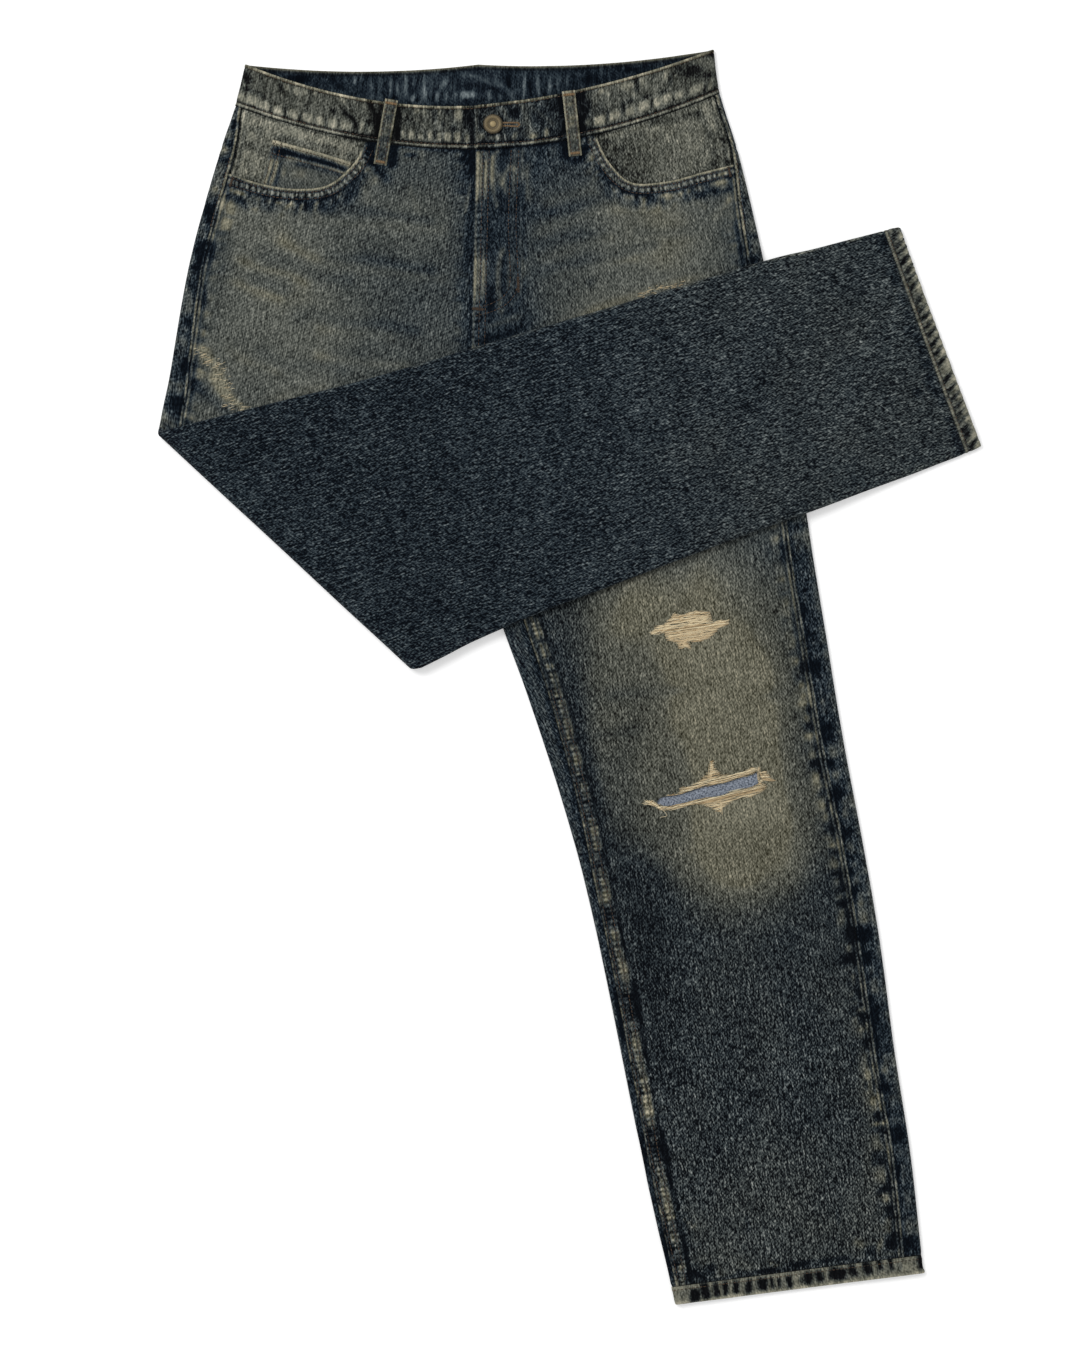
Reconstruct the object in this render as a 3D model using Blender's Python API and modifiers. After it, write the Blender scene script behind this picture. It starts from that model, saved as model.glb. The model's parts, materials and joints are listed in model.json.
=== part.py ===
"""Ripped denim jeans, laid flat on their back with the right leg folded over the left hip.

Metres, +Z up. The cloth rests on z = 0, with the waist towards +Y. Left and right are the wearer's, so
the left leg, which lies straight, is on the +X side.

Each leg is a flattened tube of two panels. A table of rows gives the laid outline from the waist down.
The front panel is the upper layer, from the outseam to the centre or the inseam. The back panel is the
lower layer, and wraps round the edges of the tube to meet the front at its seams. The right leg is drawn
straight and then turned over the fold, which lays its back panel on top.
"""
import math
from typing import NamedTuple

import bmesh
import bpy
from mathutils import Vector

MM = 0.001

# Cloth and seams, in millimetres
DENIM = 1.2            # thickness of one layer of denim
LIGHT_CLOTH = 1.0      # facings, pockets and patch
BAND = 2.2             # thickness of the waistband, two layers turned in
BAND_HEIGHT = 7.2      # of the waistband laid flat
HEM = 2.0              # thickness of the turned-up hem
SEAM_GAP = 0.3         # space between neighbouring pieces
HIP_HEIGHT = 7.0       # of the flattened body above the crotch
BACK_LIFT = 1.3        # the back above what lies beneath it: pockets and loops
EDGE_STEPS = 4         # facets round a folded edge of the cloth
LIFT_EASE = (8.0, 22.0)     # the back rises this far in from the edge, over this distance
HOLLOW_EASE = (20.0, 70.0)  # and the front sinks likewise
CROTCH_GAP = 1.0       # from the centre line to the backs at the crotch, where they turn up
CROTCH_FRONT_GAP = 3.0
BEND_GAP = 0.5         # half the space at the seams in the fold, where they run aslant

# Centre line of the body, from the crotch up
CROTCH_X = -84.7
CROTCH_Y = 203.0
CENTRE_LEAN = 0.0224   # how far the centre line moves to +X for each millimetre up

# The fold across the right leg
FOLD_START = Vector((-350.7, 215.1))   # a point on the line where the cloth begins to turn
FOLD_ANGLE = math.radians(-42.8)       # direction of that line
BEND_HEIGHT = 7.2                      # height of the axis that the leg turns about
BEND_RADIUS = 6.6                      # from that axis to the middle of the back panel
LAID_HEIGHT = 6.0                      # height of the flattened leg
BEND_STEPS = 6

# Front of the waistband
OVERLAP = 42.0         # length of the raised buttonhole end
OVERLAP_LIFT = 2.5     # how far it stands above the button end
UNDERLAP = 22.0        # length of the button end that runs on beneath it
UNDERLAP_TUCK = 1.2    # its lower edge is narrower by this, clear of the left front

# The waist button and its hole
BUTTON_X = -64.9
BUTTON_Y = 473.9
BUTTON_RADIUS = 8.5
BUTTON_SEAT = 10.0     # height of its underside, on the buttonhole end
BUTTON_HEIGHT = 3.0
BUTTON_STEPS = 28
SHANK_RADIUS = 2.5
SHANK_LOW = 7.5        # height of the shank's foot, on the button end
EYE_ROOM = 0.4         # round the shank
EYE_STEPS = 16
HOLE_LENGTH = 21.0     # of the buttonhole, from the shank
HOLE_WIDTH = 1.4

# Belt loops. Fronts: the middle of the top end and of the bottom end. Backs: x, top and bottom.
FRONT_LOOPS = {"left": ((0.0, 503.0), (6.0, 447.0)), "right": ((-152.0, 495.5), (-162.0, 439.5))}
BACK_LOOPS = {"left": (37.0, 524.0, 468.0), "centre": (-78.0, 529.0, 473.0), "right": (-205.0, 522.0, 466.0)}
LOOP_WIDTH = 11.2
LOOP_SEAT = 8.1        # height of a front loop's middle at its ends
LOOP_ARCH = 1.0        # how far the middle of a belt loop stands off the band
LOOP_STRIPS = 6

# The closed zip
ZIP_WIDTH = 24.0
ZIP_TOP = 448.0
ZIP_LENGTH = 150.0
ZIP_HEIGHT = 4.95      # height of its middle
ZIP_THICK = 1.1

# The cloth behind the pocket openings
FACING_DEPTH = 1.6     # from the waist seam down, in rows of the leg's table
FACING_ROWS = 8
FACING_REACH = 130.0   # from the outer edge
FACING_COLUMNS = 12
FACING_EASE = (6.0, 22.0)   # it starts to rise this far from the opening's edge, over this distance
FACING_GAP = 0.9       # from the outseam to a pocket facing
COIN_RISE = 1.45       # from the middle of the facing to the middle of the coin pocket
COIN_ROWS, COIN_COLUMNS = 5, 7

# The patch behind the knee slit
PATCH_ROWS, PATCH_COLUMNS = 5, 6
PATCH_TOP, PATCH_BOTTOM = 0.12, 0.77   # parts of the way from the knee row to the next
PATCH_OUTER, PATCH_INNER = 58.0, 193.0   # distances from the leg's outer edge

# Heights that the cutters run between: through the upper layers and clear of the lower ones
FRONT_CUT = (4.6, 9.0)
SLIT_CUT = (2.95, 9.0)
EYE_CUT = (7.3, 12.0)
HOLE_CUT = (7.35, 12.1)

# How the mesh is spaced across the panels: parts of the way from one side to the other
FRONT_ACROSS = (0.0, 0.04, 0.12, 0.24, 0.38, 0.52, 0.66, 0.8, 0.9, 0.97, 1.0)
BACK_ACROSS = (0.0, 0.04, 0.12, 0.25, 0.42, 0.6, 0.77, 0.9, 0.97, 1.0)


class Row(NamedTuple):
    """One line across a leg, from its outer edge to the centre line or the inner edge, in millimetres."""

    name: str
    outer_x: float
    outer_y: float
    inner_x: float
    inner_y: float
    back_up: float      # how much higher the back ends at the centre
    bow: float          # how far the front's middle hangs below the chord
    back_bow: float
    outseam: float      # from the outer edge to the outseam, on the front
    inseam: float       # from the inner edge to the inseam, on the front
    height: float       # of the flattened tube
    dip: float          # middle of the front lower, or of the back higher if negative
    lift: float         # the back held up by the pockets and loops beneath it
    rest: float         # height of what the folded leg lies on
    strips: int         # mesh strips from here to the next row


def centre_x(y):
    return CROTCH_X + CENTRE_LEAN * (y - CROTCH_Y)


def body_row(name, outer_x, outer_y, inner_y, back_up, bow, back_bow, outseam, strips):
    """A row above the crotch, which ends on the centre line."""
    return Row(name, outer_x, outer_y, centre_x(inner_y), inner_y, back_up, bow, back_bow,
               outseam, 0.0, HIP_HEIGHT, 0.0, BACK_LIFT, 0.0, strips)


def leg_row(name, outer_x, outer_y, inner_x, inner_y, outseam, inseam, dip, rest, strips):
    """A row below the crotch."""
    return Row(name, outer_x, outer_y, inner_x, inner_y, 0.0, 0.0, 0.0,
               outseam, inseam, LAID_HEIGHT, dip, 0.0, rest, strips)


#                  name        outer x  outer y  inner y  back_up  bow  back_bow  outseam  strips
LEFT_BODY = (
    body_row("band top",        125.1,   539.2,   490.5,   36.0,   7.3,   6.0,     4.2,     1),
    body_row("waist seam",      130.3,   500.9,   453.0,   33.6,  10.7,   5.0,     4.2,     2),
    body_row("yoke seam",       144.9,   454.1,   404.0,   20.0,   5.0,   2.0,     4.6,     2),
    body_row("hip",             157.8,   402.5,   344.0,   10.0,   1.0,   0.0,    11.0,     2),
    body_row("seat",            169.0,   350.9,   282.0,    0.0,   0.0,   0.0,    14.0,     2),
    body_row("crotch",          181.0,   282.0,   203.0,    0.0,   0.0,   0.0,    17.0,     1),
)
RIGHT_BODY = (
    body_row("band top",       -278.2,   526.3,   490.5,   36.0,  11.6,   6.0,     5.6,     1),
    body_row("waist seam",     -286.8,   490.2,   453.0,   33.6,  10.0,   5.0,     5.6,     2),
    body_row("yoke seam",      -298.9,   454.1,   404.0,   20.0,   5.0,   2.0,    12.0,     2),
    body_row("hip",            -314.3,   402.5,   344.0,   10.0,   1.0,   0.0,    13.0,     2),
    body_row("seat",           -327.2,   350.9,   282.0,    0.0,   0.0,   0.0,    13.0,     2),
    body_row("crotch",         -339.3,   282.0,   203.0,    0.0,   0.0,   0.0,    16.0,     1),
)
#                 name           outer x  outer y  inner x  inner y  outseam  inseam  dip   rest  strips
LEFT_LEG = (
    leg_row("below crotch",       182.5,   273.0,   -82.0,   192.0,   17.0,     6.0,   0.0,   0.0,   1),
    leg_row("upper thigh",        196.0,   200.0,   -79.5,   145.0,   18.5,    14.0,   0.0,   0.0,   1),
    leg_row("thigh",              209.4,   110.0,   -64.0,    65.0,   20.6,    20.0,   0.6,   0.0,   2),
    leg_row("above knee",         222.5,    30.0,   -35.8,   -15.0,   20.5,    18.0,   1.4,   0.0,   2),
    leg_row("knee",               236.5,   -55.0,    -8.0,   -99.0,   20.0,    13.5,   1.6,   0.0,   2),
    leg_row("below knee",         253.0,  -142.0,    13.8,  -177.0,   19.0,     8.0,   1.6,   0.0,   1),
    leg_row("calf",               267.5,  -225.0,    33.5,  -266.0,   19.5,     7.0,   1.5,   0.0,   1),
    leg_row("lower calf",         281.0,  -325.0,    52.5,  -361.0,   18.5,     6.0,   1.4,   0.0,   1),
    leg_row("ankle",              294.5,  -412.0,    70.0,  -445.0,   17.0,     4.6,   1.2,   0.0,   1),
    leg_row("hem top",            304.2,  -499.0,    88.6,  -526.5,   17.5,     4.2,   1.0,   0.0,   1),
    leg_row("hem edge",           306.6,  -511.7,    91.6,  -539.2,   17.5,     4.2,   1.0,   0.0,   1),
)
RIGHT_LEG = (
    leg_row("below crotch",      -340.8,   273.0,   -87.6,   192.0,   16.0,     6.0,   0.0,   0.0,   1),
    leg_row("upper thigh",       -344.5,   252.0,  -100.8,   141.0,   18.0,    14.0,   0.0,   0.0,   1),
    leg_row("thigh",             -348.3,   234.0,  -117.1,    78.0,   20.0,    18.0,   0.0,   0.0,   1),
    leg_row("bend start",        -351.8,   216.1,  -133.7,    14.1,   22.0,    20.0,   0.0,   8.4,   BEND_STEPS),
    leg_row("bend end",          -360.5,   195.9,  -140.3,    -8.1,   22.0,    20.0,   0.0,   8.4,   1),
    leg_row("past the bend",     -365.8,   165.0,  -148.5,   -28.5,   22.0,    19.0,  -0.3,   8.0,   1),
    leg_row("above knee",        -375.5,   108.0,  -160.5,   -57.5,   22.0,    17.0,  -0.9,   7.5,   1),
    leg_row("knee",              -391.0,    20.0,  -179.5,  -113.5,   21.0,    14.0,  -1.5,   7.4,   1),
    leg_row("below knee",        -409.5,   -67.0,  -198.5,  -178.0,   20.0,     9.0,  -1.6,   7.4,   1),
    leg_row("calf",              -429.5,  -160.0,  -218.0,  -243.5,   19.0,     7.0,  -1.6,   7.4,   1),
    leg_row("lower calf",        -450.5,  -258.0,  -237.5,  -313.0,   18.5,     6.0,  -1.5,   7.4,   1),
    leg_row("over the hip edge", -467.3,  -335.0,  -249.1,  -355.0,   18.0,     5.0,  -1.4,   7.4,   1),
    leg_row("coming down",       -473.0,  -370.0,  -260.5,  -394.0,   18.0,     5.0,  -1.3,   4.8,   1),
    leg_row("nearly down",       -478.8,  -400.0,  -272.5,  -437.0,   18.0,     4.6,  -1.2,   1.3,   1),
    leg_row("ankle",             -481.8,  -417.0,  -281.0,  -465.0,   17.5,     4.4,  -1.1,   0.1,   1),
    leg_row("hem top",           -484.7,  -433.5,  -288.4,  -489.2,   17.5,     4.2,  -1.0,   0.0,   1),
    leg_row("hem edge",          -486.9,  -445.4,  -292.9,  -501.3,   17.5,     4.2,  -1.0,   0.0,   1),
)

# Pocket openings on the fronts: from the waist seam round to the outseam, x and y
LEFT_OPENING = ((23.7, 463.5), (34.8, 442.0), (54.0, 424.5), (85.0, 425.3), (115.0, 433.0), (141.0, 439.5))
RIGHT_OPENING = ((-175.0, 456.0), (-184.0, 440.0), (-206.0, 421.5), (-235.0, 418.0), (-264.0, 422.3),
                 (-292.0, 431.0))
OPENING_RUN_OUT = 24.0   # the cutter's edge runs on past the cloth
OPENING_STEPS = 3

# Corners of the coin pocket: top outer, top inner, bottom inner, bottom outer
COIN_POCKET = ((-254.0, 461.0), (-186.0, 442.0), (-200.5, 405.0), (-266.0, 418.0))

# Back pockets, seen from above through the body: distances from the pocket's middle line and its top
BACK_POCKET_PLACES = {"left": (22.0, 396.0), "right": (-186.0, 396.0)}
BACK_POCKET = ((-72.0, 4.0), (72.0, -4.0), (64.0, -118.0), (2.0, -150.0), (-60.0, -112.0))

# The slit at the left knee: along its length from the inner end, and half its width there
SLIT_START = Vector((75.5, -111.5))
SLIT_ANGLE = math.radians(16.0)
SLIT = ((0.0, 0.6), (12.0, 4.0), (36.0, 5.2), (58.0, 5.0), (78.0, 5.2), (92.0, 4.6))


class Leg(NamedTuple):
    """A leg's rows and what tells the two legs apart."""

    side: str
    rows: tuple
    folded: bool
    opening: tuple
    facing_low: float     # height of the facing's middle under the front panel
    facing_high: float    # its height where it shows


LEFT = Leg("left", LEFT_BODY + LEFT_LEG, False, LEFT_OPENING, 5.0, 6.4)
RIGHT = Leg("right", RIGHT_BODY + RIGHT_LEG, True, RIGHT_OPENING, 3.5, 6.4)


# ---------------------------------------------------------------- small helpers

def smooth(x):
    """0 below 0, 1 above 1, and an easy curve between."""
    x = min(max(x, 0.0), 1.0)
    return x * x * (3.0 - 2.0 * x)


def row_index(leg, name):
    return next(i for i, row in enumerate(leg.rows) if row.name == name)


def spline(before, here, after, beyond, x):
    """A smooth value between here (x = 0) and after (x = 1)."""
    return here + 0.5 * x * (after - before + x * (2 * before - 5 * here + 4 * after - beyond
                                                   + x * (3 * (here - after) + beyond - before)))


def row_at(leg, place):
    """The row at a place in the leg's table: whole numbers are its own rows."""
    rows = leg.rows
    i = min(int(place), len(rows) - 2)
    x = place - i
    wrapped = rows[i + 1].inseam > 0.0
    stiff = rows[i].name == "bend start"
    before = rows[i - 1] if i > 0 and rows[i - 1].name != "bend start" else rows[i]
    beyond = rows[i + 2] if i + 2 < len(rows) and rows[i + 1].name != "bend start" else rows[i + 1]
    if stiff:
        before, beyond = rows[i], rows[i + 1]
    values = []
    for field, here, after in zip(Row._fields, rows[i], rows[i + 1]):
        if field in ("name", "strips"):
            values.append(here)
        elif stiff or field in ("inseam", "lift", "height"):
            values.append(here + x * (after - here))
        else:
            values.append(spline(getattr(before, field), here, after, getattr(beyond, field), x))
    row = Row(*values)
    if not wrapped:
        row = row._replace(inner_x=centre_x(row.inner_y))
    return row


def places(leg, first, last):
    """Where the mesh has its rows, between two named rows of the table."""
    found = []
    for i in range(row_index(leg, first), row_index(leg, last)):
        strips = leg.rows[i].strips
        found += [i + k / strips for k in range(strips)]
    return found + [float(row_index(leg, last))]


# ---------------------------------------------------------------- the flattened tube

class Section:
    """The middle of the cloth along one row of a leg."""

    def __init__(self, row, thick=DENIM, height=None):
        self.row = row
        self.outer = Vector((row.outer_x, row.outer_y))
        inner = Vector((row.inner_x, row.inner_y))
        self.chord = inner - self.outer
        self.back_chord = inner + Vector((row.back_up * CENTRE_LEAN, row.back_up)) - self.outer
        self.width = self.chord.length
        self.wrapped = row.inseam > 0.0
        self.top = (height or row.height) - thick / 2
        self.bottom = thick / 2
        self.radius = (self.top - self.bottom) / 2
        self.edge = self.radius + thick / 2      # where the cloth begins to turn over
        self.gap = BEND_GAP if row.name.startswith("bend") else SEAM_GAP / 2

    def plan(self, w, under=0.0):
        """The laid place at distance w from the outer edge; under is 0 on the front and 1 on the back."""
        part = w / self.width
        sag = 4.0 * part * (1.0 - part)
        front = self.outer + self.chord * part - Vector((0.0, self.row.bow * sag))
        back = self.outer + self.back_chord * part - Vector((0.0, self.row.back_bow * sag))
        return front.lerp(back, under)

    def hollow(self, w):
        """1 in the middle of the leg, easing to 0 near its edges."""
        start, run = HOLLOW_EASE
        return smooth((w - start) / run) * smooth((self.width - w - start) / run)

    def top_point(self, w):
        z = self.top - max(self.row.dip, 0.0) * self.hollow(w)
        return self.plan(w).to_3d() + Vector((0.0, 0.0, z))

    def bottom_point(self, w):
        start, run = LIFT_EASE
        rise = smooth((w - start) / run)
        if self.wrapped:
            rise *= smooth((self.width - w - start) / run)
        z = self.bottom + self.row.lift * rise + max(-self.row.dip, 0.0) * self.hollow(w)
        return self.plan(w, 1.0).to_3d() + Vector((0.0, 0.0, z))

    def turn(self, share, inner=False):
        """A point on the turned edge: share goes from 0 on top to 1 beneath."""
        angle = math.pi * share
        reach = self.edge - self.radius * math.sin(angle)
        w = self.width - reach if inner else reach
        z = (self.top + self.bottom) / 2 + self.radius * math.cos(angle)
        return self.plan(w, share).to_3d() + Vector((0.0, 0.0, z))

    def front_stations(self):
        """Distances from the outer edge across the front panel, from the outseam inwards."""
        start = self.row.outseam + self.gap
        inner_gap = CROTCH_FRONT_GAP if self.row.name == "crotch" else self.gap
        end = self.width - self.row.inseam - inner_gap
        return [start + (end - start) * part for part in FRONT_ACROSS]

    def back_stations(self):
        """Distances across the flat of the back panel."""
        if self.wrapped:
            end, extra = self.width - self.edge, []
        else:
            centre_gap = CROTCH_GAP if self.row.name == "crotch" else self.gap
            end = self.width - centre_gap - EDGE_STEPS - 2
            extra = [end + k for k in range(1, EDGE_STEPS + 3)]
        return [self.edge + (end - self.edge) * part for part in BACK_ACROSS] + extra

    def front(self):
        """Across the front panel."""
        return [self.top_point(w) for w in self.front_stations()]

    def back(self):
        """Across the back panel: from the outseam over the outer edge, beneath, and up to the inseam."""
        seam = self.row.outseam - self.gap
        points = [self.top_point(seam), self.top_point((seam + self.edge) / 2)]
        points += [self.turn(k / EDGE_STEPS) for k in range(EDGE_STEPS)]
        points += [self.bottom_point(w) for w in self.back_stations()]
        if self.wrapped:
            points += [self.turn(1.0 - k / EDGE_STEPS, True) for k in range(1, EDGE_STEPS + 1)]
            seam = self.row.inseam - self.gap
            points += [self.top_point(self.width - (seam + self.edge) / 2),
                       self.top_point(self.width - seam)]
        return points

    def ring(self):
        """Once round the tube, for a hem."""
        run = self.width - 2 * self.edge
        points = [self.top_point(self.edge + run * part) for part in FRONT_ACROSS]
        points += [self.turn(k / EDGE_STEPS, True) for k in range(1, EDGE_STEPS)]
        points += [self.bottom_point(self.edge + run * part) for part in reversed(BACK_ACROSS)]
        points += [self.turn(1.0 - k / EDGE_STEPS) for k in range(1, EDGE_STEPS)]
        return points


def fold_over(point, rest):
    """Turns a point of the straight right leg over the fold."""
    across = Vector((math.sin(FOLD_ANGLE), -math.cos(FOLD_ANGLE)))
    run = (point.xy - FOLD_START).dot(across)
    if run <= 0.0:
        return point
    past = run - BEND_RADIUS * math.pi
    if past >= 0.0:
        laid = point.xy - across * (past + run)
        return laid.to_3d() + Vector((0.0, 0.0, rest + LAID_HEIGHT - point.z))
    turn = run / BEND_RADIUS
    reach = BEND_HEIGHT - point.z
    laid = point.xy + across * (reach * math.sin(turn) - run)
    return laid.to_3d() + Vector((0.0, 0.0, BEND_HEIGHT - reach * math.cos(turn)))


def laid_rows(leg, rows):
    """Rows of points, with the right leg's turned over the fold. Each row comes with its rest height."""
    if not leg.folded:
        return [points for points, rest in rows]
    return [[fold_over(point, rest) for point in points] for points, rest in rows]


def panel_rows(leg, first, last, across, thick=DENIM, height=None):
    """The rows of a panel between two named rows. across is the Section method that gives the points."""
    rows = []
    for place in places(leg, first, last):
        row = row_at(leg, place)
        rows.append((across(Section(row, thick, height)), row.rest))
    return laid_rows(leg, rows)


def draw_in(rows, first=True, last=True):
    """Shortens a grid by half a seam gap at its first and last rows."""
    ends = ([(0, 1)] if first else []) + ([(-1, -2)] if last else [])
    for end, beside in ends:
        rows[end] = [p + (q - p).normalized() * SEAM_GAP / 2 for p, q in zip(rows[end], rows[beside])]
    return rows


# ---------------------------------------------------------------- Blender objects

def clear_scene():
    for ob in list(bpy.data.objects):
        bpy.data.objects.remove(ob, do_unlink=True)


def new_collection(name):
    found = bpy.data.collections.new(name)
    bpy.context.scene.collection.children.link(found)
    return found


def add_object(name, mesh, finish, group):
    ob = bpy.data.objects.new(name, mesh)
    if finish:
        mesh.materials.append(finish)
    group.objects.link(ob)
    return ob


def finish_of(name, colour, roughness, metallic=0.0):
    made = bpy.data.materials.new(name)
    made.use_nodes = True
    shader = made.node_tree.nodes["Principled BSDF"]
    shader.inputs["Base Color"].default_value = (*colour, 1.0)
    shader.inputs["Roughness"].default_value = roughness
    shader.inputs["Metallic"].default_value = metallic
    return made


def cloth(name, rows, thick, finish, group, closed=False):
    """A sheet through rows of points, given its thickness by Solidify."""
    bm = bmesh.new()
    grid = [[bm.verts.new(p * MM) for p in row] for row in rows]
    across = len(grid[0])
    for upper, lower in zip(grid, grid[1:]):
        for k in range(across if closed else across - 1):
            j = (k + 1) % across
            bm.faces.new((upper[k], lower[k], lower[j], upper[j]))
    mesh = bpy.data.meshes.new(name)
    bm.to_mesh(mesh)
    bm.free()
    ob = add_object(name, mesh, finish, group)
    solid = ob.modifiers.new("Thickness", "SOLIDIFY")
    solid.thickness = thick * MM
    solid.offset = 0.0
    return ob


def prism(name, outline, heights, finish, group):
    """An outline in the plane, raised from one height to another."""
    low, high = heights
    bm = bmesh.new()
    base = bm.faces.new([bm.verts.new((x * MM, y * MM, low * MM)) for x, y in outline])
    up = bmesh.ops.extrude_face_region(bm, geom=[base])["geom"]
    bmesh.ops.translate(bm, vec=(0.0, 0.0, (high - low) * MM),
                        verts=[v for v in up if isinstance(v, bmesh.types.BMVert)])
    bmesh.ops.recalc_face_normals(bm, faces=bm.faces)
    mesh = bpy.data.meshes.new(name)
    bm.to_mesh(mesh)
    bm.free()
    return add_object(name, mesh, finish, group)


def cut(ob, cutter):
    """Takes a cutter out of an object with a Boolean, and keeps the cutter out of sight."""
    cutter.hide_render = True
    cutter.display_type = "WIRE"
    step = ob.modifiers.new("Cut", "BOOLEAN")
    step.operation = "DIFFERENCE"
    step.solver = "EXACT"
    step.object = cutter


def curve_through(points, steps):
    """A smooth line through a few points in the plane."""
    points = [Vector(p) for p in points]
    line = []
    for i in range(len(points) - 1):
        before = points[max(i - 1, 0)]
        beyond = points[min(i + 2, len(points) - 1)]
        line += [spline(before, points[i], points[i + 1], beyond, k / steps) for k in range(steps)]
    return line + [points[-1]]


# ---------------------------------------------------------------- pieces

def opening_line(leg):
    return curve_through(leg.opening, OPENING_STEPS)


def opening_cutter(leg, group):
    """The part of the front above the pocket opening."""
    line = opening_line(leg)
    start = line[0] + (line[0] - line[1]).normalized() * OPENING_RUN_OUT
    end = line[-1] + (line[-1] - line[-2]).normalized() * OPENING_RUN_OUT
    corner = Vector((end.x, start.y + OPENING_RUN_OUT))
    outline = [start] + line + [end, corner]
    return prism(f"pocket_cut_{leg.side}", outline, FRONT_CUT, None, group)


def make_front(leg, finish, group, cutters):
    rows = draw_in(panel_rows(leg, "waist seam", "hem top", Section.front))
    ob = cloth(f"front_{leg.side}", rows, DENIM, finish, group)
    cut(ob, opening_cutter(leg, cutters))
    return ob


def make_back(leg, finish, group):
    rows = draw_in(panel_rows(leg, "yoke seam", "hem top", Section.back))
    return cloth(f"back_{leg.side}", rows, DENIM, finish, group)


def make_yoke(leg, finish, group):
    rows = draw_in(panel_rows(leg, "waist seam", "yoke seam", Section.back))
    return cloth(f"yoke_{leg.side}", rows, DENIM, finish, group)


def make_hem(leg, finish, group):
    rows = draw_in(panel_rows(leg, "hem top", "hem edge", Section.ring, HEM), last=False)
    return cloth(f"hem_{leg.side}", rows, HEM, finish, group, closed=True)


def band_row(leg, place):
    """Across one half of the waistband: from the centre front, round the side, to the centre back."""
    row = row_at(leg, place)
    panel, section = Section(row), Section(row, BAND, BAND_HEIGHT)
    points = [section.top_point(w) for w in reversed(panel.front_stations())]
    points += [section.turn(k / EDGE_STEPS) for k in range(EDGE_STEPS + 1)]
    points += [section.bottom_point(w) for w in panel.back_stations()[1:]]
    return points


def make_waistband(finish, group, cutters):
    """One strip from the buttonhole end round the body to the button end beneath it."""
    rows = []
    for place in (0.0, 0.5, 1.0):
        left = band_row(LEFT, place)
        start = left[0]
        for point in left[:len(FRONT_ACROSS)]:
            away = (point - start).length
            point.z += OVERLAP_LIFT * smooth((OVERLAP - away) / (OVERLAP * 0.45))
        right = band_row(RIGHT, place)
        run_on = (right[0] - right[1]).normalized()
        tuck = Vector((0.0, UNDERLAP_TUCK if place == 1.0 else 0.0, 0.0))
        under = [right[0] + run_on * (UNDERLAP * part) + tuck for part in (1.0, 0.5, 0.1)]
        rows.append(left + list(reversed(right)) + list(reversed(under)))
    ob = cloth("waistband", draw_in(rows, first=False), BAND, finish, group)
    cut_buttonhole(ob, cutters)
    return ob


def cut_buttonhole(band, cutters):
    """A round eye for the shank, and the slit that runs from it."""
    radius = SHANK_RADIUS + EYE_ROOM
    turns = [2.0 * math.pi * k / EYE_STEPS for k in range(EYE_STEPS)]
    eye = [(BUTTON_X + radius * math.cos(turn), BUTTON_Y + radius * math.sin(turn)) for turn in turns]
    low, high = BUTTON_Y - HOLE_WIDTH / 2, BUTTON_Y + HOLE_WIDTH / 2
    end = BUTTON_X + HOLE_LENGTH
    slit = [(BUTTON_X, low), (end, low), (end, high), (BUTTON_X, high)]
    cut(band, prism("button_eye", eye, EYE_CUT, None, cutters))
    cut(band, prism("button_slit", slit, HOLE_CUT, None, cutters))


def make_front_loop(side, top, bottom, finish, group):
    """A belt loop over the front of the waistband, a little arched."""
    top, bottom = Vector(top), Vector(bottom)
    side_step = (bottom - top).orthogonal().normalized() * (LOOP_WIDTH / 2)
    rows = []
    for k in range(LOOP_STRIPS + 1):
        part = k / LOOP_STRIPS
        z = LOOP_SEAT + LOOP_ARCH * math.sin(math.pi * part)
        middle = top.lerp(bottom, part)
        rows.append([(middle + side_step * s).to_3d() + Vector((0.0, 0.0, z)) for s in (1, 0, -1)])
    return cloth(f"loop_front_{side}", rows, DENIM, finish, group)


def make_back_loop(place, x, y_top, y_bottom, finish, group):
    """A belt loop under the back of the waistband, pressed flat."""
    bpy.ops.mesh.primitive_cube_add(size=1.0)
    ob = bpy.context.object
    ob.name = f"loop_back_{place}"
    bpy.ops.object.transform_apply()
    size = Vector((LOOP_WIDTH, y_top - y_bottom, LIGHT_CLOTH)) * MM
    middle = Vector((x, (y_top + y_bottom) / 2, LIGHT_CLOTH / 2)) * MM
    for vert in ob.data.vertices:
        vert.co = Vector(c * s for c, s in zip(vert.co, size)) + middle
    ob.data.materials.append(finish)
    for held in list(ob.users_collection):
        held.objects.unlink(ob)
    group.objects.link(ob)
    return ob


def facing_height(leg, x, y):
    """The facing dips under the front at the pocket opening, and rises to its level away from it."""
    line = opening_line(leg)
    here = Vector((x, y))
    nearest = 1e9
    above = 0.0
    for a, b in zip(line, line[1:]):
        along = b - a
        part = min(max((here - a).dot(along) / along.length_squared, 0.0), 1.0)
        off = here - (a + along * part)
        if off.length < nearest:
            nearest = off.length
            above = along.cross(off) if leg.side == "left" else -along.cross(off)
    out = nearest if above > 0 else 0.0
    start, run = FACING_EASE
    return leg.facing_low + (leg.facing_high - leg.facing_low) * smooth((out - start) / run)


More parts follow.
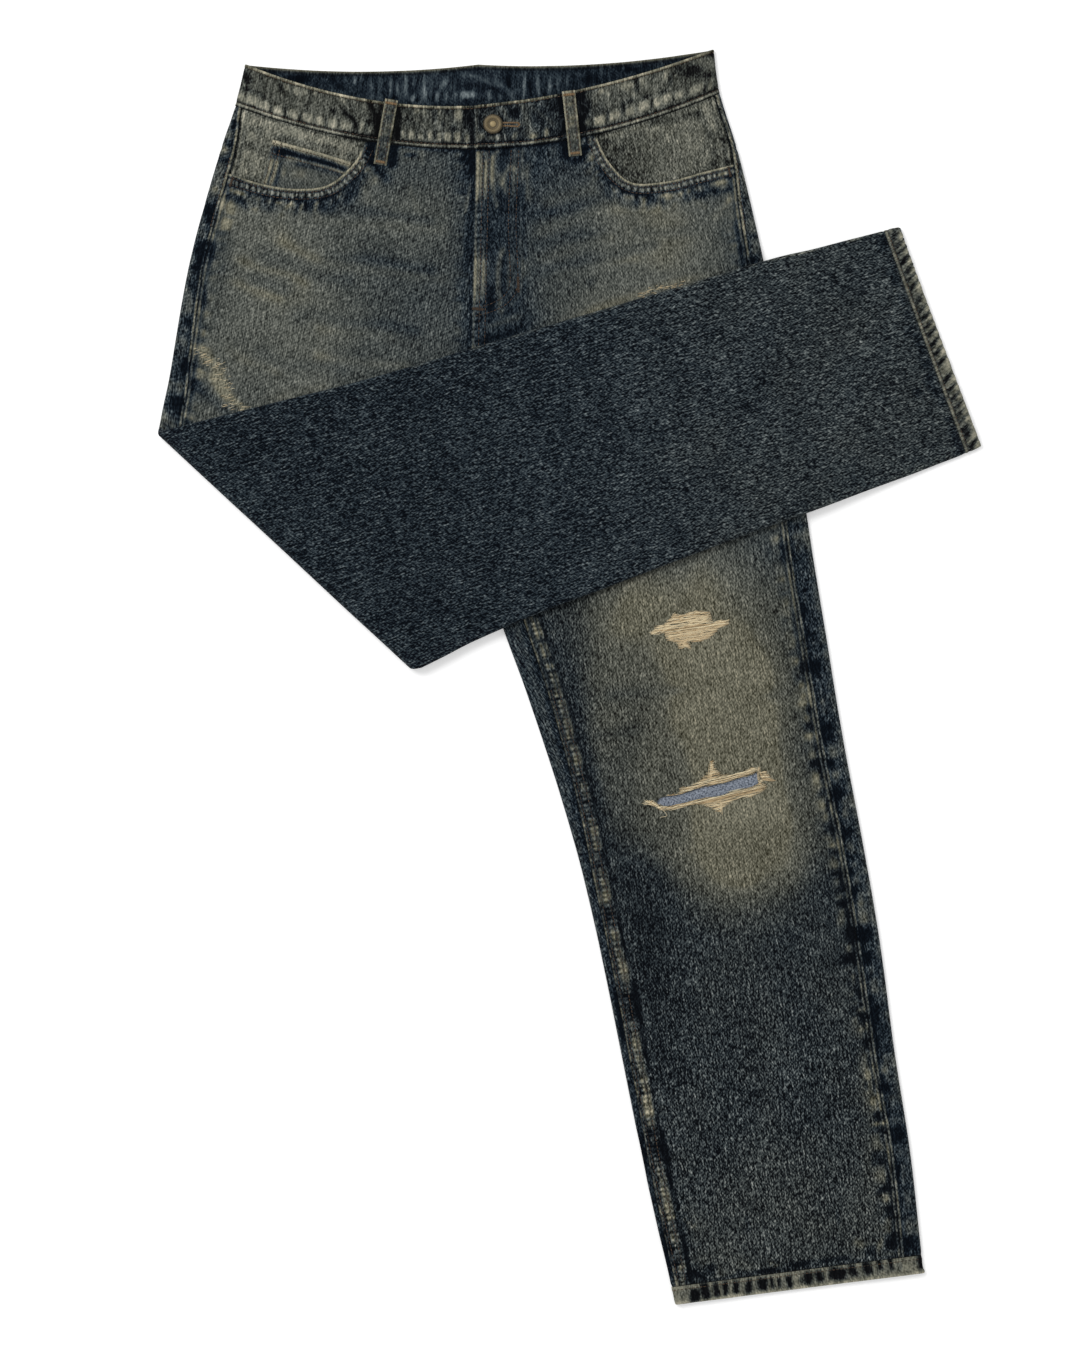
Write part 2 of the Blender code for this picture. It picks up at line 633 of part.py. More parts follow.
def make_facing(leg, finish, group):
    """The cloth behind a front pocket opening, from the outseam and the waist seam down."""
    first = row_index(leg, "waist seam")
    rows = []
    for place in [first + FACING_DEPTH * k / FACING_ROWS for k in range(FACING_ROWS + 1)]:
        section = Section(row_at(leg, place))
        start = section.row.outseam + FACING_GAP
        row = []
        for k in range(FACING_COLUMNS + 1):
            spot = section.plan(start + (FACING_REACH - start) * k / FACING_COLUMNS)
            row.append(Vector((spot.x, spot.y, facing_height(leg, spot.x, spot.y))))
        rows.append(row)
    return cloth(f"facing_{leg.side}", draw_in(rows, last=False), LIGHT_CLOTH, finish, group)


def make_coin_pocket(finish, group):
    """A small pocket on the right facing; its inner side runs in under the front."""
    top_out, top_in, low_in, low_out = (Vector(p) for p in COIN_POCKET)
    rows = []
    for k in range(COIN_ROWS + 1):
        start, end = (a.lerp(b, k / COIN_ROWS) for a, b in ((top_out, low_out), (top_in, low_in)))
        row = []
        for j in range(COIN_COLUMNS + 1):
            spot = start.lerp(end, j / COIN_COLUMNS)
            z = facing_height(RIGHT, spot.x, spot.y) + COIN_RISE
            row.append(Vector((spot.x, spot.y, z)))
        rows.append(row)
    return cloth("coin_pocket", rows, LIGHT_CLOTH, finish, group)


def make_back_pocket(leg, finish, group):
    """A five-sided pocket beneath the seat; the outer edge is the taller one."""
    middle, top = BACK_POCKET_PLACES[leg.side]
    way = 1.0 if leg.side == "left" else -1.0
    outline = [(middle + way * x, top + y) for x, y in BACK_POCKET]
    return prism(f"back_pocket_{leg.side}", outline, (0.0, LIGHT_CLOTH), finish, group)


def make_zip(finish, group):
    """The closed zip behind the fly edge."""
    top, bottom = ZIP_TOP, ZIP_TOP - ZIP_LENGTH
    heights = (ZIP_HEIGHT - ZIP_THICK / 2, ZIP_HEIGHT + ZIP_THICK / 2)
    outline = [(centre_x(top) - ZIP_WIDTH / 2, top), (centre_x(bottom) - ZIP_WIDTH / 2, bottom),
               (centre_x(bottom) + ZIP_WIDTH / 2, bottom), (centre_x(top) + ZIP_WIDTH / 2, top)]
    return prism("fly_zip", outline, heights, finish, group)


def make_button(finish, group):
    """A turned waist button: shank, flange and a shallow dished face."""
    seat = BUTTON_SEAT
    top = seat + BUTTON_HEIGHT
    dish = top - BUTTON_HEIGHT * 0.3
    profile = [(0.0, dish), (BUTTON_RADIUS * 0.35, dish), (BUTTON_RADIUS * 0.5, top),
               (BUTTON_RADIUS * 0.87, top), (BUTTON_RADIUS, top - BUTTON_HEIGHT / 3),
               (BUTTON_RADIUS, seat + BUTTON_HEIGHT / 6), (BUTTON_RADIUS * 0.92, seat),
               (SHANK_RADIUS, seat), (SHANK_RADIUS, SHANK_LOW), (0.0, SHANK_LOW)]
    mesh = bpy.data.meshes.new("button")
    mesh.from_pydata([(x * MM, 0.0, z * MM) for x, z in profile],
                     [(i, i + 1) for i in range(len(profile) - 1)], [])
    ob = add_object("button", mesh, finish, group)
    ob.location = (BUTTON_X * MM, BUTTON_Y * MM, 0.0)
    turned = ob.modifiers.new("Turned", "SCREW")
    turned.steps = BUTTON_STEPS
    turned.render_steps = BUTTON_STEPS
    turned.use_merge_vertices = True
    turned.merge_threshold = 1e-5
    turned.use_normal_calculate = True
    return ob


def slit_outline():
    """Once round the knee slit."""
    along = Vector((math.cos(SLIT_ANGLE), math.sin(SLIT_ANGLE)))
    side = Vector((-along.y, along.x))
    upper = [SLIT_START + along * run + side * half for run, half in SLIT]
    lower = [SLIT_START + along * run - side * half for run, half in reversed(SLIT)]
    return upper + lower


def make_rip_patch(finish, group):
    """Light cloth behind the knee slit, just beneath the front panel."""
    first = row_index(LEFT, "knee")
    down = Vector((0.0, 0.0, DENIM / 2 + SEAM_GAP + LIGHT_CLOTH / 2))
    rows = []
    for k in range(PATCH_ROWS + 1):
        section = Section(row_at(LEFT, first + PATCH_TOP + (PATCH_BOTTOM - PATCH_TOP) * k / PATCH_ROWS))
        run = PATCH_INNER - PATCH_OUTER
        rows.append([section.top_point(PATCH_OUTER + run * j / PATCH_COLUMNS) - down
                     for j in range(PATCH_COLUMNS + 1)])
    return cloth("rip_patch", rows, LIGHT_CLOTH, finish, group)


# ---------------------------------------------------------------- the garment

def main():
    clear_scene()
    jeans = new_collection("ripped_jeans")
    cutters = new_collection("cutters")

    faded = finish_of("denim_faded", (0.085, 0.085, 0.070), 0.9)
    dark = finish_of("denim_dark", (0.028, 0.036, 0.045), 0.9)
    worn = finish_of("denim_worn", (0.12, 0.115, 0.095), 0.9)
    chambray = finish_of("chambray", (0.20, 0.24, 0.34), 0.9)
    brass = finish_of("antique_brass", (0.27, 0.21, 0.12), 0.45, 1.0)
    tape = finish_of("zip_tape", (0.03, 0.03, 0.035), 0.8)

    fronts = [make_front(leg, faded, jeans, cutters) for leg in (LEFT, RIGHT)]
    cut(fronts[0], prism("slit_cut", slit_outline(), SLIT_CUT, None, cutters))
    for leg in (LEFT, RIGHT):
        make_back(leg, dark, jeans)
        make_yoke(leg, dark, jeans)
        make_hem(leg, worn, jeans)
        make_facing(leg, faded, jeans)
        make_back_pocket(leg, dark, jeans)
    make_waistband(worn, jeans, cutters)
    for side, (top, bottom) in FRONT_LOOPS.items():
        make_front_loop(side, top, bottom, worn, jeans)
    for place, (x, top, bottom) in BACK_LOOPS.items():
        make_back_loop(place, x, top, bottom, worn, jeans)
    make_coin_pocket(faded, jeans)
    make_zip(tape, jeans)
    make_button(brass, jeans)
    make_rip_patch(chambray, jeans)


main()
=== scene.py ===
"""Dresses the ripped jeans, which lie on their back with the right leg folded over the left hip.

Sizes are in millimetres unless a name says otherwise; meshes are scaled to metres as they are made.
Left and right are the wearer's. The form of the cloth comes from the same tables and rules as the solids:
each leg is a flattened tube, drawn straight and then, on the right, turned over the fold.
"""
import json
import logging
import math
from dataclasses import dataclass, field
from enum import Enum
from typing import NamedTuple, Optional, Sequence

import bpy
import numpy as np
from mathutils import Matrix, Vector
from mathutils.bvhtree import BVHTree

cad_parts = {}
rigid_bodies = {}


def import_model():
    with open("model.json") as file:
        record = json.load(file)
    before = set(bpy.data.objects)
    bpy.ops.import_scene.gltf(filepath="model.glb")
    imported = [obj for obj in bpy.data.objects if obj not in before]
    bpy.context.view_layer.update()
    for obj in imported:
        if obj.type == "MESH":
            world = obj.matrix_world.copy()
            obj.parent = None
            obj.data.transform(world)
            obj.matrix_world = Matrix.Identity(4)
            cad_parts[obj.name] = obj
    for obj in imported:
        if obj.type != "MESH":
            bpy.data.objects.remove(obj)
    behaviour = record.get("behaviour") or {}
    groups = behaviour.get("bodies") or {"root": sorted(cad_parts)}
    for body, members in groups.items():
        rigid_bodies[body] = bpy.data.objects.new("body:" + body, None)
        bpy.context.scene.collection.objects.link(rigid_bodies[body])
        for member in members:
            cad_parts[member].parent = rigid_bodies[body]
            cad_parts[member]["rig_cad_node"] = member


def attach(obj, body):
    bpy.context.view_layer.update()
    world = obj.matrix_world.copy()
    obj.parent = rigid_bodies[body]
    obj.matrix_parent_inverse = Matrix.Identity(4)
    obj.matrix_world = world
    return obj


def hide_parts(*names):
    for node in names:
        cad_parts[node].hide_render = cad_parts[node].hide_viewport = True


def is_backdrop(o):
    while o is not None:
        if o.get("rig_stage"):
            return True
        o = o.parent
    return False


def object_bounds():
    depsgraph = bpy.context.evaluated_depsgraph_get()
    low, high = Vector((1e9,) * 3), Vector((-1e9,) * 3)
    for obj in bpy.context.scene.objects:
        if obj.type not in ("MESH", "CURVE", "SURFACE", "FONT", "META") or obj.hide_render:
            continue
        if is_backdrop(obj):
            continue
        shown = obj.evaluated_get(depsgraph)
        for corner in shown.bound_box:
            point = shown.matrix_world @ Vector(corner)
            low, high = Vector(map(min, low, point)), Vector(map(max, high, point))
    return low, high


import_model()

CAD_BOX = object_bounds()
LOG = logging.getLogger("jeans")
MM = 0.001
Array = np.ndarray
Line = Sequence[tuple[float, float]]

# ------------------------------------------------------------------ sizes shared with the solids

DENIM = 1.2                     # thickness of the denim
LIGHT_CLOTH = 1.0               # thickness of the facings, the coin pocket and the patch
BAND = 2.2                      # thickness of the doubled waistband
BAND_HEIGHT = 7.2               # height of the flattened waistband
HEM = 2.0                       # thickness of a doubled hem
SEAM_GAP = 0.3                  # between two pieces of cloth at a seam
HIP_HEIGHT = 7.0                # height of the flattened hips
BACK_LIFT = 1.3                 # how far the back lies clear of what is sewn on beneath it
LIFT_EASE = (8.0, 22.0)         # the lift starts this far from an edge, and grows over the next
HOLLOW_EASE = (20.0, 70.0)      # the same for the hollow in the middle of a leg
CROTCH_X, CROTCH_Y, CENTRE_LEAN = -84.7, 203.0, 0.0224      # the centre line: a point on it, and its lean
FOLD_START = np.array((-350.7, 215.1))                      # a point on the line that the leg turns over
FOLD_ANGLE = math.radians(-42.8)
BEND_HEIGHT, BEND_RADIUS = 7.2, 6.6     # height of the bend's axis, and the radius that its length is taken at
LAID_HEIGHT = 6.0               # height of a flattened leg
BUTTON_AT = (-64.9, 473.9)
LOOP_WIDTH, LOOP_SEAT, LOOP_ARCH = 11.2, 8.1, 1.0       # width of a belt loop, height of its ends, rise of its middle
FACING_EASE = (6.0, 22.0)       # the facing stays low this far beyond the opening, then rises over the next
# distances of the stitches from the edge of their cloth
BAND_STITCHES = (2.9, 4.0)      # from the upper edge, from the lower edge
OPENING_STITCHES = (3.0, 8.2)
FLY_STITCHES = (5.8, 11.2)


class Row(NamedTuple):
    """One line across a leg, from its outer edge to the centre line or the inner edge."""

    name: str
    outer_x: float
    outer_y: float
    inner_x: float
    inner_y: float
    back_up: float
    bow: float
    back_bow: float
    outseam: float
    inseam: float
    height: float
    dip: float
    lift: float
    rest: float


def centre_x(y: Array) -> Array:
    """Where the centre line of the body is at y."""
    return CROTCH_X + CENTRE_LEAN * (y - CROTCH_Y)


def body_row(name: str, outer_x: float, outer_y: float, inner_y: float, back_up: float, bow: float,
             back_bow: float, outseam: float) -> Row:
    """A row above the crotch, which ends on the centre line."""
    return Row(name, outer_x, outer_y, centre_x(inner_y), inner_y, back_up, bow, back_bow, outseam, 0.0,
               HIP_HEIGHT, 0.0, BACK_LIFT, 0.0)


def leg_row(name: str, outer_x: float, outer_y: float, inner_x: float, inner_y: float, outseam: float,
            inseam: float, dip: float, rest: float) -> Row:
    """A row below the crotch."""
    return Row(name, outer_x, outer_y, inner_x, inner_y, 0.0, 0.0, 0.0, outseam, inseam, LAID_HEIGHT,
               dip, 0.0, rest)


#            name        outer x  outer y  inner y  back_up  bow  back_bow  outseam
LEFT_ROWS = (
    body_row("band top", 125.1, 539.2, 490.5, 36.0, 7.3, 6.0, 4.2),
    body_row("waist seam", 130.3, 500.9, 453.0, 33.6, 10.7, 5.0, 4.2),
    body_row("yoke seam", 144.9, 454.1, 404.0, 20.0, 5.0, 2.0, 4.6),
    body_row("hip", 157.8, 402.5, 344.0, 10.0, 1.0, 0.0, 11.0),
    body_row("seat", 169.0, 350.9, 282.0, 0.0, 0.0, 0.0, 14.0),
    body_row("crotch", 181.0, 282.0, 203.0, 0.0, 0.0, 0.0, 17.0),
    #        name         outer x  outer y  inner x  inner y  outseam  inseam  dip  rest
    leg_row("below crotch", 182.5, 273.0, -82.0, 192.0, 17.0, 6.0, 0.0, 0.0),
    leg_row("upper thigh", 196.0, 200.0, -79.5, 145.0, 18.5, 14.0, 0.0, 0.0),
    leg_row("thigh", 209.4, 110.0, -64.0, 65.0, 20.6, 20.0, 0.6, 0.0),
    leg_row("above knee", 222.5, 30.0, -35.8, -15.0, 20.5, 18.0, 1.4, 0.0),
    leg_row("knee", 236.5, -55.0, -8.0, -99.0, 20.0, 13.5, 1.6, 0.0),
    leg_row("below knee", 253.0, -142.0, 13.8, -177.0, 19.0, 8.0, 1.6, 0.0),
    leg_row("calf", 267.5, -225.0, 33.5, -266.0, 19.5, 7.0, 1.5, 0.0),
    leg_row("lower calf", 281.0, -325.0, 52.5, -361.0, 18.5, 6.0, 1.4, 0.0),
    leg_row("ankle", 294.5, -412.0, 70.0, -445.0, 17.0, 4.6, 1.2, 0.0),
    leg_row("hem top", 304.2, -499.0, 88.6, -526.5, 17.5, 4.2, 1.0, 0.0),
    leg_row("hem edge", 306.6, -511.7, 91.6, -539.2, 17.5, 4.2, 1.0, 0.0),
)
RIGHT_ROWS = (
    body_row("band top", -278.2, 526.3, 490.5, 36.0, 11.6, 6.0, 5.6),
    body_row("waist seam", -286.8, 490.2, 453.0, 33.6, 10.0, 5.0, 5.6),
    body_row("yoke seam", -298.9, 454.1, 404.0, 20.0, 5.0, 2.0, 12.0),
    body_row("hip", -314.3, 402.5, 344.0, 10.0, 1.0, 0.0, 13.0),
    body_row("seat", -327.2, 350.9, 282.0, 0.0, 0.0, 0.0, 13.0),
    body_row("crotch", -339.3, 282.0, 203.0, 0.0, 0.0, 0.0, 16.0),
    leg_row("below crotch", -340.8, 273.0, -87.6, 192.0, 16.0, 6.0, 0.0, 0.0),
    leg_row("upper thigh", -344.5, 252.0, -100.8, 141.0, 18.0, 14.0, 0.0, 0.0),
    leg_row("thigh", -348.3, 234.0, -117.1, 78.0, 20.0, 18.0, 0.0, 0.0),
    leg_row("bend start", -351.8, 216.1, -133.7, 14.1, 22.0, 20.0, 0.0, 8.4),
    leg_row("bend end", -360.5, 195.9, -140.3, -8.1, 22.0, 20.0, 0.0, 8.4),
    leg_row("past the bend", -365.8, 165.0, -148.5, -28.5, 22.0, 19.0, -0.3, 8.0),
    leg_row("above knee", -375.5, 108.0, -160.5, -57.5, 22.0, 17.0, -0.9, 7.5),
    leg_row("knee", -391.0, 20.0, -179.5, -113.5, 21.0, 14.0, -1.5, 7.4),
    leg_row("below knee", -409.5, -67.0, -198.5, -178.0, 20.0, 9.0, -1.6, 7.4),
    leg_row("calf", -429.5, -160.0, -218.0, -243.5, 19.0, 7.0, -1.6, 7.4),
    leg_row("lower calf", -450.5, -258.0, -237.5, -313.0, 18.5, 6.0, -1.5, 7.4),
    leg_row("over the hip edge", -467.3, -335.0, -249.1, -355.0, 18.0, 5.0, -1.4, 7.4),
    leg_row("coming down", -473.0, -370.0, -260.5, -394.0, 18.0, 5.0, -1.3, 4.8),
    leg_row("nearly down", -478.8, -400.0, -272.5, -437.0, 18.0, 4.6, -1.2, 1.3),
    leg_row("ankle", -481.8, -417.0, -281.0, -465.0, 17.5, 4.4, -1.1, 0.1),
    leg_row("hem top", -484.7, -433.5, -288.4, -489.2, 17.5, 4.2, -1.0, 0.0),
    leg_row("hem edge", -486.9, -445.4, -292.9, -501.3, 17.5, 4.2, -1.0, 0.0),
)

LEFT_OPENING = ((23.7, 463.5), (34.8, 442.0), (54.0, 424.5), (85.0, 425.3), (115.0, 433.0), (141.0, 439.5))
RIGHT_OPENING = ((-175.0, 456.0), (-184.0, 440.0), (-206.0, 421.5), (-235.0, 418.0), (-264.0, 422.3),
                 (-292.0, 431.0))
BACK_POCKET_Y = 396.0
BACK_POCKET = ((-72.0, 4.0), (72.0, -4.0), (64.0, -118.0), (2.0, -150.0), (-60.0, -112.0))

# ------------------------------------------------------------------ small helpers


def smooth(x: Array) -> Array:
    """An easy curve that is 0 below 0 and 1 above 1."""
    x = np.clip(x, 0.0, 1.0)
    return x * x * (3.0 - 2.0 * x)


def hump(x: Array) -> Array:
    """A bell that is 1 at 0 and nearly gone at 2."""
    return np.exp(-np.square(x))


def _hash(i: Array, j: Array, seed: int) -> Array:
    """A fixed number from 0 to 1 for each pair of whole numbers.

    Args:
        i: The first numbers.
        j: The second numbers.
        seed: Which set of numbers.

    Returns:
        The numbers from 0 to 1.
    """
    h = (i * 374761393 + j * 668265263 + seed * 974634777) & 0xFFFFFFFF
    h = ((h ^ (h >> 13)) * 1274126177) & 0xFFFFFFFF
    return ((h ^ (h >> 16)) & 0xFFFF) / 65535.0


def ripple(x: Array, y: Array, size: float, seed: int, stretch: float = 1.0) -> Array:
    """Uneven waves over a surface.

    Args:
        x: Distance one way, in millimetres.
        y: Distance the other way.
        size: Width of a wave.
        seed: Chooses the pattern.
        stretch: How many times longer a wave is along y.

    Returns:
        Heights from -1 to 1.
    """
    x, y = np.broadcast_arrays(np.asarray(x, float) / size, np.asarray(y, float) / (size * stretch))
    i, j = np.floor(x).astype(np.int64), np.floor(y).astype(np.int64)
    u, v = smooth(x - i), smooth(y - j)
    low = _hash(i, j, seed) * (1 - u) + _hash(i + 1, j, seed) * u
    high = _hash(i, j + 1, seed) * (1 - u) + _hash(i + 1, j + 1, seed) * u
    return 2.0 * (low * (1 - v) + high * v) - 1.0


def curve_through(points: Line, step: float = 2.0) -> Array:
    """A smooth line through a few points, sampled about every step millimetres.

    Args:
        points: Two or more places in the plane.
        step: Spacing of the samples.

    Returns:
        The samples, one a row.
    """
    p = np.asarray(points, float)
    ends = np.vstack([2 * p[0] - p[1], p, 2 * p[-1] - p[-2]])
    line = []
    for a, b, c, d in zip(ends, ends[1:], ends[2:], ends[3:]):
        count = max(int(np.linalg.norm(c - b) / step), 1)
        for k in range(count):
            x = k / count
            line.append(b + 0.5 * x * (c - a + x * (2 * a - 5 * b + 4 * c - d + x * (3 * (b - c) + d - a))))
    return np.array(line + [p[-1]])


def even(line: Array, step: float) -> Array:
    """The same line with its samples an even step apart.

    Args:
        line: The samples.
        step: Distance wanted between two samples.

    Returns:
        The line.
    """
    line = np.asarray(line, float)
    run = np.concatenate([[0.0], np.cumsum(np.linalg.norm(np.diff(line, axis=0), axis=1))])
    marks = np.linspace(0.0, run[-1], max(int(round(run[-1] / step)), 1) + 1)
    return np.stack([np.interp(marks, run, line[:, k]) for k in range(line.shape[1])], axis=1)


def beside(line: Array, offset: float) -> Array:
    """A line that keeps an even distance from another, on its left for a positive offset.

    Args:
        line: The samples.
        offset: Distance to the left, negative for the right.

    Returns:
        The line beside it.
    """
    ahead = np.gradient(line, axis=0)
    ahead /= np.linalg.norm(ahead, axis=1, keepdims=True) + 1e-9
    return line + offset * np.stack([-ahead[:, 1], ahead[:, 0]], axis=1)


def distance_to(x: Array, y: Array, line: Array) -> tuple[Array, Array, Array]:
    """How far places are from a line.

    Args:
        x: X of the places.
        y: Y of the places.
        line: Points of the line.

    Returns:
        The distance, the run along the line to the nearest point, and the side: 1 on its left, -1 on
        its right.
    """
    best = np.full(x.shape, 1e9)
    run_at, side = np.zeros(x.shape), np.ones(x.shape)
    run = 0.0
    for a, b in zip(line, line[1:]):
        along = b - a
        length = float(np.hypot(*along))
        part = np.clip(((x - a[0]) * along[0] + (y - a[1]) * along[1]) / (length * length), 0.0, 1.0)
        off_x, off_y = x - a[0] - along[0] * part, y - a[1] - along[1] * part
        away = np.hypot(off_x, off_y)
        nearer = away < best
        best = np.where(nearer, away, best)
        run_at = np.where(nearer, run + part * length, run_at)
        side = np.where(nearer, np.sign(along[0] * off_y - along[1] * off_x + 1e-12), side)
        run += length
    return best, run_at, side


# ------------------------------------------------------------------ the flattened leg


@dataclass
class Bands:
    """Lines across a leg at some places in its table, as arrays of one shape."""

    outer: Array
    chord: Array
    back_chord: Array
    width: Array
    values: dict[str, Array]
    top: Array
    bottom: float

    @property
    def radius(self) -> Array:
        """Radius of the turned edge, to the middle of the cloth."""
        return (self.top - self.bottom) / 2

    @property
    def edge(self) -> Array:
        """Distance from the outer edge at which the cloth begins to turn over."""
        return self.radius + self.bottom

    def plan(self, w: Array, under: Array = 0.0) -> Array:
        """The laid place at distance w from the outer edge; under is 0 in front and 1 behind.

        Args:
            w: Distances.
            under: Which side of the leg.

        Returns:
            The places, x and y.
        """
        part = w / self.width
        sag = 4.0 * part * (1.0 - part)
        part = part[..., None]
        front = self.outer + self.chord * part
        back = self.outer + self.back_chord * part
        front[..., 1] -= self.values["bow"] * sag
        back[..., 1] -= self.values["back_bow"] * sag
        under = np.broadcast_to(np.asarray(under, float), w.shape)[..., None]
        return front * (1.0 - under) + back * under

    def hollow(self, w: Array) -> Array:
        """1 in the middle of the leg, easing to 0 near its edges."""
        start, run = HOLLOW_EASE
        return smooth((w - start) / run) * smooth((self.width - w - start) / run)

    def top_point(self, w: Array) -> Array:
        """The middle of the front's cloth."""
        z = self.top - np.maximum(self.values["dip"], 0.0) * self.hollow(w)
        return np.concatenate([self.plan(w), z[..., None]], axis=-1)

    def bottom_point(self, w: Array) -> Array:
        """The middle of the back's cloth where it lies beneath.

        Args:
            w: Distances from the outer edge.

        Returns:
            The points, x, y and z.
        """
        start, run = LIFT_EASE
        rise = smooth((w - start) / run)
        inner = smooth((self.width - w - start) / run)
        rise = rise * np.where(self.values["inseam"] > 0.0, inner, 1.0)
        z = self.bottom + self.values["lift"] * rise + np.maximum(-self.values["dip"], 0.0) * self.hollow(w)
        return np.concatenate([self.plan(w, 1.0), z[..., None]], axis=-1)

    def turn(self, share: Array, inner: bool = False) -> Array:
        """A point on a turned edge: share goes from 0 on top to 1 beneath.

        Args:
            share: How far round.
            inner: Whether it is the turn at the inner edge.

        Returns:
            The points, x, y and z.
        """
        reach = self.edge - self.radius * np.sin(math.pi * share)
        w = self.width - reach if inner else reach
        z = (self.top + self.bottom) / 2 + self.radius * np.cos(math.pi * share)
        return np.concatenate([self.plan(w, share), z[..., None]], axis=-1)


class Side(Enum):
    """The wearer's two sides."""

    LEFT = "left"
    RIGHT = "right"


@dataclass
class LegForm:
    """The form of one side of the jeans, from the waist to the hem."""

    side: Side
    rows: tuple[Row, ...]
    opening: Line
    facing_low: float
    facing_high: float
    names: dict[str, int] = field(init=False)
    table: Array = field(init=False)
    runs: Array = field(init=False)

    def __post_init__(self) -> None:
        """Lays the table out as arrays."""
        self.names = {row.name: i for i, row in enumerate(self.rows)}
        self.table = np.array([row[1:] for row in self.rows], float)
        steps = np.diff(self.table[:, :4], axis=0)
        lengths = (np.hypot(steps[:, 0], steps[:, 1]) + np.hypot(steps[:, 2], steps[:, 3])) / 2
        self.runs = np.concatenate([[0.0], np.cumsum(lengths)])

    @property
    def folded(self) -> bool:
        """Whether this leg turns over the fold."""
        return self.side is Side.RIGHT

    @property
    def out(self) -> float:
        """The way to the outer edge: 1 towards +X, -1 towards -X."""
        return 1.0 if self.side is Side.LEFT else -1.0

    def place(self, name: str) -> float:
        """The place of a named row."""
        return float(self.names[name])

    def run(self, place: Array) -> Array:
        """Distance down the leg from the top of the waistband."""
        return np.interp(place, np.arange(len(self.runs)), self.runs)

    def at(self, place: Array, thick: float = DENIM, height: Optional[float] = None) -> Bands:
        """The lines across the leg at some places.

        Args:
            place: Places in the table, whole numbers on its own rows.
            thick: Thickness of the cloth.
            height: Height of the flattened tube, if it isn't the row's own.

        Returns:
            The lines, in arrays shaped like place.
        """
        place = np.asarray(place, float)
        i = np.clip(np.floor(place + 1e-9).astype(int), 0, len(self.rows) - 2)
        x = (place - i)[..., None]
        bend = self.names.get("bend start", -9)
        stiff = i == bend
        before = np.where((i > 0) & (i - 1 != bend) & ~stiff, i - 1, i)
        beyond = np.where((i + 2 < len(self.rows)) & (i + 1 != bend) & ~stiff, i + 2, i + 1)
        a, b, c, d = (self.table[k] for k in (before, i, i + 1, beyond))
        curved = b + 0.5 * x * (c - a + x * (2 * a - 5 * b + 4 * c - d + x * (3 * (b - c) + d - a)))
        straight = b + x * (c - b)
        found = dict(zip(Row._fields[1:], np.moveaxis(curved, -1, 0)))
        plain = dict(zip(Row._fields[1:], np.moveaxis(straight, -1, 0)))
        for name in found:
            found[name] = np.where(stiff | (name in ("inseam", "lift", "height")), plain[name], found[name])
        above = self.table[i + 1][..., Row._fields[1:].index("inseam")] <= 0.0
        found["inner_x"] = np.where(above, centre_x(found["inner_y"]), found["inner_x"])
        outer = np.stack([found["outer_x"], found["outer_y"]], axis=-1)
        inner = np.stack([found["inner_x"], found["inner_y"]], axis=-1)
        up = np.stack([found["back_up"] * CENTRE_LEAN, found["back_up"]], axis=-1)
        tall = found["height"] if height is None else np.full(place.shape, height)
        chord = inner - outer
        return Bands(outer, chord, inner + up - outer, np.linalg.norm(chord, axis=-1), found,
                     tall - thick / 2, thick / 2)

    def spaced(self, first: float, last: float, step: float) -> Array:
        """Places from first to last whose rows are about a step apart.

        Args:
            first: Place of the first row.
            last: Place of the last row.
            step: Spacing of the rows.

        Returns:
            The places in order.
        """
        found = [np.array([first])]
        low = first
        while low < last - 1e-6:
            high = min(math.floor(low + 1e-6) + 1.0, last)
            length = float(self.run(high) - self.run(low))
            name = self.rows[int(low + 1e-6)].name
            count = {"crotch": 1, "bend start": 16}.get(name, max(int(math.ceil(length / step)), 1))
            found.append(low + (high - low) * np.arange(1, count + 1) / count)
            low = high
        return np.concatenate(found)

    def lay(self, points: Array, rest: Array) -> Array:
        """Turns points of the straight leg over the fold, on the side that is folded.

        Args:
            points: Points of the straight leg.
            rest: Height of what each point's row lies on past the fold.

        Returns:
            The points as they lie.
        """
        if not self.folded:
            return points
        across = np.array((math.sin(FOLD_ANGLE), -math.cos(FOLD_ANGLE)))
        run = (points[..., :2] - FOLD_START) @ across
        past = run - BEND_RADIUS * math.pi
        laid = points[..., :2] - across * (past + run)[..., None]
        beyond = np.concatenate([laid, (rest + LAID_HEIGHT - points[..., 2])[..., None]], axis=-1)
        turn = np.clip(run / BEND_RADIUS, 0.0, math.pi)
        reach = BEND_HEIGHT - points[..., 2]
        laid = points[..., :2] + across * (reach * np.sin(turn) - run)[..., None]
        bent = np.concatenate([laid, (BEND_HEIGHT - reach * np.cos(turn))[..., None]], axis=-1)
        return np.where((past >= 0.0)[..., None], beyond, np.where((run > 0.0)[..., None], bent, points))

    def warp_turn(self) -> float:
        """How far the warp leans from the length of the garment, in radians.

        Returns:
            The turn, positive to the left.
        """
        low, high = self.table[-1], self.table[0]
        dx = (low[0] + low[2] - high[0] - high[2]) / 2
        dy = (low[1] + low[3] - high[1] - high[3]) / 2
        return math.atan2(dx, -dy)


LEFT = LegForm(Side.LEFT, LEFT_ROWS, LEFT_OPENING, 5.0, 6.4)
RIGHT = LegForm(Side.RIGHT, RIGHT_ROWS, RIGHT_OPENING, 3.5, 6.4)
LEGS = (LEFT, RIGHT)


def turned(points: Array, angle: float) -> Array:
    """Points in the plane, turned about the origin."""
    c, s = math.cos(angle), math.sin(angle)
    return np.stack([points[..., 0] * c - points[..., 1] * s, points[..., 0] * s + points[..., 1] * c], -1)


# ------------------------------------------------------------------ finishes


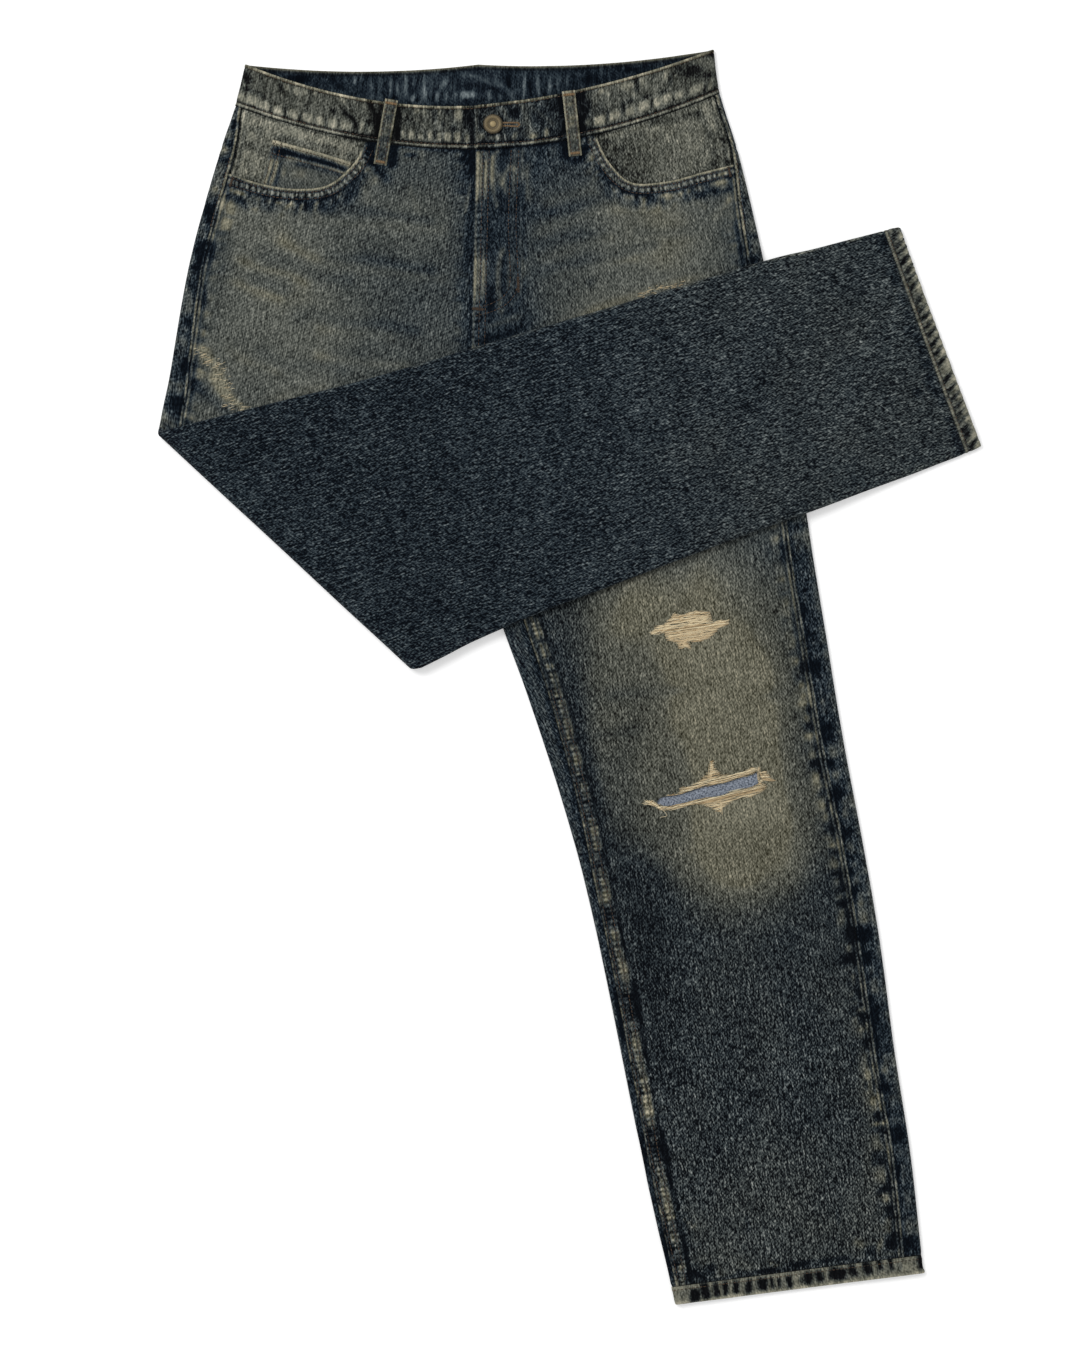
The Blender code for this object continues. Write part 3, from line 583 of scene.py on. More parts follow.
def linear(code: str) -> tuple[float, float, float, float]:
    """An sRGB hex colour as the linear values that a shader takes.

    Args:
        code: Six hex digits.

    Returns:
        Red, green, blue and 1.
    """
    parts = [int(code[k:k + 2], 16) / 255.0 for k in (0, 2, 4)]
    r, g, b = (c / 12.92 if c <= 0.04045 else ((c + 0.055) / 1.055) ** 2.4 for c in parts)
    return (r, g, b, 1.0)


def wire(node: bpy.types.Node, inputs: dict | Sequence) -> None:
    """Links or sets a node's inputs.

    Args:
        node: The node.
        inputs: What the inputs take, by name or in order: a socket to link from, or a value.
    """
    for name, value in inputs.items() if isinstance(inputs, dict) else enumerate(inputs):
        if isinstance(value, bpy.types.NodeSocket):
            node.id_data.links.new(value, node.inputs[name])
        else:
            node.inputs[name].default_value = value


def add(tree: bpy.types.NodeTree, kind: str, inputs: dict | Sequence = (), out: int | str = 0,
        stops: Sequence[tuple[float, str]] = (), **settings: object) -> bpy.types.NodeSocket:
    """Adds a node to a material, with its settings and links.

    Args:
        tree: The material's nodes.
        kind: The node's type.
        inputs: What the inputs take, by name or in order: a socket to link from, or a value.
        out: The output that is wanted.
        stops: Places and colours of a colour ramp.
        **settings: The node's own settings.

    Returns:
        The wanted output.
    """
    node = tree.nodes.new("ShaderNode" + kind)
    for name, value in settings.items():
        setattr(node, name, value)
    for k, (spot, code) in enumerate(stops):
        marks = node.color_ramp.elements
        mark = marks[k] if k < 2 else marks.new(spot)
        mark.position, mark.color = spot, linear(code)
    wire(node, inputs)
    return node.outputs[out]


def new_material(name: str) -> tuple[bpy.types.Material, bpy.types.NodeTree, bpy.types.Node]:
    """Makes an empty material.

    Args:
        name: Name of the finish.

    Returns:
        The material, its nodes and its Principled shader.
    """
    made = bpy.data.materials.new(name)
    made.use_nodes = True
    return made, made.node_tree, made.node_tree.nodes["Principled BSDF"]


def wave_scale(spacing_mm: float) -> float:
    """The Wave node's scale for ridges that stand spacing_mm apart, on a place in metres."""
    return math.pi / (10.0 * spacing_mm * MM)


@dataclass(frozen=True)
class Denim:
    """Indigo cotton twill, stone washed and overdyed; worn yarn shows pale and a little green.

    The warp's dyed skin is rubbed through unevenly, which gives the eye a salt-and-pepper grain over soft
    fades. Each point of a sheet says how light it is (level): its worn tone, and in places painted shade beside
    raised parts; how far the overdye shows (warm), how strong the grain is (grain), how much the cloth is
    puckered across a seam (hatch), and how much it is veined by the wash (vein).
    """

    name: str = "washed_indigo_twill"
    # lightness that each colour stands at, and the colour: where indigo is left, and where overdye shows
    cool: tuple[tuple[float, str], ...] = (
        (0.0, "01040a"), (0.075, "0b131b"), (0.153, "1e272f"), (0.25, "364046"), (0.353, "515a5e"),
        (0.55, "838c8e"), (0.75, "babfbf"))
    ochre: tuple[tuple[float, str], ...] = (
        (0.0, "080603"), (0.075, "18140b"), (0.153, "2b281c"), (0.25, "414134"), (0.353, "5c5a4d"),
        (0.47, "7a7969"), (0.55, "918c79"), (0.75, "c7bfa6"))
    top: float = 0.75           # lightness at the end of the ramps
    fleck_mm: float = 1.15      # rubbed flecks; yarns are 0.45 mm apart, drawn coarser, so that they show
    fleck: float = 0.6
    stroke: float = 0.52        # flecks run together into strokes along the warp
    twill_mm: float = 2.45      # real ribs are about 1.1 mm apart; drawn coarser, so that they show
    twill: float = 0.08
    slub: float = 0.13
    blotch: float = 0.09
    stroke_turn: float = 9.0    # degrees that the flecks lean from the warp
    rib_turn: float = 38.0      # degrees that the ribs climb to the right
    ridges_apart: float = 26.0  # how much longer a pucker is than the space to the next

    def make(self) -> bpy.types.Material:
        """Builds the material.

        Returns:
            The material.
        """
        made, tree, shader = new_material(self.name)
        weave = add(tree, "UVMap", uv_map="weave")
        level, warm, strong, hatch, vein = (add(tree, "Attribute", out="Fac", attribute_name=name)
                                            for name in ("level", "warm", "grain", "hatch", "vein"))
        # rubbed cloth has lost some of its contrast, and so has the darkest
        contrast = add(tree, "Math", (level, -1.0, 1.22), operation="MULTIPLY_ADD")
        deep = add(tree, "MapRange", {"Value": level, "From Min": 0.02, "From Max": 0.11, "To Min": 0.25,
                                      "To Max": 1.0})
        for part in (strong, deep, self._flecks(tree, weave)):
            contrast = add(tree, "Math", (part, contrast), operation="MULTIPLY")
        grain = contrast
        for part, strength in ((self._pucker(tree), hatch), (self._veins(tree, weave), vein)):
            grain = add(tree, "Math", (part, strength, grain), operation="MULTIPLY_ADD")
        tone = add(tree, "Math", (level, grain), operation="ADD")
        share = add(tree, "Math", (tone, self.top), operation="DIVIDE")
        colours = [add(tree, "ValToRGB", (share,), stops=[(spot / self.top, code) for spot, code in ramp])
                   for ramp in (self.cool, self.ochre)]
        dyed = add(tree, "Mix", {0: warm, 6: colours[0], 7: colours[1]}, 2, data_type="RGBA")
        bump = add(tree, "Bump", {"Height": grain, "Strength": 0.35, "Distance": 0.0010})
        wire(shader, {"Base Color": dyed, "Normal": bump, "Roughness": 0.95, "Specular IOR Level": 0.06,
                      "Sheen Weight": 0.03, "Sheen Roughness": 0.5})
        return made

    def _flecks(self, tree: bpy.types.NodeTree, weave: bpy.types.NodeSocket) -> bpy.types.NodeSocket:
        """Adds the grain of the rubbed yarns.

        Args:
            tree: The material's nodes.
            weave: Place on the flat cloth.

        Returns:
            The grain, about 0.
        """
        leaning, across_rib = (
            add(tree, "Mapping", {"Vector": weave, "Rotation": (0.0, 0.0, math.radians(turn)),
                                  "Scale": (1.0, stretch, 1.0)}, vector_type="TEXTURE")
            for turn, stretch in ((self.stroke_turn, 2.3), (self.rib_turn - 90.0, 1.0)))
        rib = add(tree, "TexWave", {"Vector": across_rib, "Scale": wave_scale(self.twill_mm), "Distortion": 1.6,
                                    "Detail": 1.0, "Detail Scale": 2.5}, "Fac", bands_direction="X")
        total = 0.0
        for part, strength in (
                (self._uneven(tree, leaning, self.fleck_mm, self.fleck_mm), self.fleck),
                (self._uneven(tree, weave, 1.5, 7.0, Distortion=0.6), self.stroke),
                (self._uneven(tree, weave, 38.0, 38.0, Detail=2.0), self.blotch),
                (self._uneven(tree, weave, 3.0, 26.0), self.slub), (rib, self.twill)):
            centred = add(tree, "Math", (part, 0.5), operation="SUBTRACT")
            total = add(tree, "Math", (centred, strength, total), operation="MULTIPLY_ADD")
        return total

    def _pucker(self, tree: bpy.types.NodeTree) -> bpy.types.NodeSocket:
        """Adds short ridges across a seam, nearly even in spacing and uneven in strength.

        Args:
            tree: The material's nodes.

        Returns:
            The ridges, from -1 to 1.
        """
        seam = add(tree, "UVMap", uv_map="seam")
        place = add(tree, "Mapping", {"Vector": seam, "Scale": (1000.0, 1000.0 / self.ridges_apart, 1.0)})
        ridge = add(tree, "TexWave", {"Vector": place, "Scale": math.pi / 10.0, "Distortion": 3.4, "Detail": 1.0,
                                      "Detail Scale": 2.4}, "Fac", bands_direction="X")
        ridge = add(tree, "Math", (ridge, 1.5, -0.75), operation="MULTIPLY_ADD")
        loose = self._uneven(tree, seam, 0.64, 0.64 * self.ridges_apart)
        loose = add(tree, "Math", (loose, 0.5), operation="SUBTRACT")
        return add(tree, "Math", (loose, 2.4, ridge), operation="MULTIPLY_ADD")

    def _veins(self, tree: bpy.types.NodeTree, weave: bpy.types.NodeSocket) -> bpy.types.NodeSocket:
        """Adds the pale crumple lines left by the wash.

        Args:
            tree: The material's nodes.
            weave: Place on the flat cloth.

        Returns:
            1 on a line, a little below 0 between.
        """
        streak = self._uneven(tree, weave, 7.0, 20.0, Detail=2.0, Roughness=0.55, Distortion=0.9)
        off = add(tree, "Math", (streak, 0.5), operation="SUBTRACT")
        off = add(tree, "Math", (off,), operation="ABSOLUTE")
        return add(tree, "MapRange", {"Value": off, "From Max": 0.06, "To Min": 1.0, "To Max": -0.3})

    @staticmethod
    def _uneven(tree: bpy.types.NodeTree, place: bpy.types.NodeSocket, across_mm: float, along_mm: float,
                **inputs: float) -> bpy.types.NodeSocket:
        """Adds uneven marks of a width and a length.

        Args:
            tree: The material's nodes.
            place: Place on the flat cloth.
            across_mm: Width of a mark.
            along_mm: Its length.
            **inputs: What differs from plain marks.

        Returns:
            The marks, from 0 to 1.
        """
        marks = add(tree, "Mapping", {"Vector": place, "Scale": (1000.0 / across_mm, 1000.0 / along_mm, 1.0)})
        return add(tree, "TexNoise", {"Vector": marks, "Scale": 1.0, "Detail": 1.0, **inputs}, "Fac",
                   noise_dimensions="2D")


@dataclass(frozen=True)
class Yarn:
    """Spun cotton thread: matt and a little hairy, each length its own shade."""

    name: str
    dark: str
    light: str

    def make(self) -> bpy.types.Material:
        """Builds the material; the shade attribute runs from dark to light.

        Returns:
            The material.
        """
        made, tree, shader = new_material(self.name)
        shade = add(tree, "Attribute", out="Fac", attribute_name="shade")
        where = add(tree, "TexCoord", out="Object")
        # plies of about 0.3 mm, twisted, drawn as small dark and light flecks along the thread
        ply = add(tree, "TexNoise", {"Vector": where, "Scale": 1400.0, "Detail": 1.0}, "Fac")
        fleck = add(tree, "Math", (ply, 0.5), operation="SUBTRACT")
        mixed = add(tree, "Math", (fleck, 0.5, shade), operation="MULTIPLY_ADD")
        wire(shader, {
            "Base Color": add(tree, "ValToRGB", (mixed,), stops=((0.0, self.dark), (1.0, self.light))),
            "Normal": add(tree, "Bump", {"Height": ply, "Strength": 0.4, "Distance": 0.0002}),
            "Roughness": 0.8, "Specular IOR Level": 0.25, "Sheen Weight": 0.1})
        return made


@dataclass(frozen=True)
class Chambray:
    """Plain-woven cotton, blue warp and white weft: a fine two-colour check, washed soft."""

    name: str = "washed_chambray"
    thread_mm: float = 1.3      # real threads are 0.3 mm apart; drawn coarser, so that they show

    def make(self) -> bpy.types.Material:
        """Builds the material.

        Returns:
            The material.
        """
        made, tree, shader = new_material(self.name)
        weave = add(tree, "UVMap", uv_map="weave")
        threads = [add(tree, "TexWave", {"Vector": weave, "Scale": wave_scale(self.thread_mm), "Distortion": 1.5},
                       "Fac", bands_direction=way) for way in "XY"]
        fleck = add(tree, "TexNoise", {"Vector": weave, "Scale": 620.0, "Detail": 2.0}, "Fac")
        both = add(tree, "Math", threads, operation="ADD")
        both = add(tree, "Math", (both, 0.3), operation="MULTIPLY")
        fleck = add(tree, "Math", (fleck, 1.7, -0.6), operation="MULTIPLY_ADD")
        mixed = add(tree, "Math", (both, fleck), operation="ADD")
        wire(shader, {
            "Base Color": add(tree, "ValToRGB", (mixed,), stops=((0.2, "2f3846"), (0.85, "9aa2ae"))),
            "Normal": add(tree, "Bump", {"Height": both, "Strength": 0.3, "Distance": 0.0004}),
            "Roughness": 0.9, "Specular IOR Level": 0.2})
        return made


@dataclass(frozen=True)
class AntiqueBrass:
    """Cast and tumbled brass, darkened and rubbed back: dull gold on what stands out, brown in the hollows."""

    name: str = "antique_tumbled_brass"

    def make(self) -> bpy.types.Material:
        """Builds the material; the rub attribute is 1 where it is polished.

        Returns:
            The material.
        """
        made, tree, shader = new_material(self.name)
        rub = add(tree, "Attribute", out="Fac", attribute_name="rub")
        where = add(tree, "TexCoord", out="Object")
        # tumbling leaves pits and scratches of a few tenths of a millimetre
        pits = add(tree, "TexNoise", {"Vector": where, "Scale": 1500.0, "Detail": 3.0}, "Fac")
        fleck = add(tree, "Math", (pits, 0.5), operation="SUBTRACT")
        mixed = add(tree, "Math", (fleck, 0.7, rub), operation="MULTIPLY_ADD")
        wire(shader, {
            "Base Color": add(tree, "ValToRGB", (mixed,), stops=((0.0, "15110c"), (1.0, "8c7c5a"))),
            "Roughness": add(tree, "MapRange", {"Value": pits, "To Min": 0.45, "To Max": 0.7}),
            "Normal": add(tree, "Bump", {"Height": pits, "Strength": 0.3, "Distance": 0.0002}),
            "Metallic": 0.45})
        return made


@dataclass(frozen=True)
class ZipTape:
    """Woven polyester tape with moulded teeth behind the fly: dark, close ribs across."""

    name: str = "woven_zip_tape"
    teeth_mm: float = 1.6       # from tooth to tooth

    def make(self) -> bpy.types.Material:
        """Builds the material.

        Returns:
            The material.
        """
        made, tree, shader = new_material(self.name)
        where = add(tree, "TexCoord", out="Object")
        teeth = add(tree, "TexWave", {"Vector": where, "Scale": wave_scale(self.teeth_mm)}, "Fac",
                    bands_direction="Y")
        wire(shader, {
            "Base Color": add(tree, "ValToRGB", (teeth,), stops=((0.0, "14161a"), (1.0, "2e3238"))),
            "Normal": add(tree, "Bump", {"Height": teeth, "Strength": 0.5, "Distance": 0.0005}),
            "Roughness": 0.7})
        return made


@dataclass
class Finishes:
    """The finishes that the pieces share, made once."""

    denim: bpy.types.Material = field(default_factory=lambda: Denim().make())
    chambray: bpy.types.Material = field(default_factory=lambda: Chambray().make())
    brass: bpy.types.Material = field(default_factory=lambda: AntiqueBrass().make())
    tape: bpy.types.Material = field(default_factory=lambda: ZipTape().make())
    tan: bpy.types.Material = field(
        default_factory=lambda: Yarn("tan_core_spun_thread", "57402a", "a08560").make())
    brown: bpy.types.Material = field(
        default_factory=lambda: Yarn("brown_core_spun_thread", "17120e", "54402e").make())
    weft: bpy.types.Material = field(default_factory=lambda: Yarn("bare_ecru_weft", "a5865a", "efe2bf").make())


# ------------------------------------------------------------------ making meshes


def new_object(name: str, points: Array, faces: list, finish: bpy.types.Material) -> bpy.types.Object:
    """A mesh object that rides on the jeans.

    Args:
        name: Name of the piece.
        points: Its points in millimetres.
        faces: Its faces, as lists of point numbers.
        finish: Its material.

    Returns:
        The object.
    """
    mesh = bpy.data.meshes.new(name)
    mesh.from_pydata((points * MM).tolist(), [], faces)
    mesh.polygons.foreach_set("use_smooth", [True] * len(mesh.polygons))
    mesh.materials.append(finish)
    ob = bpy.data.objects.new(name, mesh)
    bpy.context.scene.collection.objects.link(ob)
    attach(ob, "root")
    return ob


def set_attribute(mesh: bpy.types.Mesh, name: str, values: Array) -> None:
    """Gives each point of a mesh a number."""
    made = mesh.attributes.new(name, "FLOAT", "POINT")
    made.data.foreach_set("value", np.asarray(values, np.float32).ravel())


@dataclass
class Wear:
    """How a face of a sheet looks, point by point: its worn tone, with painted shade in places. Levels are lightness
    from 0 to 255.
    """

    level: Array
    warm: Array | float = 0.0
    hatch: Array | float = 0.0
    vein: Array | float = 0.0
    grain: Array | float = 1.0


class Held(Enum):
    """How a sheet lies."""

    LAID = "laid"
    FOLDED = "folded"


@dataclass
class Sheet:
    """A piece of cloth as a grid of points through the middle of its thickness.

    The weave holds each point's place in the flat cloth, and the seam its run along the nearest seam and
    its distance from it. The worn tone and painted shade given are those of the outside, and the inside has its own.
    """

    name: str
    middle: Array
    weave: Array
    out: float                          # 1 or -1, the side of the grid that is the outside
    wear: Wear
    inside: Optional[Wear] = None
    seam: Optional[Array] = None
    relief: Optional[Array] = None      # how far each point is raised towards the outside
    thick: float = DENIM
    lip: float = 0.3                    # share of the thickness that is left at the edges
    ring: bool = False                  # whether the columns close into a ring
    keep: Optional[Array] = None        # which quads there are, if not all
    plain_inside: float = 74.0          # level of an inside that has no wear of its own
    outer: Array = field(init=False)
    inner: Array = field(init=False)
    object: Optional[bpy.types.Object] = field(init=False, default=None)

    def __post_init__(self) -> None:
        """Works out the outer and the inner surface."""
        def normals(points: Array) -> Array:
            """Which way the outside faces.

            Args:
                points: The grid.

            Returns:
                A unit vector for each point.
            """
            down = np.gradient(points, axis=0)
            if self.ring:
                across = np.roll(points, -1, axis=1) - np.roll(points, 1, axis=1)
            else:
                across = np.gradient(points, axis=1)
            found = np.cross(down, across) * self.out
            return found / (np.linalg.norm(found, axis=-1, keepdims=True) + 1e-12)

        if self.relief is not None:
            self.middle = self.middle + normals(self.middle) * self.relief[..., None]
        share = np.ones(self.middle.shape[:2])
        share[[0, -1], :] = self.lip
        if not self.ring:
            share[:, [0, -1]] = self.lip
        half = normals(self.middle) * (share * self.thick / 2)[..., None]
        self.outer = self.middle + half
        self.inner = self.middle - half

    @property
    def area(self) -> float:
        """Area of the cloth in square metres.

        Returns:
            The area.
        """
        grid = self.middle
        if self.ring:
            grid = np.concatenate([grid, grid[:, :1]], axis=1)
        one = np.cross(grid[1:, :-1] - grid[:-1, :-1], grid[:-1, 1:] - grid[:-1, :-1])
        two = np.cross(grid[1:, :-1] - grid[1:, 1:], grid[:-1, 1:] - grid[1:, 1:])
        each = (np.linalg.norm(one, axis=-1) + np.linalg.norm(two, axis=-1)) / 2
        if self.keep is not None:
            each = each * self.keep
        return float(each.sum()) * MM * MM

    def _corners(self) -> tuple[Array, Array]:
        """Finds the corners of the grid's quads, but for those cut out.

        Returns:
            The rows and the columns of the four corners of each quad.
        """
        rows, columns = self.middle.shape[:2]
        spans = columns if self.ring else columns - 1
        r, c = np.meshgrid(np.arange(rows - 1), np.arange(spans), indexing="ij")
        kept = np.ones(r.shape, bool) if self.keep is None else self.keep.astype(bool)
        r, c = r[kept], c[kept]
        return np.stack([r, r, r + 1, r + 1], axis=1), np.stack([c, c + 1, c + 1, c], axis=1)

    def make(self, finish: bpy.types.Material, slot: str, held: Held, rests_on: Sequence[str],
             *nodes: str) -> bpy.types.Object:
        """Args:
            finish: Its material.
            slot: Not used.
            held: Not used.
            rests_on: Not used.
            *nodes: The solids that it stands for.

        Returns:
            The object.
        """
        rows, columns = self.middle.shape[:2]
        corner_r, corner_c = self._corners()
        if self.out > 0:
            corner_r, corner_c = corner_r[:, ::-1], corner_c[:, ::-1]
        quads = corner_r * columns + corner_c % columns
        starts, ends = quads.ravel(), np.roll(quads, -1, axis=1).ravel()
        count = rows * columns
        open_edge = ~np.isin(starts * count + ends, ends * count + starts)
        a, b = starts[open_edge], ends[open_edge]
        walls = np.stack([b, a, a + count, b + count], axis=1)
        faces = np.concatenate([quads, quads[:, ::-1] + count, walls])
        points = np.concatenate([self.outer.reshape(-1, 3), self.inner.reshape(-1, 3)])
        used = np.zeros(2 * count, bool)
        used[faces.ravel()] = True
        renumber = np.cumsum(used) - 1
        self.object = new_object(self.name, points[used], renumber[faces].tolist(), finish)
        mesh = self.object.data
        inside = self.inside or Wear(np.full((rows, columns), self.plain_inside))
        for name, scale in (("level", 1 / 255.0), ("warm", 1.0), ("hatch", 1 / 255.0), ("vein", 1 / 255.0),
                            ("grain", 1.0)):
            both = [np.broadcast_to(getattr(w, name), (rows, columns)).ravel() * scale
                    for w in (self.wear, inside)]
            set_attribute(mesh, name, np.concatenate(both)[used])
        wall_r, wall_c = walls % count // columns, walls % count % columns
        all_r = np.concatenate([corner_r, corner_r[:, ::-1], wall_r])
        all_c = np.concatenate([corner_c, corner_c[:, ::-1], wall_c])
        for name, values in (("weave", self.weave), ("seam", self.seam)):
            if values is None:
                continue
            layer = mesh.uv_layers.new(name=name)
            flat = values[all_r.ravel(), np.minimum(all_c.ravel(), values.shape[1] - 1)] * MM
            layer.data.foreach_set("uv", flat.astype(np.float32).ravel())
        if nodes:
            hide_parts(*nodes)
        spread = np.ptp(self.weave.reshape(-1, 2), axis=0) * MM
        area = self.area
        width, length = (float(s) for s in spread)
        scale = max(1.0, math.sqrt(area / (width * length)))
        LOG.info("%s: %d faces, %.4f m2 of cloth", self.name, len(faces), area)
        return self.object

    def tree(self) -> BVHTree:
        """Makes the outer and inner surfaces ready for finding heights.

        Returns:
            The surfaces.
        """
        rows, columns = self.middle.shape[:2]
        corner_r, corner_c = self._corners()
        quads = corner_r * columns + corner_c % columns
        points = np.concatenate([self.outer.reshape(-1, 3), self.inner.reshape(-1, 3)])
        return BVHTree.FromPolygons(points.tolist(), np.concatenate([quads, quads + rows * columns]).tolist())


def onto(line: Array, trees: Sequence[BVHTree], under: bool = False) -> Array:
    """Lays a line of the plane on the cloth.

    Args:
        line: Places in the plane.
        trees: The surfaces to look for.
        under: Whether to look from beneath.

    Returns:
        The points on the cloth; those that miss it are left out.
    """
    found = []
    start, way = (-20.0, 1.0) if under else (60.0, -1.0)
    for x, y in line:
        hits = [tree.ray_cast(Vector((x, y, start)), Vector((0.0, 0.0, way)))[0] for tree in trees]
        heights = [hit.z for hit in hits if hit is not None]
        if heights:
            found.append((x, y, min(heights) if under else max(heights)))
    return np.array(found).reshape(-1, 3)


@dataclass
class Strands:
    """Short lengths of thread, joined into one mesh."""

    name: str
    sides: int = 4
    paths: list[Array] = field(default_factory=list)
    widths: list[float] = field(default_factory=list)
    shades: list[float] = field(default_factory=list)

    def lay(self, path: Array, width: float, shade: float) -> None:
        """Adds one length of thread along a path of points.

        Args:
            path: Points along its middle.
            width: Its thickness.
            shade: 0 for the dark colour of the yarn, 1 for the light.
        """
        self.paths.append(np.asarray(path, float))
        self.widths.append(width)
        self.shades.append(shade)

    def make(self, finish: bpy.types.Material, slot: str) -> Optional[bpy.types.Object]:
        """Builds the mesh: each thread is a closed tube that thins at its ends.

        Args:
            finish: Material of the thread.
            slot: Not used.

        Returns:
            The piece, or None where no thread was laid.
        """
        points, faces, shades = [], [], []
        base = 0
        turns = np.arange(self.sides) * 2.0 * math.pi / self.sides
        for path, width, shade in zip(self.paths, self.widths, self.shades):
            count = len(path)
            ahead = np.gradient(path, axis=0)
            ahead /= np.linalg.norm(ahead, axis=1, keepdims=True) + 1e-9
            aside = np.cross(ahead, (0.0, 0.0, 1.0))
            aside /= np.linalg.norm(aside, axis=1, keepdims=True) + 1e-9
            over = np.cross(aside, ahead)
            thin = np.ones(count)
            thin[[0, -1]] = 0.45
            ring = (aside[:, None] * np.cos(turns)[None, :, None] + over[:, None] * np.sin(turns)[None, :, None])
            points.append((path[:, None] + ring * (thin * width / 2)[:, None, None]).reshape(-1, 3))
            for k in range(count - 1):
                for j in range(self.sides):
                    i = (j + 1) % self.sides
                    low = base + k * self.sides
                    faces.append((low + j, low + i, low + self.sides + i, low + self.sides + j))
            faces.append(tuple(base + j for j in reversed(range(self.sides))))
            faces.append(tuple(base + (count - 1) * self.sides + j for j in range(self.sides)))
            shades += [shade] * (count * self.sides)
            base += count * self.sides
        if not points:
            return None
        ob = new_object(self.name, np.concatenate(points), faces, finish)
        set_attribute(ob.data, "shade", np.array(shades))
        LOG.info("%s: %d threads, %d faces", self.name, len(self.paths), len(faces))
        return ob


# ------------------------------------------------------------------ how the cloth is worn


class Fade(NamedTuple):
    """A soft patch worn to another level than what is round it."""

    x: float
    y: float
    across: float
    along: float
    level: float
    turn: float = 0.0


class Crease(NamedTuple):
    """A soft trough or ridge, darker and lower or paler and higher: most mark rubbed cloth, and some dark ones are
    painted shade beside raised parts.
    """

    line: Line
    width: float = 6.0
    level: float = -8.0
    height: float = -0.3


class Spot(NamedTuple):
    """A small block with soft edges that is lighter or darker than what is round it."""

    x: float
    y: float
    wide: float
    tall: float
    level: float
    lean: float = 0.0


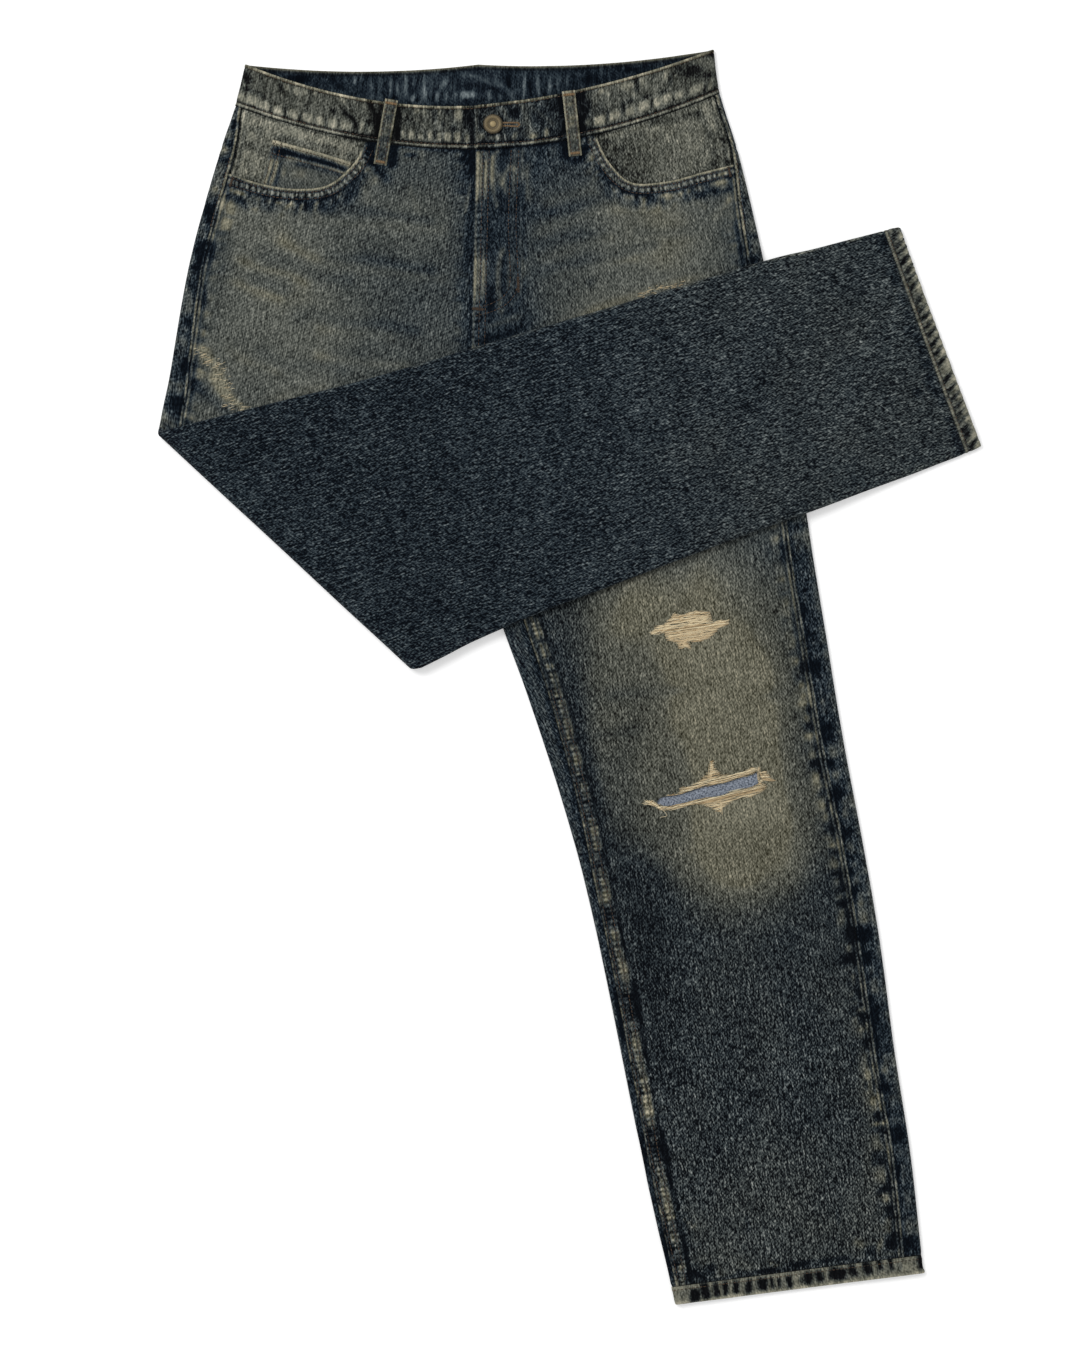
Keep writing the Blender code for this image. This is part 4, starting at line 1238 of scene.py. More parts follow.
@dataclass
class Look:
    """How a sheet is worn, puckered and painted with shade, built up point by point."""

    x: Array
    y: Array
    level: Array
    relief: Array = field(init=False)
    warm: Array = field(init=False)
    hatch: Array = field(init=False)
    vein: Array = field(init=False)
    grain: Array = field(init=False)
    seam: Array = field(init=False)
    nearest: Array = field(init=False)
    evenly: Array | float = 0.0     # how far the overdye is the same on dark and pale cloth

    def __post_init__(self) -> None:
        """Starts with plain cloth."""
        self.level = np.broadcast_to(np.asarray(self.level, float), self.x.shape).copy()
        self.relief, self.warm, self.hatch, self.vein = (np.zeros(self.x.shape) for _ in range(4))
        self.grain = np.ones(self.x.shape)
        self.seam = np.zeros((*self.x.shape, 2))
        self.nearest = np.full(self.x.shape, 1e9)

    @property
    def wear(self) -> Wear:
        """The finished look of one face, worn tone and painted shade together: the overdye shows more where the
        indigo is worn.

        Returns:
            What the material reads at each point.
        """
        warm = np.interp(self.level, (38.0, 50.0, 66.0, 84.0, 95.0, 106.0), (0.0, 0.2, 0.44, 0.6, 0.95, 1.1))
        warm += (0.72 - warm) * self.evenly + self.warm
        return Wear(np.clip(self.level, 4.0, 180.0), np.clip(warm, -0.2, 1.3), self.hatch, self.vein, self.grain)

    def fade(self, table: Sequence[tuple]) -> None:
        """Wears soft patches in.

        Args:
            table: The patches, a row of Fade values each.
        """
        for spot in (Fade(*row) for row in table):
            off = turned(np.stack([self.x - spot.x, self.y - spot.y], axis=-1), math.radians(-spot.turn))
            far = np.square(off[..., 0] / spot.across) + np.square(off[..., 1] / spot.along)
            self.level += (spot.level - self.level) * np.exp(-far ** 1.5)

    def crease(self, table: Sequence[tuple]) -> None:
        """Presses creases in.

        Args:
            table: The creases, a row of Crease values each.
        """
        for one in (Crease(*row) for row in table):
            line = curve_through(one.line, 8.0)
            away, run, _ = distance_to(self.x, self.y, line)
            wide = one.width * (1.0 + 0.25 * ripple(run, 0.0, 14.0, 5))
            strength = hump(away / wide)
            self.level += one.level * strength
            self.relief += one.height * strength

    def spots(self, table: Sequence[tuple], where: Array | bool = True, gain: float = 1.5) -> None:
        """Marks small blocks.

        Args:
            table: The blocks, a row of Spot values each.
            where: Where they may show.
            gain: How many times stronger they are made than the table says.
        """
        for one in (Spot(*row) for row in table):
            off = turned(np.stack([self.x - one.x, self.y - one.y], axis=-1), math.radians(-one.lean))
            far = (2.0 * off[..., 0] / one.wide) ** 4 + (2.0 * off[..., 1] / one.tall) ** 4
            strength = np.where(where, np.exp(-far), 0.0)
            self.level += gain * one.level * strength
            self.relief += 0.008 * one.level * strength

    def line(self, away: Array, at: float, width: float, level: Array | float, height: float = 0.0) -> None:
        """A narrow line at an even distance from a seam.

        Args:
            away: Distance from the seam.
            at: Distance of the line's middle.
            width: Its width.
            level: How much lighter it is.
            height: How far it stands up.
        """
        strength = hump((away - at) / width)
        self.level += level * strength
        self.relief += height * strength

    def trace(self, away: Array, run: Array, seed: int, stops: Sequence[tuple[float, float, float]],
              base: Optional[float] = None, size: float = 4.0, share: float = 1.0) -> None:
        """Follows a seam: marks that run beside it, uneven along its length.

        Args:
            away: Distance from the seam.
            run: Place along it.
            seed: Chooses the unevenness.
            stops: Distance, change of level there, and how uneven the level is along the run.
            base: Level that the cloth beside the seam is drawn to first.
            size: Length of the uneven marks.
            share: How strongly the marks show.
        """
        spots, change, uneven = np.array(stops, float).T
        reach = spots[-1]
        if base is not None:
            self.level += (base - self.level) * smooth((reach - away) / (0.45 * reach))
        marks = ripple(run, away * 0.35, size, seed) + 0.5 * ripple(run, away * 0.35, size * 0.5, seed + 1)
        self.level += share * (np.interp(away, spots, change) + np.interp(away, spots, uneven) * marks)

    def run_beside(self, away: Array, run: Array, period: float) -> None:
        """Gives each point nearer to this seam than to others its run along it.

        Args:
            away: Distance from the seam.
            run: Distance along it.
            period: Space from pucker to pucker.
        """
        nearer = away < self.nearest
        self.nearest = np.where(nearer, away, self.nearest)
        found = np.stack([run / period, away], axis=-1)
        self.seam = np.where(nearer[..., None], found, self.seam)

    def ladder(self, away: Array, first: float, last: float, strength: float) -> None:
        """Small puckers across the band between two rows of stitches."""
        self.hatch += strength * smooth((away - first) / 1.0 + 0.5) * smooth((last - away) / 1.0 + 0.5)

    def busted(self, away: Array, run: Array, seed: int, stops: Sequence[tuple[float, float, float]]) -> None:
        """A pressed-open seam: a groove, a crest beside it, and the marks of its allowance beneath.

        Args:
            away: Distance from the seam.
            run: Distance along it.
            seed: Which marks.
            stops: The marks beside the seam, as trace takes them.
        """
        self.trace(away, run, seed, stops, size=5.0)
        self.line(away, 0.0, 0.8, 0.0, -0.45)
        self.line(away, 2.1, 1.0, 0.0, 0.35)
        marks = ripple(run, 0.0, 9.0, seed) + 0.5 * ripple(run, 0.0, 4.0, seed + 1)
        near = hump((away - 3.0) / 10.5)
        self.patches(run, seed, near, 24.0)
        self.grain -= 0.25 * near
        self.relief += 0.3 * marks * near

    def patches(self, run: Array, seed: int, near: Array, strength: float) -> None:
        """Uneven dark and pale patches along a pressed seam, where its allowance lies beneath."""
        marks = np.tanh(2.2 * ripple(run, 0.0, 16.0, seed)) + 0.5 * ripple(run, 0.0, 6.0, seed + 1)
        self.level += strength * marks * near

    def felled(self, away: Array, run: Array, seed: int) -> None:
        """A folded double-stitched seam: a raised ribbed band with a pale edge and a dark line beyond.

        Args:
            away: Distance from the seam.
            run: Distance along it.
            seed: Which marks.
        """
        wander = 0.6 * ripple(run, 0.0, 9.0, seed)
        self.trace(away + wander, run, seed, INSEAM, base=43.0, size=3.6, share=1.4)
        self.grain -= 0.35 * smooth((14.0 - away) / 4.0)
        self.relief += 0.6 * smooth((12.6 - away) / 1.4 + 0.5) * smooth(away / 1.2)
        self.line(away, 14.4, 2.0, 0.0, -0.2)
        self.line(away, 3.0, 0.9, 0.0, -0.2)
        self.line(away, 9.4, 0.9, 0.0, -0.2)
        self.run_beside(away, run, 4.6)
        self.ladder(away, 0.0, 1.6, 22.0)
        self.ladder(away, 4.6, 8.2, 36.0)
        self.ladder(away, 10.0, 12.0, 20.0)


# marks beside each kind of seam: distance, change of level there, and unevenness along the run
OPENING = (
    (0, 50, 10), (0.6, 90, 14), (1.4, 58, 12), (2.2, 6, 8), (2.9, -26, 4), (3.7, 0, 6), (4.5, 26, 8),
    (5.7, 34, 8), (6.7, 22, 8), (7.5, -14, 4), (8.3, -34, 4), (9.3, -12, 16), (10.6, 2, 40), (12.2, 20, 60),
    (14.5, 8, 44), (18, 4, 26), (25, 0, 0),
)
FLY = (
    (0, 0, 4), (0.6, 56, 16), (1.3, 68, 18), (2.2, 52, 20), (2.9, 4, 8), (3.4, 0, 8), (4, 34, 20),
    (4.9, 28, 18), (5.8, -22, 6), (6.6, -4, 8), (7.6, 20, 24), (8.6, 26, 46), (9.8, 4, 24), (11, -24, 6),
    (12.2, -16, 8), (13.5, 4, 30), (15, -6, 16), (18, 0, 10), (24, 0, 0),
)
# painted shade on the right front, darkest at the edge of the fly that laps over it
BESIDE_FLY = (
    (0, -30, 4), (1.4, -34, 4), (2.8, -30, 6), (4.2, -14, 6), (6, -6, 8), (8, -8, 8), (10, 0, 10), (14, 3, 14),
    (20, 0, 0),
)
# OUTSEAM: the dark line at the seam itself, its first two stops, is painted shade in the seam's groove
OUTSEAM = (
    (0, -28, 6), (0.7, -22, 6), (1.4, 0, 8), (2.1, 36, 14), (2.8, 6, 8), (3.6, -26, 4), (4.6, -16, 4),
    (6, -4, 14), (8.2, 8, 30), (11, 4, 20), (16, 0, 0),
)
OUTSEAM_STRIP = (
    (0, -10, 6), (0.5, 22, 10), (1.1, 48, 12), (1.8, 10, 6), (2.5, -26, 4), (3.5, -24, 6), (5, -8, 14),
    (8, 0, 20), (13, -6, 12), (15, 2, 12), (17, 14, 16), (21, 14, 10), (40, 0, 0),
)
INSEAM = (
    (0, 2, 8), (0.5, 36, 34), (1.3, 8, 16), (2, -6, 6), (2.9, -10, 6), (3.8, -6, 8), (4.6, 1, 10),
    (5.5, 8, 22), (6.3, 15, 32), (7.2, 20, 36), (8.1, 8, 22), (8.9, -6, 8), (9.8, 2, 10), (10.8, 12, 24),
    (11.8, 0, 18), (12.6, -14, 10), (13.6, -20, 4), (15, -17, 4), (16.5, -8, 6), (18, -4, 6), (20, -2, 4),
    (28, 0, 0),
)
INSEAM_STRIP = (
    (0, -8, 8), (0.9, -20, 6), (3, -16, 6), (4.4, -4, 8), (6.5, 4, 8), (14, 0, 0),
)
BAND_TOP = (
    (0, 24, 12), (0.6, 60, 26), (1.3, 44, 22), (2, 2, 10), (2.8, -34, 6), (3.7, -8, 10), (5.5, 6, 14),
    (12, 0, 8), (20, 0, 0),
)
BAND_FOOT = (
    (0, -54, 4), (0.7, -36, 8), (1.3, 16, 14), (1.9, 56, 18), (2.6, 44, 16), (3.2, -14, 8), (3.9, -62, 4),
    (4.8, -50, 6), (5.5, -12, 8), (6.4, 0, 8), (9, 0, 0),
)
COIN_BAND = (
    (0, 6, 10), (0.8, 32, 16), (2.6, 26, 22), (4.2, 8, 50), (6.6, -20, 56), (9, -14, 50), (10.4, 2, 24),
    (11.6, -42, 6), (12.5, -8, 6), (13.4, 34, 14), (14.6, -20, 6), (16.2, -10, 6), (19, 0, 0),
)
COIN_SIDE = (
    (0, 14, 10), (0.6, 36, 14), (1.5, -4, 8), (2.4, -30, 4), (3.4, 8, 8), (4.5, 30, 12), (5.5, -4, 8),
    (6.5, -28, 4), (7.7, 8, 8), (8.9, 26, 14), (10.4, 4, 8), (13, 0, 0),
)
HEM_EDGES = (
    (0, 10, 8), (0.7, 46, 18), (1.6, 50, 20), (2.3, 12, 12), (2.9, -14, 6), (3.7, 2, 8), (5, 0, 8), (11, 0, 8),
    (12.6, 8, 14), (13.8, 22, 24), (15, 42, 24), (16, 56, 20), (18, 66, 10),
)
CUFF_EDGES = (
    (0, 6, 8), (0.8, 40, 16), (1.6, 44, 18), (2.4, 8, 10), (3.1, -12, 6), (4.2, 0, 8), (6, -4, 8), (8, -4, 8),
    (9.2, 12, 12), (10.2, 28, 16), (11.6, 42, 20), (12.8, 50, 20), (14, 56, 20), (17, 74, 10),
)
ABOVE_HEM = (
    (0, -10, 4), (1, -22, 4), (2.2, -22, 4), (3.4, -13, 6), (4.6, -5, 8), (7, 0, 0),
)

LOOP_ENDS = {Side.LEFT: ((0.0, 503.0), (6.0, 447.0)), Side.RIGHT: ((-152.0, 495.5), (-162.0, 439.5))}


def shade_beside_loops(look: Look) -> None:
    """Deep shade where the cloth dips on both sides of each front belt loop.

    Args:
        look: The look to dress.
    """
    for top, bottom in LOOP_ENDS.values():
        down = np.subtract(bottom, top)
        length = float(np.linalg.norm(down))
        down /= length
        run = (look.x - top[0]) * down[0] + (look.y - top[1]) * down[1]
        off = np.abs((look.x - top[0]) * down[1] - (look.y - top[1]) * down[0])
        along = smooth((run + 1.0) / 3.0) * smooth((length + 3.0 - run) / 3.0)
        look.level -= 42.0 * along * hump((off - LOOP_WIDTH / 2 - 2.2) / 4.6)


def plain_look(points: Array, level: float, seed: int) -> Look:
    """A lightly worn face with soft unevenness.

    Args:
        points: The face's points.
        level: How light it is.
        seed: Which marks.

    Returns:
        The look.
    """
    x, y = points[..., 0], points[..., 1]
    look = Look(x, y, np.full(x.shape, level))
    look.level += 3.0 * ripple(x, y, 34.0, seed) + 2.0 * ripple(x, y, 15.0, seed + 1)
    return look


def waviness(x: Array, y: Array, seed: int) -> Array:
    """How the flat cloth rises and falls a little over its width."""
    return 0.28 * ripple(x, y, 62.0, seed) + 0.14 * ripple(x, y, 27.0, seed + 1, 1.4)


LEFT_FADES = (
    (74, 374, 84, 62, 88, -8), (26, 322, 46, 30, 80), (-8, 372, 30, 60, 60), (98, 42, 84, 100, 93),
    (60, 42, 34, 44, 90), (132, -55, 76, 76, 97), (150, -112, 64, 80, 100), (128, 6, 46, 36, 104),
    (164, -124, 26, 22, 110), (152, -156, 56, 32, 96), (232, -185, 30, 50, 44), (206, -60, 20, 60, 64),
    (-5, -40, 26, 60, 34, 12), (28, -112, 22, 74, 46), (48, -34, 34, 60, 72), (54, -92, 24, 54, 60),
    (80, -92, 26, 62, 79), (199, -335, 20, 50, 34), (58, -225, 34, 60, 24), (66, -300, 34, 60, 26),
    (268, -400, 14, 70, 56), (98, -468, 20, 18, 52),
)
RIGHT_FADES = (
    (-262, 372, 66, 92, 84), (-150, 392, 70, 26, 74), (-232, 292, 50, 44, 83), (-118, 300, 46, 34, 60),
    (-306, 366, 16, 34, 48), (-318, 318, 14, 30, 54), (-334, 240, 18, 30, 50),
)
LEFT_CREASES = (
    # soft bands that fan out from the fly over the lap
    (((-18, 407), (0, 413), (15, 418), (27, 421)), 5, 9),
    (((-26, 398), (-10, 400), (6, 403), (20, 408), (36, 412)), 5, -11),
    (((-25, 382), (-14, 387), (0, 391), (15, 397), (36, 401), (62, 404), (76, 402)), 5.5, 9),
    (((-25, 371), (-5, 377), (15, 379), (32, 384)), 5, -9),
    (((-22, 357), (-8, 362), (5, 367), (20, 373), (36, 377)), 5, 8),
    (((-22, 350), (0, 354), (20, 358), (42, 363), (58, 368), (74, 371)), 5, -9),
    (((-5, 346), (20, 350), (36, 355), (58, 359)), 5, 8), (((61, 382), (90, 381), (113, 385)), 5, -6),
    (((-26, 297), (0, 306), (30, 317), (60, 328), (75, 333.5), (100, 339.5), (128, 346)), 5.5, 12),
    # knee and shin
    (((37, -15.5), (80, -13.5), (130, -8.6)), 5, -10), (((27, -51), (61, -45)), 5, -8),
    (((152, -21), (199, -12)), 5, -8),
    # little puckers that the hem pulls into the cloth
    (((89, -485), (104.5, -504)), 4.5, 8, 0.4), (((113, -500.5), (132, -516)), 4.5, 8, 0.4),
    (((147.5, -504), (165, -516)), 4.5, 7, 0.35), (((258, -489), (272, -504)), 4.5, 7, 0.4),
    (((268, -476), (285, -499)), 4.5, 7, 0.4),
    # pale crumples in the doubled cloth of the fly, and dark hollows beside them
    (((-77, 454), (-77.2, 430), (-78.6, 409)), 2.2, 18, 0.2),
    (((-70.6, 442), (-71, 425), (-71, 411)), 1.3, 22, 0.15),
    (((-61, 451.5), (-65, 446), (-65.6, 436), (-65, 420), (-61.6, 403)), 1.9, 48, 0.2),
    (((-46.6, 436), (-50, 438), (-54.5, 431.6), (-56.6, 423.3), (-53, 415.5)), 1.9, 38, 0.2),
    (((-46.5, 434), (-46, 422), (-47, 414)), 1.4, 22, 0.1), (((-59.3, 432), (-58.2, 422)), 1.8, 20, 0.15),
    (((-50.6, 432), (-50.8, 420)), 1.8, -26, -0.2), (((-57, 446), (-57, 436)), 4, -26, -0.2),
    (((-58.5, 412), (-55, 400)), 5, -12, -0.2), (((-68.6, 392), (-67, 360)), 3.4, -12),
    (((-78.5, 357), (-79.5, 340), (-79.5, 322)), 2.4, 16, 0.2),
    (((-72.5, 355), (-72, 340), (-73.5, 330)), 2.6, 30, 0.2),
    (((-56.9, 366), (-60.5, 348), (-60.3, 332), (-57.9, 311)), 1.8, 38, 0.2),
    (((-51, 361), (-50.4, 348), (-51.6, 335)), 1.6, 26, 0.15), (((-55.2, 358), (-56, 330)), 2.2, -24, -0.2),
    (((-66, 330), (-67, 314)), 3.4, -24, -0.15), (((-35.5, 440), (-36, 427), (-34.5, 411)), 2.6, 26),
    (((-38, 356), (-37.2, 344)), 2.6, 20), (((-42.5, 422), (-43, 404)), 2.4, -18),
    (((-69, 300), (-56, 305), (-44, 308.5)), 2.6, 22, 0.2),
    (((-76, 288), (-58, 292.5), (-46, 297), (-36, 301)), 2.8, -24, -0.2),
    # beside and under the pocket
    (((28, 433), (34, 424), (44, 418.5), (58, 415), (67, 412.5)), 3.2, -26, -0.2),
    (((98, 413.5), (108, 409), (118, 403)), 2, 16, 0.2), (((140, 410), (134, 403), (126, 395)), 4, 14, 0.2),
    (((22, 440), (19, 447), (20, 452)), 2.2, 26, 0.2), (((20, 447), (26, 441), (32, 436)), 1.6, 14),
    (((139, 447), (143, 430), (147, 410), (152, 396)), 6, -20, -0.2),
    (((146, 447), (148.5, 430), (151, 412), (155, 395)), 3.4, -22, -0.2),
)
LEFT_SPOTS = (
    (50, 413.5, 22, 4, -10, -8), (113, 414, 8, 6, -28), (103, 411, 7, 3, -22, -35), (130, 417.5, 18, 4, -20),
    (130, 424, 10, 5, 14, 25), (85, 413, 22, 5, 9), (19, 338, 8, 9, -8), (-15, 399, 9, 5, -8),
    # (5, 443) and (14, 452) are painted shade below and beside the left belt loop
    (5, 443, 15, 5, -26), (14, 452, 7, 12, -28), (158, 378, 6, 6, -18), (157, 357, 12, 8, -28),
    (149, 386, 9, 9, 20), (148, 369, 5, 10, -16), (-58, 450, 22, 5, -16), (-73, 447, 6, 8, -10),
    (-37, 432, 7, 10, 12), (-83.5, 283, 9, 4, 18), (-73, 427, 13, 32, 5), (-77, 340, 12, 36, 7),
    (-66, 320, 6, 8, -12), (104, -150, 5, 3, 6),
)
RIGHT_CREASES = (
    # the scraped place on the hip
    (((-316, 279), (-306, 270), (-300, 257), (-292, 242), (-279, 229)), 4.4, 26),
    (((-306, 256), (-302, 247), (-295, 238)), 4, 22), (((-312, 244), (-303, 236), (-294, 226)), 5, -18),
    # soft bands that fan out from the fly over the lap
    (((-206, 398), (-182, 400.5), (-160, 398), (-142, 395), (-120, 391)), 5, -15),
    (((-212, 395), (-192, 390), (-178, 387), (-150, 387), (-108, 383)), 5, 10),
    (((-205, 361), (-190, 359), (-172, 358), (-158, 356), (-140, 352), (-118, 349)), 5, -13),
    (((-245, 373), (-225, 361), (-205, 356), (-185, 351), (-160, 348), (-108, 341)), 5, 9),
    (((-260, 360), (-246, 357), (-230, 352), (-214, 344), (-190, 340)), 7.5, -12),
    (((-296, 361), (-278, 356), (-262, 350), (-240, 346), (-226, 338)), 5, 9),
    (((-271, 341), (-258, 338), (-246, 332)), 5, -11),
    (((-296, 341), (-280, 336), (-265, 330), (-248, 325)), 5, 10),
    (((-233, 309), (-220, 312), (-205, 307), (-188, 303), (-160, 303), (-131, 296)), 5.5, -12),
    (((-212, 300), (-190, 296), (-172, 294), (-152, 291)), 5, 8),
    (((-263, 277), (-246, 268), (-228, 267), (-210, 266), (-193, 263)), 6, -10),
    (((-292, 281), (-275, 270), (-262, 267), (-250, 261)), 5, 7),
    (((-215, 275), (-192, 271), (-165, 268.5), (-138, 267)), 4, 9),
    (((-168, 268), (-155, 267.5), (-141, 267)), 3.4, 9), (((-200, 279), (-178, 277)), 4, -6),
    (((-252, 239), (-230, 245), (-210, 249)), 5, 9),
    # beside the fly: the dark bands are painted shade along the edge of the fly that laps over this side, and one is
    # a pale line
    (((-92, 458), (-92, 400), (-92.5, 345), (-92, 285)), 8, -13),
    (((-84, 458), (-83.5, 444), (-82, 434)), 4, -36, -0.2),
    (((-82, 440), (-84, 410), (-86, 385), (-87, 350)), 2.6, -24, -0.2),
    (((-80.3, 438), (-84.3, 420), (-88.5, 400)), 1.7, 34, 0.2),
    # under the pocket
    (((-207, 409), (-193, 412), (-184, 419), (-178.5, 430)), 4.4, -34, -0.2),
    (((-298, 403), (-296, 413), (-290, 418), (-282, 416.5), (-276, 410), (-272, 402)), 2, 32, 0.25),
    (((-291, 413), (-283, 410), (-277.5, 403)), 2.6, -28, -0.2),
    (((-272, 413), (-269, 406), (-268, 400)), 1.8, 16, 0.2),
    (((-180.5, 441), (-175, 434), (-166, 427)), 3.6, 30, 0.25),
    # the dark crease from (-169, 441) is painted shade below the right belt loop
    (((-169, 441), (-164, 435), (-157, 428)), 4.2, -32, -0.2), (((-176, 420), (-172, 408)), 3, 10),
    (((-137, 420), (-133, 409), (-129, 399)), 1.6, 12),
)
RIGHT_SPOTS = (
    (-252, 411, 6, 6, -28), (-262, 412, 5, 4, -20), (-241, 409, 3.4, 7, -28), (-233, 408.5, 5, 8, -30),
    (-226, 406.5, 4, 9, -30, -10), (-219.5, 406, 4, 7, -28), (-210, 408.5, 9, 6, -24),
    (-247, 407, 2, 7, 18, 25), (-237, 405.5, 2, 7, 22, 20), (-229.3, 404.5, 1.8, 7, 20, 10),
    # (-176.5, 457) is painted shade under the band; (-171, 449) here and (-150, 449) and (-150, 441) below are
    # painted shade beside the right belt loop
    (-223, 411, 2, 6, 18), (-274, 413.5, 3, 4, -20), (-176.5, 457, 10, 9, -34), (-171, 449, 6, 20, -34, 8),
    (-150, 449, 7, 22, -36, -6), (-150, 441, 6, 5, -22), (-136, 448, 10, 4, -22), (-92, 445, 6, 4, -24),
    (-307.5, 398, 13, 20, -38, 10), (-312, 364, 15, 22, -38), (-321, 334, 11, 8, -28, -20),
    (-313, 326, 6, 22, -20, 8), (-318, 358, 10, 18, -26), (-318, 322, 12, 14, -14), (-323, 290, 12, 14, -12),
    (-320, 346, 12, 12, -16), (-328, 304, 8, 10, -30), (-318, 288, 11, 5, -16), (-327, 265, 16, 11, -32),
    (-335, 235, 11, 11, -30), (-286, 473.5, 9, 8, -34), (-291, 458, 8, 8, -32), (-296, 444, 11, 6, -34),
    (-297, 387, 12, 9, 16), (-304, 344, 8, 5, 10), (-296, 452, 6, 5, 16), (-303, 418, 8, 12, 14),
    (-322, 318, 10, 10, 12), (-326, 284, 9, 12, 8), (-331, 250, 9, 10, 14),
)
LEG_SPOTS = (
    # dark and pale blocks beside the outseam, down to the hem
    (204, 55, 10, 10, -24), (208, 35, 10, 8, -22), (203, 8, 8, 12, -30), (211, 8, 12, 14, -34),
    (201, -8, 5, 6, 22), (202, -23, 5, 4, 22), (218, -23, 4, 5, 22), (207, -29, 7, 6, -28),
    (205, -36, 6, 6, 20), (208, -44, 9, 7, -28), (207, -50, 10, 3, 16), (222, -50, 12, 20, -26),
    (210, -67, 8, 8, 20), (228, -66, 8, 10, 20), (213, -75, 9, 6, -28), (225, -75, 9, 8, -32),
    (217, -84, 2, 12, -20), (213, -88, 8, 14, 24), (229, -86, 9, 10, 20), (219, -99, 12, 7, -30),
    (231, -102, 12, 14, -34), (223, -111, 4, 10, -22), (222, -123, 6, 6, 18), (232, -113, 8, 8, -22),
    (238, -119, 6, 8, 14), (225, -131, 10, 6, -22), (239, -136, 10, 10, -30), (227, -146, 7, 5, 20),
    (242, -147, 7, 7, 20), (228, -152, 8, 6, -32), (241, -155, 7, 6, -30), (229, -161, 8, 6, 18),
    (244, -161, 7, 4, 14), (230, -170, 10, 7, -28), (244, -170, 7, 7, -26), (247, -176, 6, 6, 16),
    (230, -177, 8, 4, 14), (246, -186, 6, 9, -32), (251, -194, 6, 8, 20), (236, -197, 8, 5, -32),
    (235, -208, 8, 12, 22), (253, -208, 10, 12, 26), (250, -222, 22, 14, -34), (242, -234, 5, 5, 20),
    (241, -244, 13, 10, -32), (256, -243, 10, 14, -32), (259, -252, 8, 6, 26), (245, -260, 4, 10, 18),
    (263, -266, 8, 16, 16), (249, -271, 6, 7, -30), (261, -278, 6, 7, -30), (252, -287, 8, 3, 26),
    (264, -285, 8, 3, 18), (253, -294, 8, 9, -32), (263, -293, 10, 11, -34), (252, -304, 7, 3, 26),
    (257, -312, 3, 16, -20), (266, -315, 3, 14, -20), (257, -327, 5, 8, 14), (268, -330, 6, 5, -24),
    (271, -339, 6, 4, 24), (269, -344, 7, 3, -24), (256, -352, 4, 7, -26), (271, -354, 12, 8, -34),
    (258, -343, 4, 8, 22), (263, -349, 3, 16, -20), (263, -366, 6, 10, 22), (266, -378, 8, 8, -32),
    (271, -385, 16, 4, 28), (284, -397, 10, 14, -20), (264, -398, 8, 8, 14), (268, -415, 14, 13, -34),
    (283, -427, 6, 14, -32), (268, -430, 10, 8, 16), (271, -442, 10, 6, -26), (274, -450, 8, 8, 26),
    (276, -459, 7, 8, -30), (276, -468, 8, 6, 20), (293, -450, 8, 12, 14), (278, -486, 12, 12, -32),
    (292, -486, 12, 12, -24), (260, -495, 10, 8, -28), (268, -489, 5, 12, 24, -25),
    (250, -488, 10, 6, 22, -30),
    # the inseam's band: rubbed in stretches, with dark lines on both sides
    (31, -191, 10, 14, 20, 12), (35, -208, 10, 16, -14, 12), (44, -233, 9, 18, 14, 13),
    (49, -252, 9, 20, 26, 13), (53, -284, 9, 26, -22, 12), (60, -320, 8, 26, 14, 12),
    (66, -345, 8, 20, 18, 12), (69, -372, 9, 26, 30, 12), (74, -402, 10, 24, -26, 12),
    (85, -455, 8, 30, 22, 12), (88, -492, 6, 10, -34, 8), (92, -506, 6, 6, -28), (94, -525, 9, 10, 20),
    (63, -358, 4, 4, -34), (70, -392, 6, 5, -26), (47, -228, 3.4, 22, -28, 13), (60, -282, 4, 34, -32, 11),
    (67, -325, 3, 30, -18, 11), (83, -405, 4.4, 34, -32, 12), (88, -435, 3, 20, -26, 12),
    (101, -495, 4.4, 34, -26, 8), (104, -515, 6, 12, -32), (44, -295, 4, 40, -28, 9),
    (64, -412, 4, 36, -28, 10), (84, -500, 4, 36, -34, 9),
    # dark puckers over the hem, and little pale crumples between them
    (112, -515, 16, 6, -30, -25), (122, -511, 9, 9, -28, 20), (150, -513, 9, 3.4, -26),
    (171, -511, 24, 4, -34, 5), (200, -506, 20, 5, -30, 8), (222, -503, 14, 4, -28, 10),
    (236, -501, 12, 4, -26, 6), (178, -507, 16, 2.4, 20, -30), (154, -472, 3, 14, -12, 8),
    (232, -465, 3, 14, -10, 6), (104, -470, 14, 2.4, 22, -42), (102, -466, 14, 2.4, -20, -42),
)
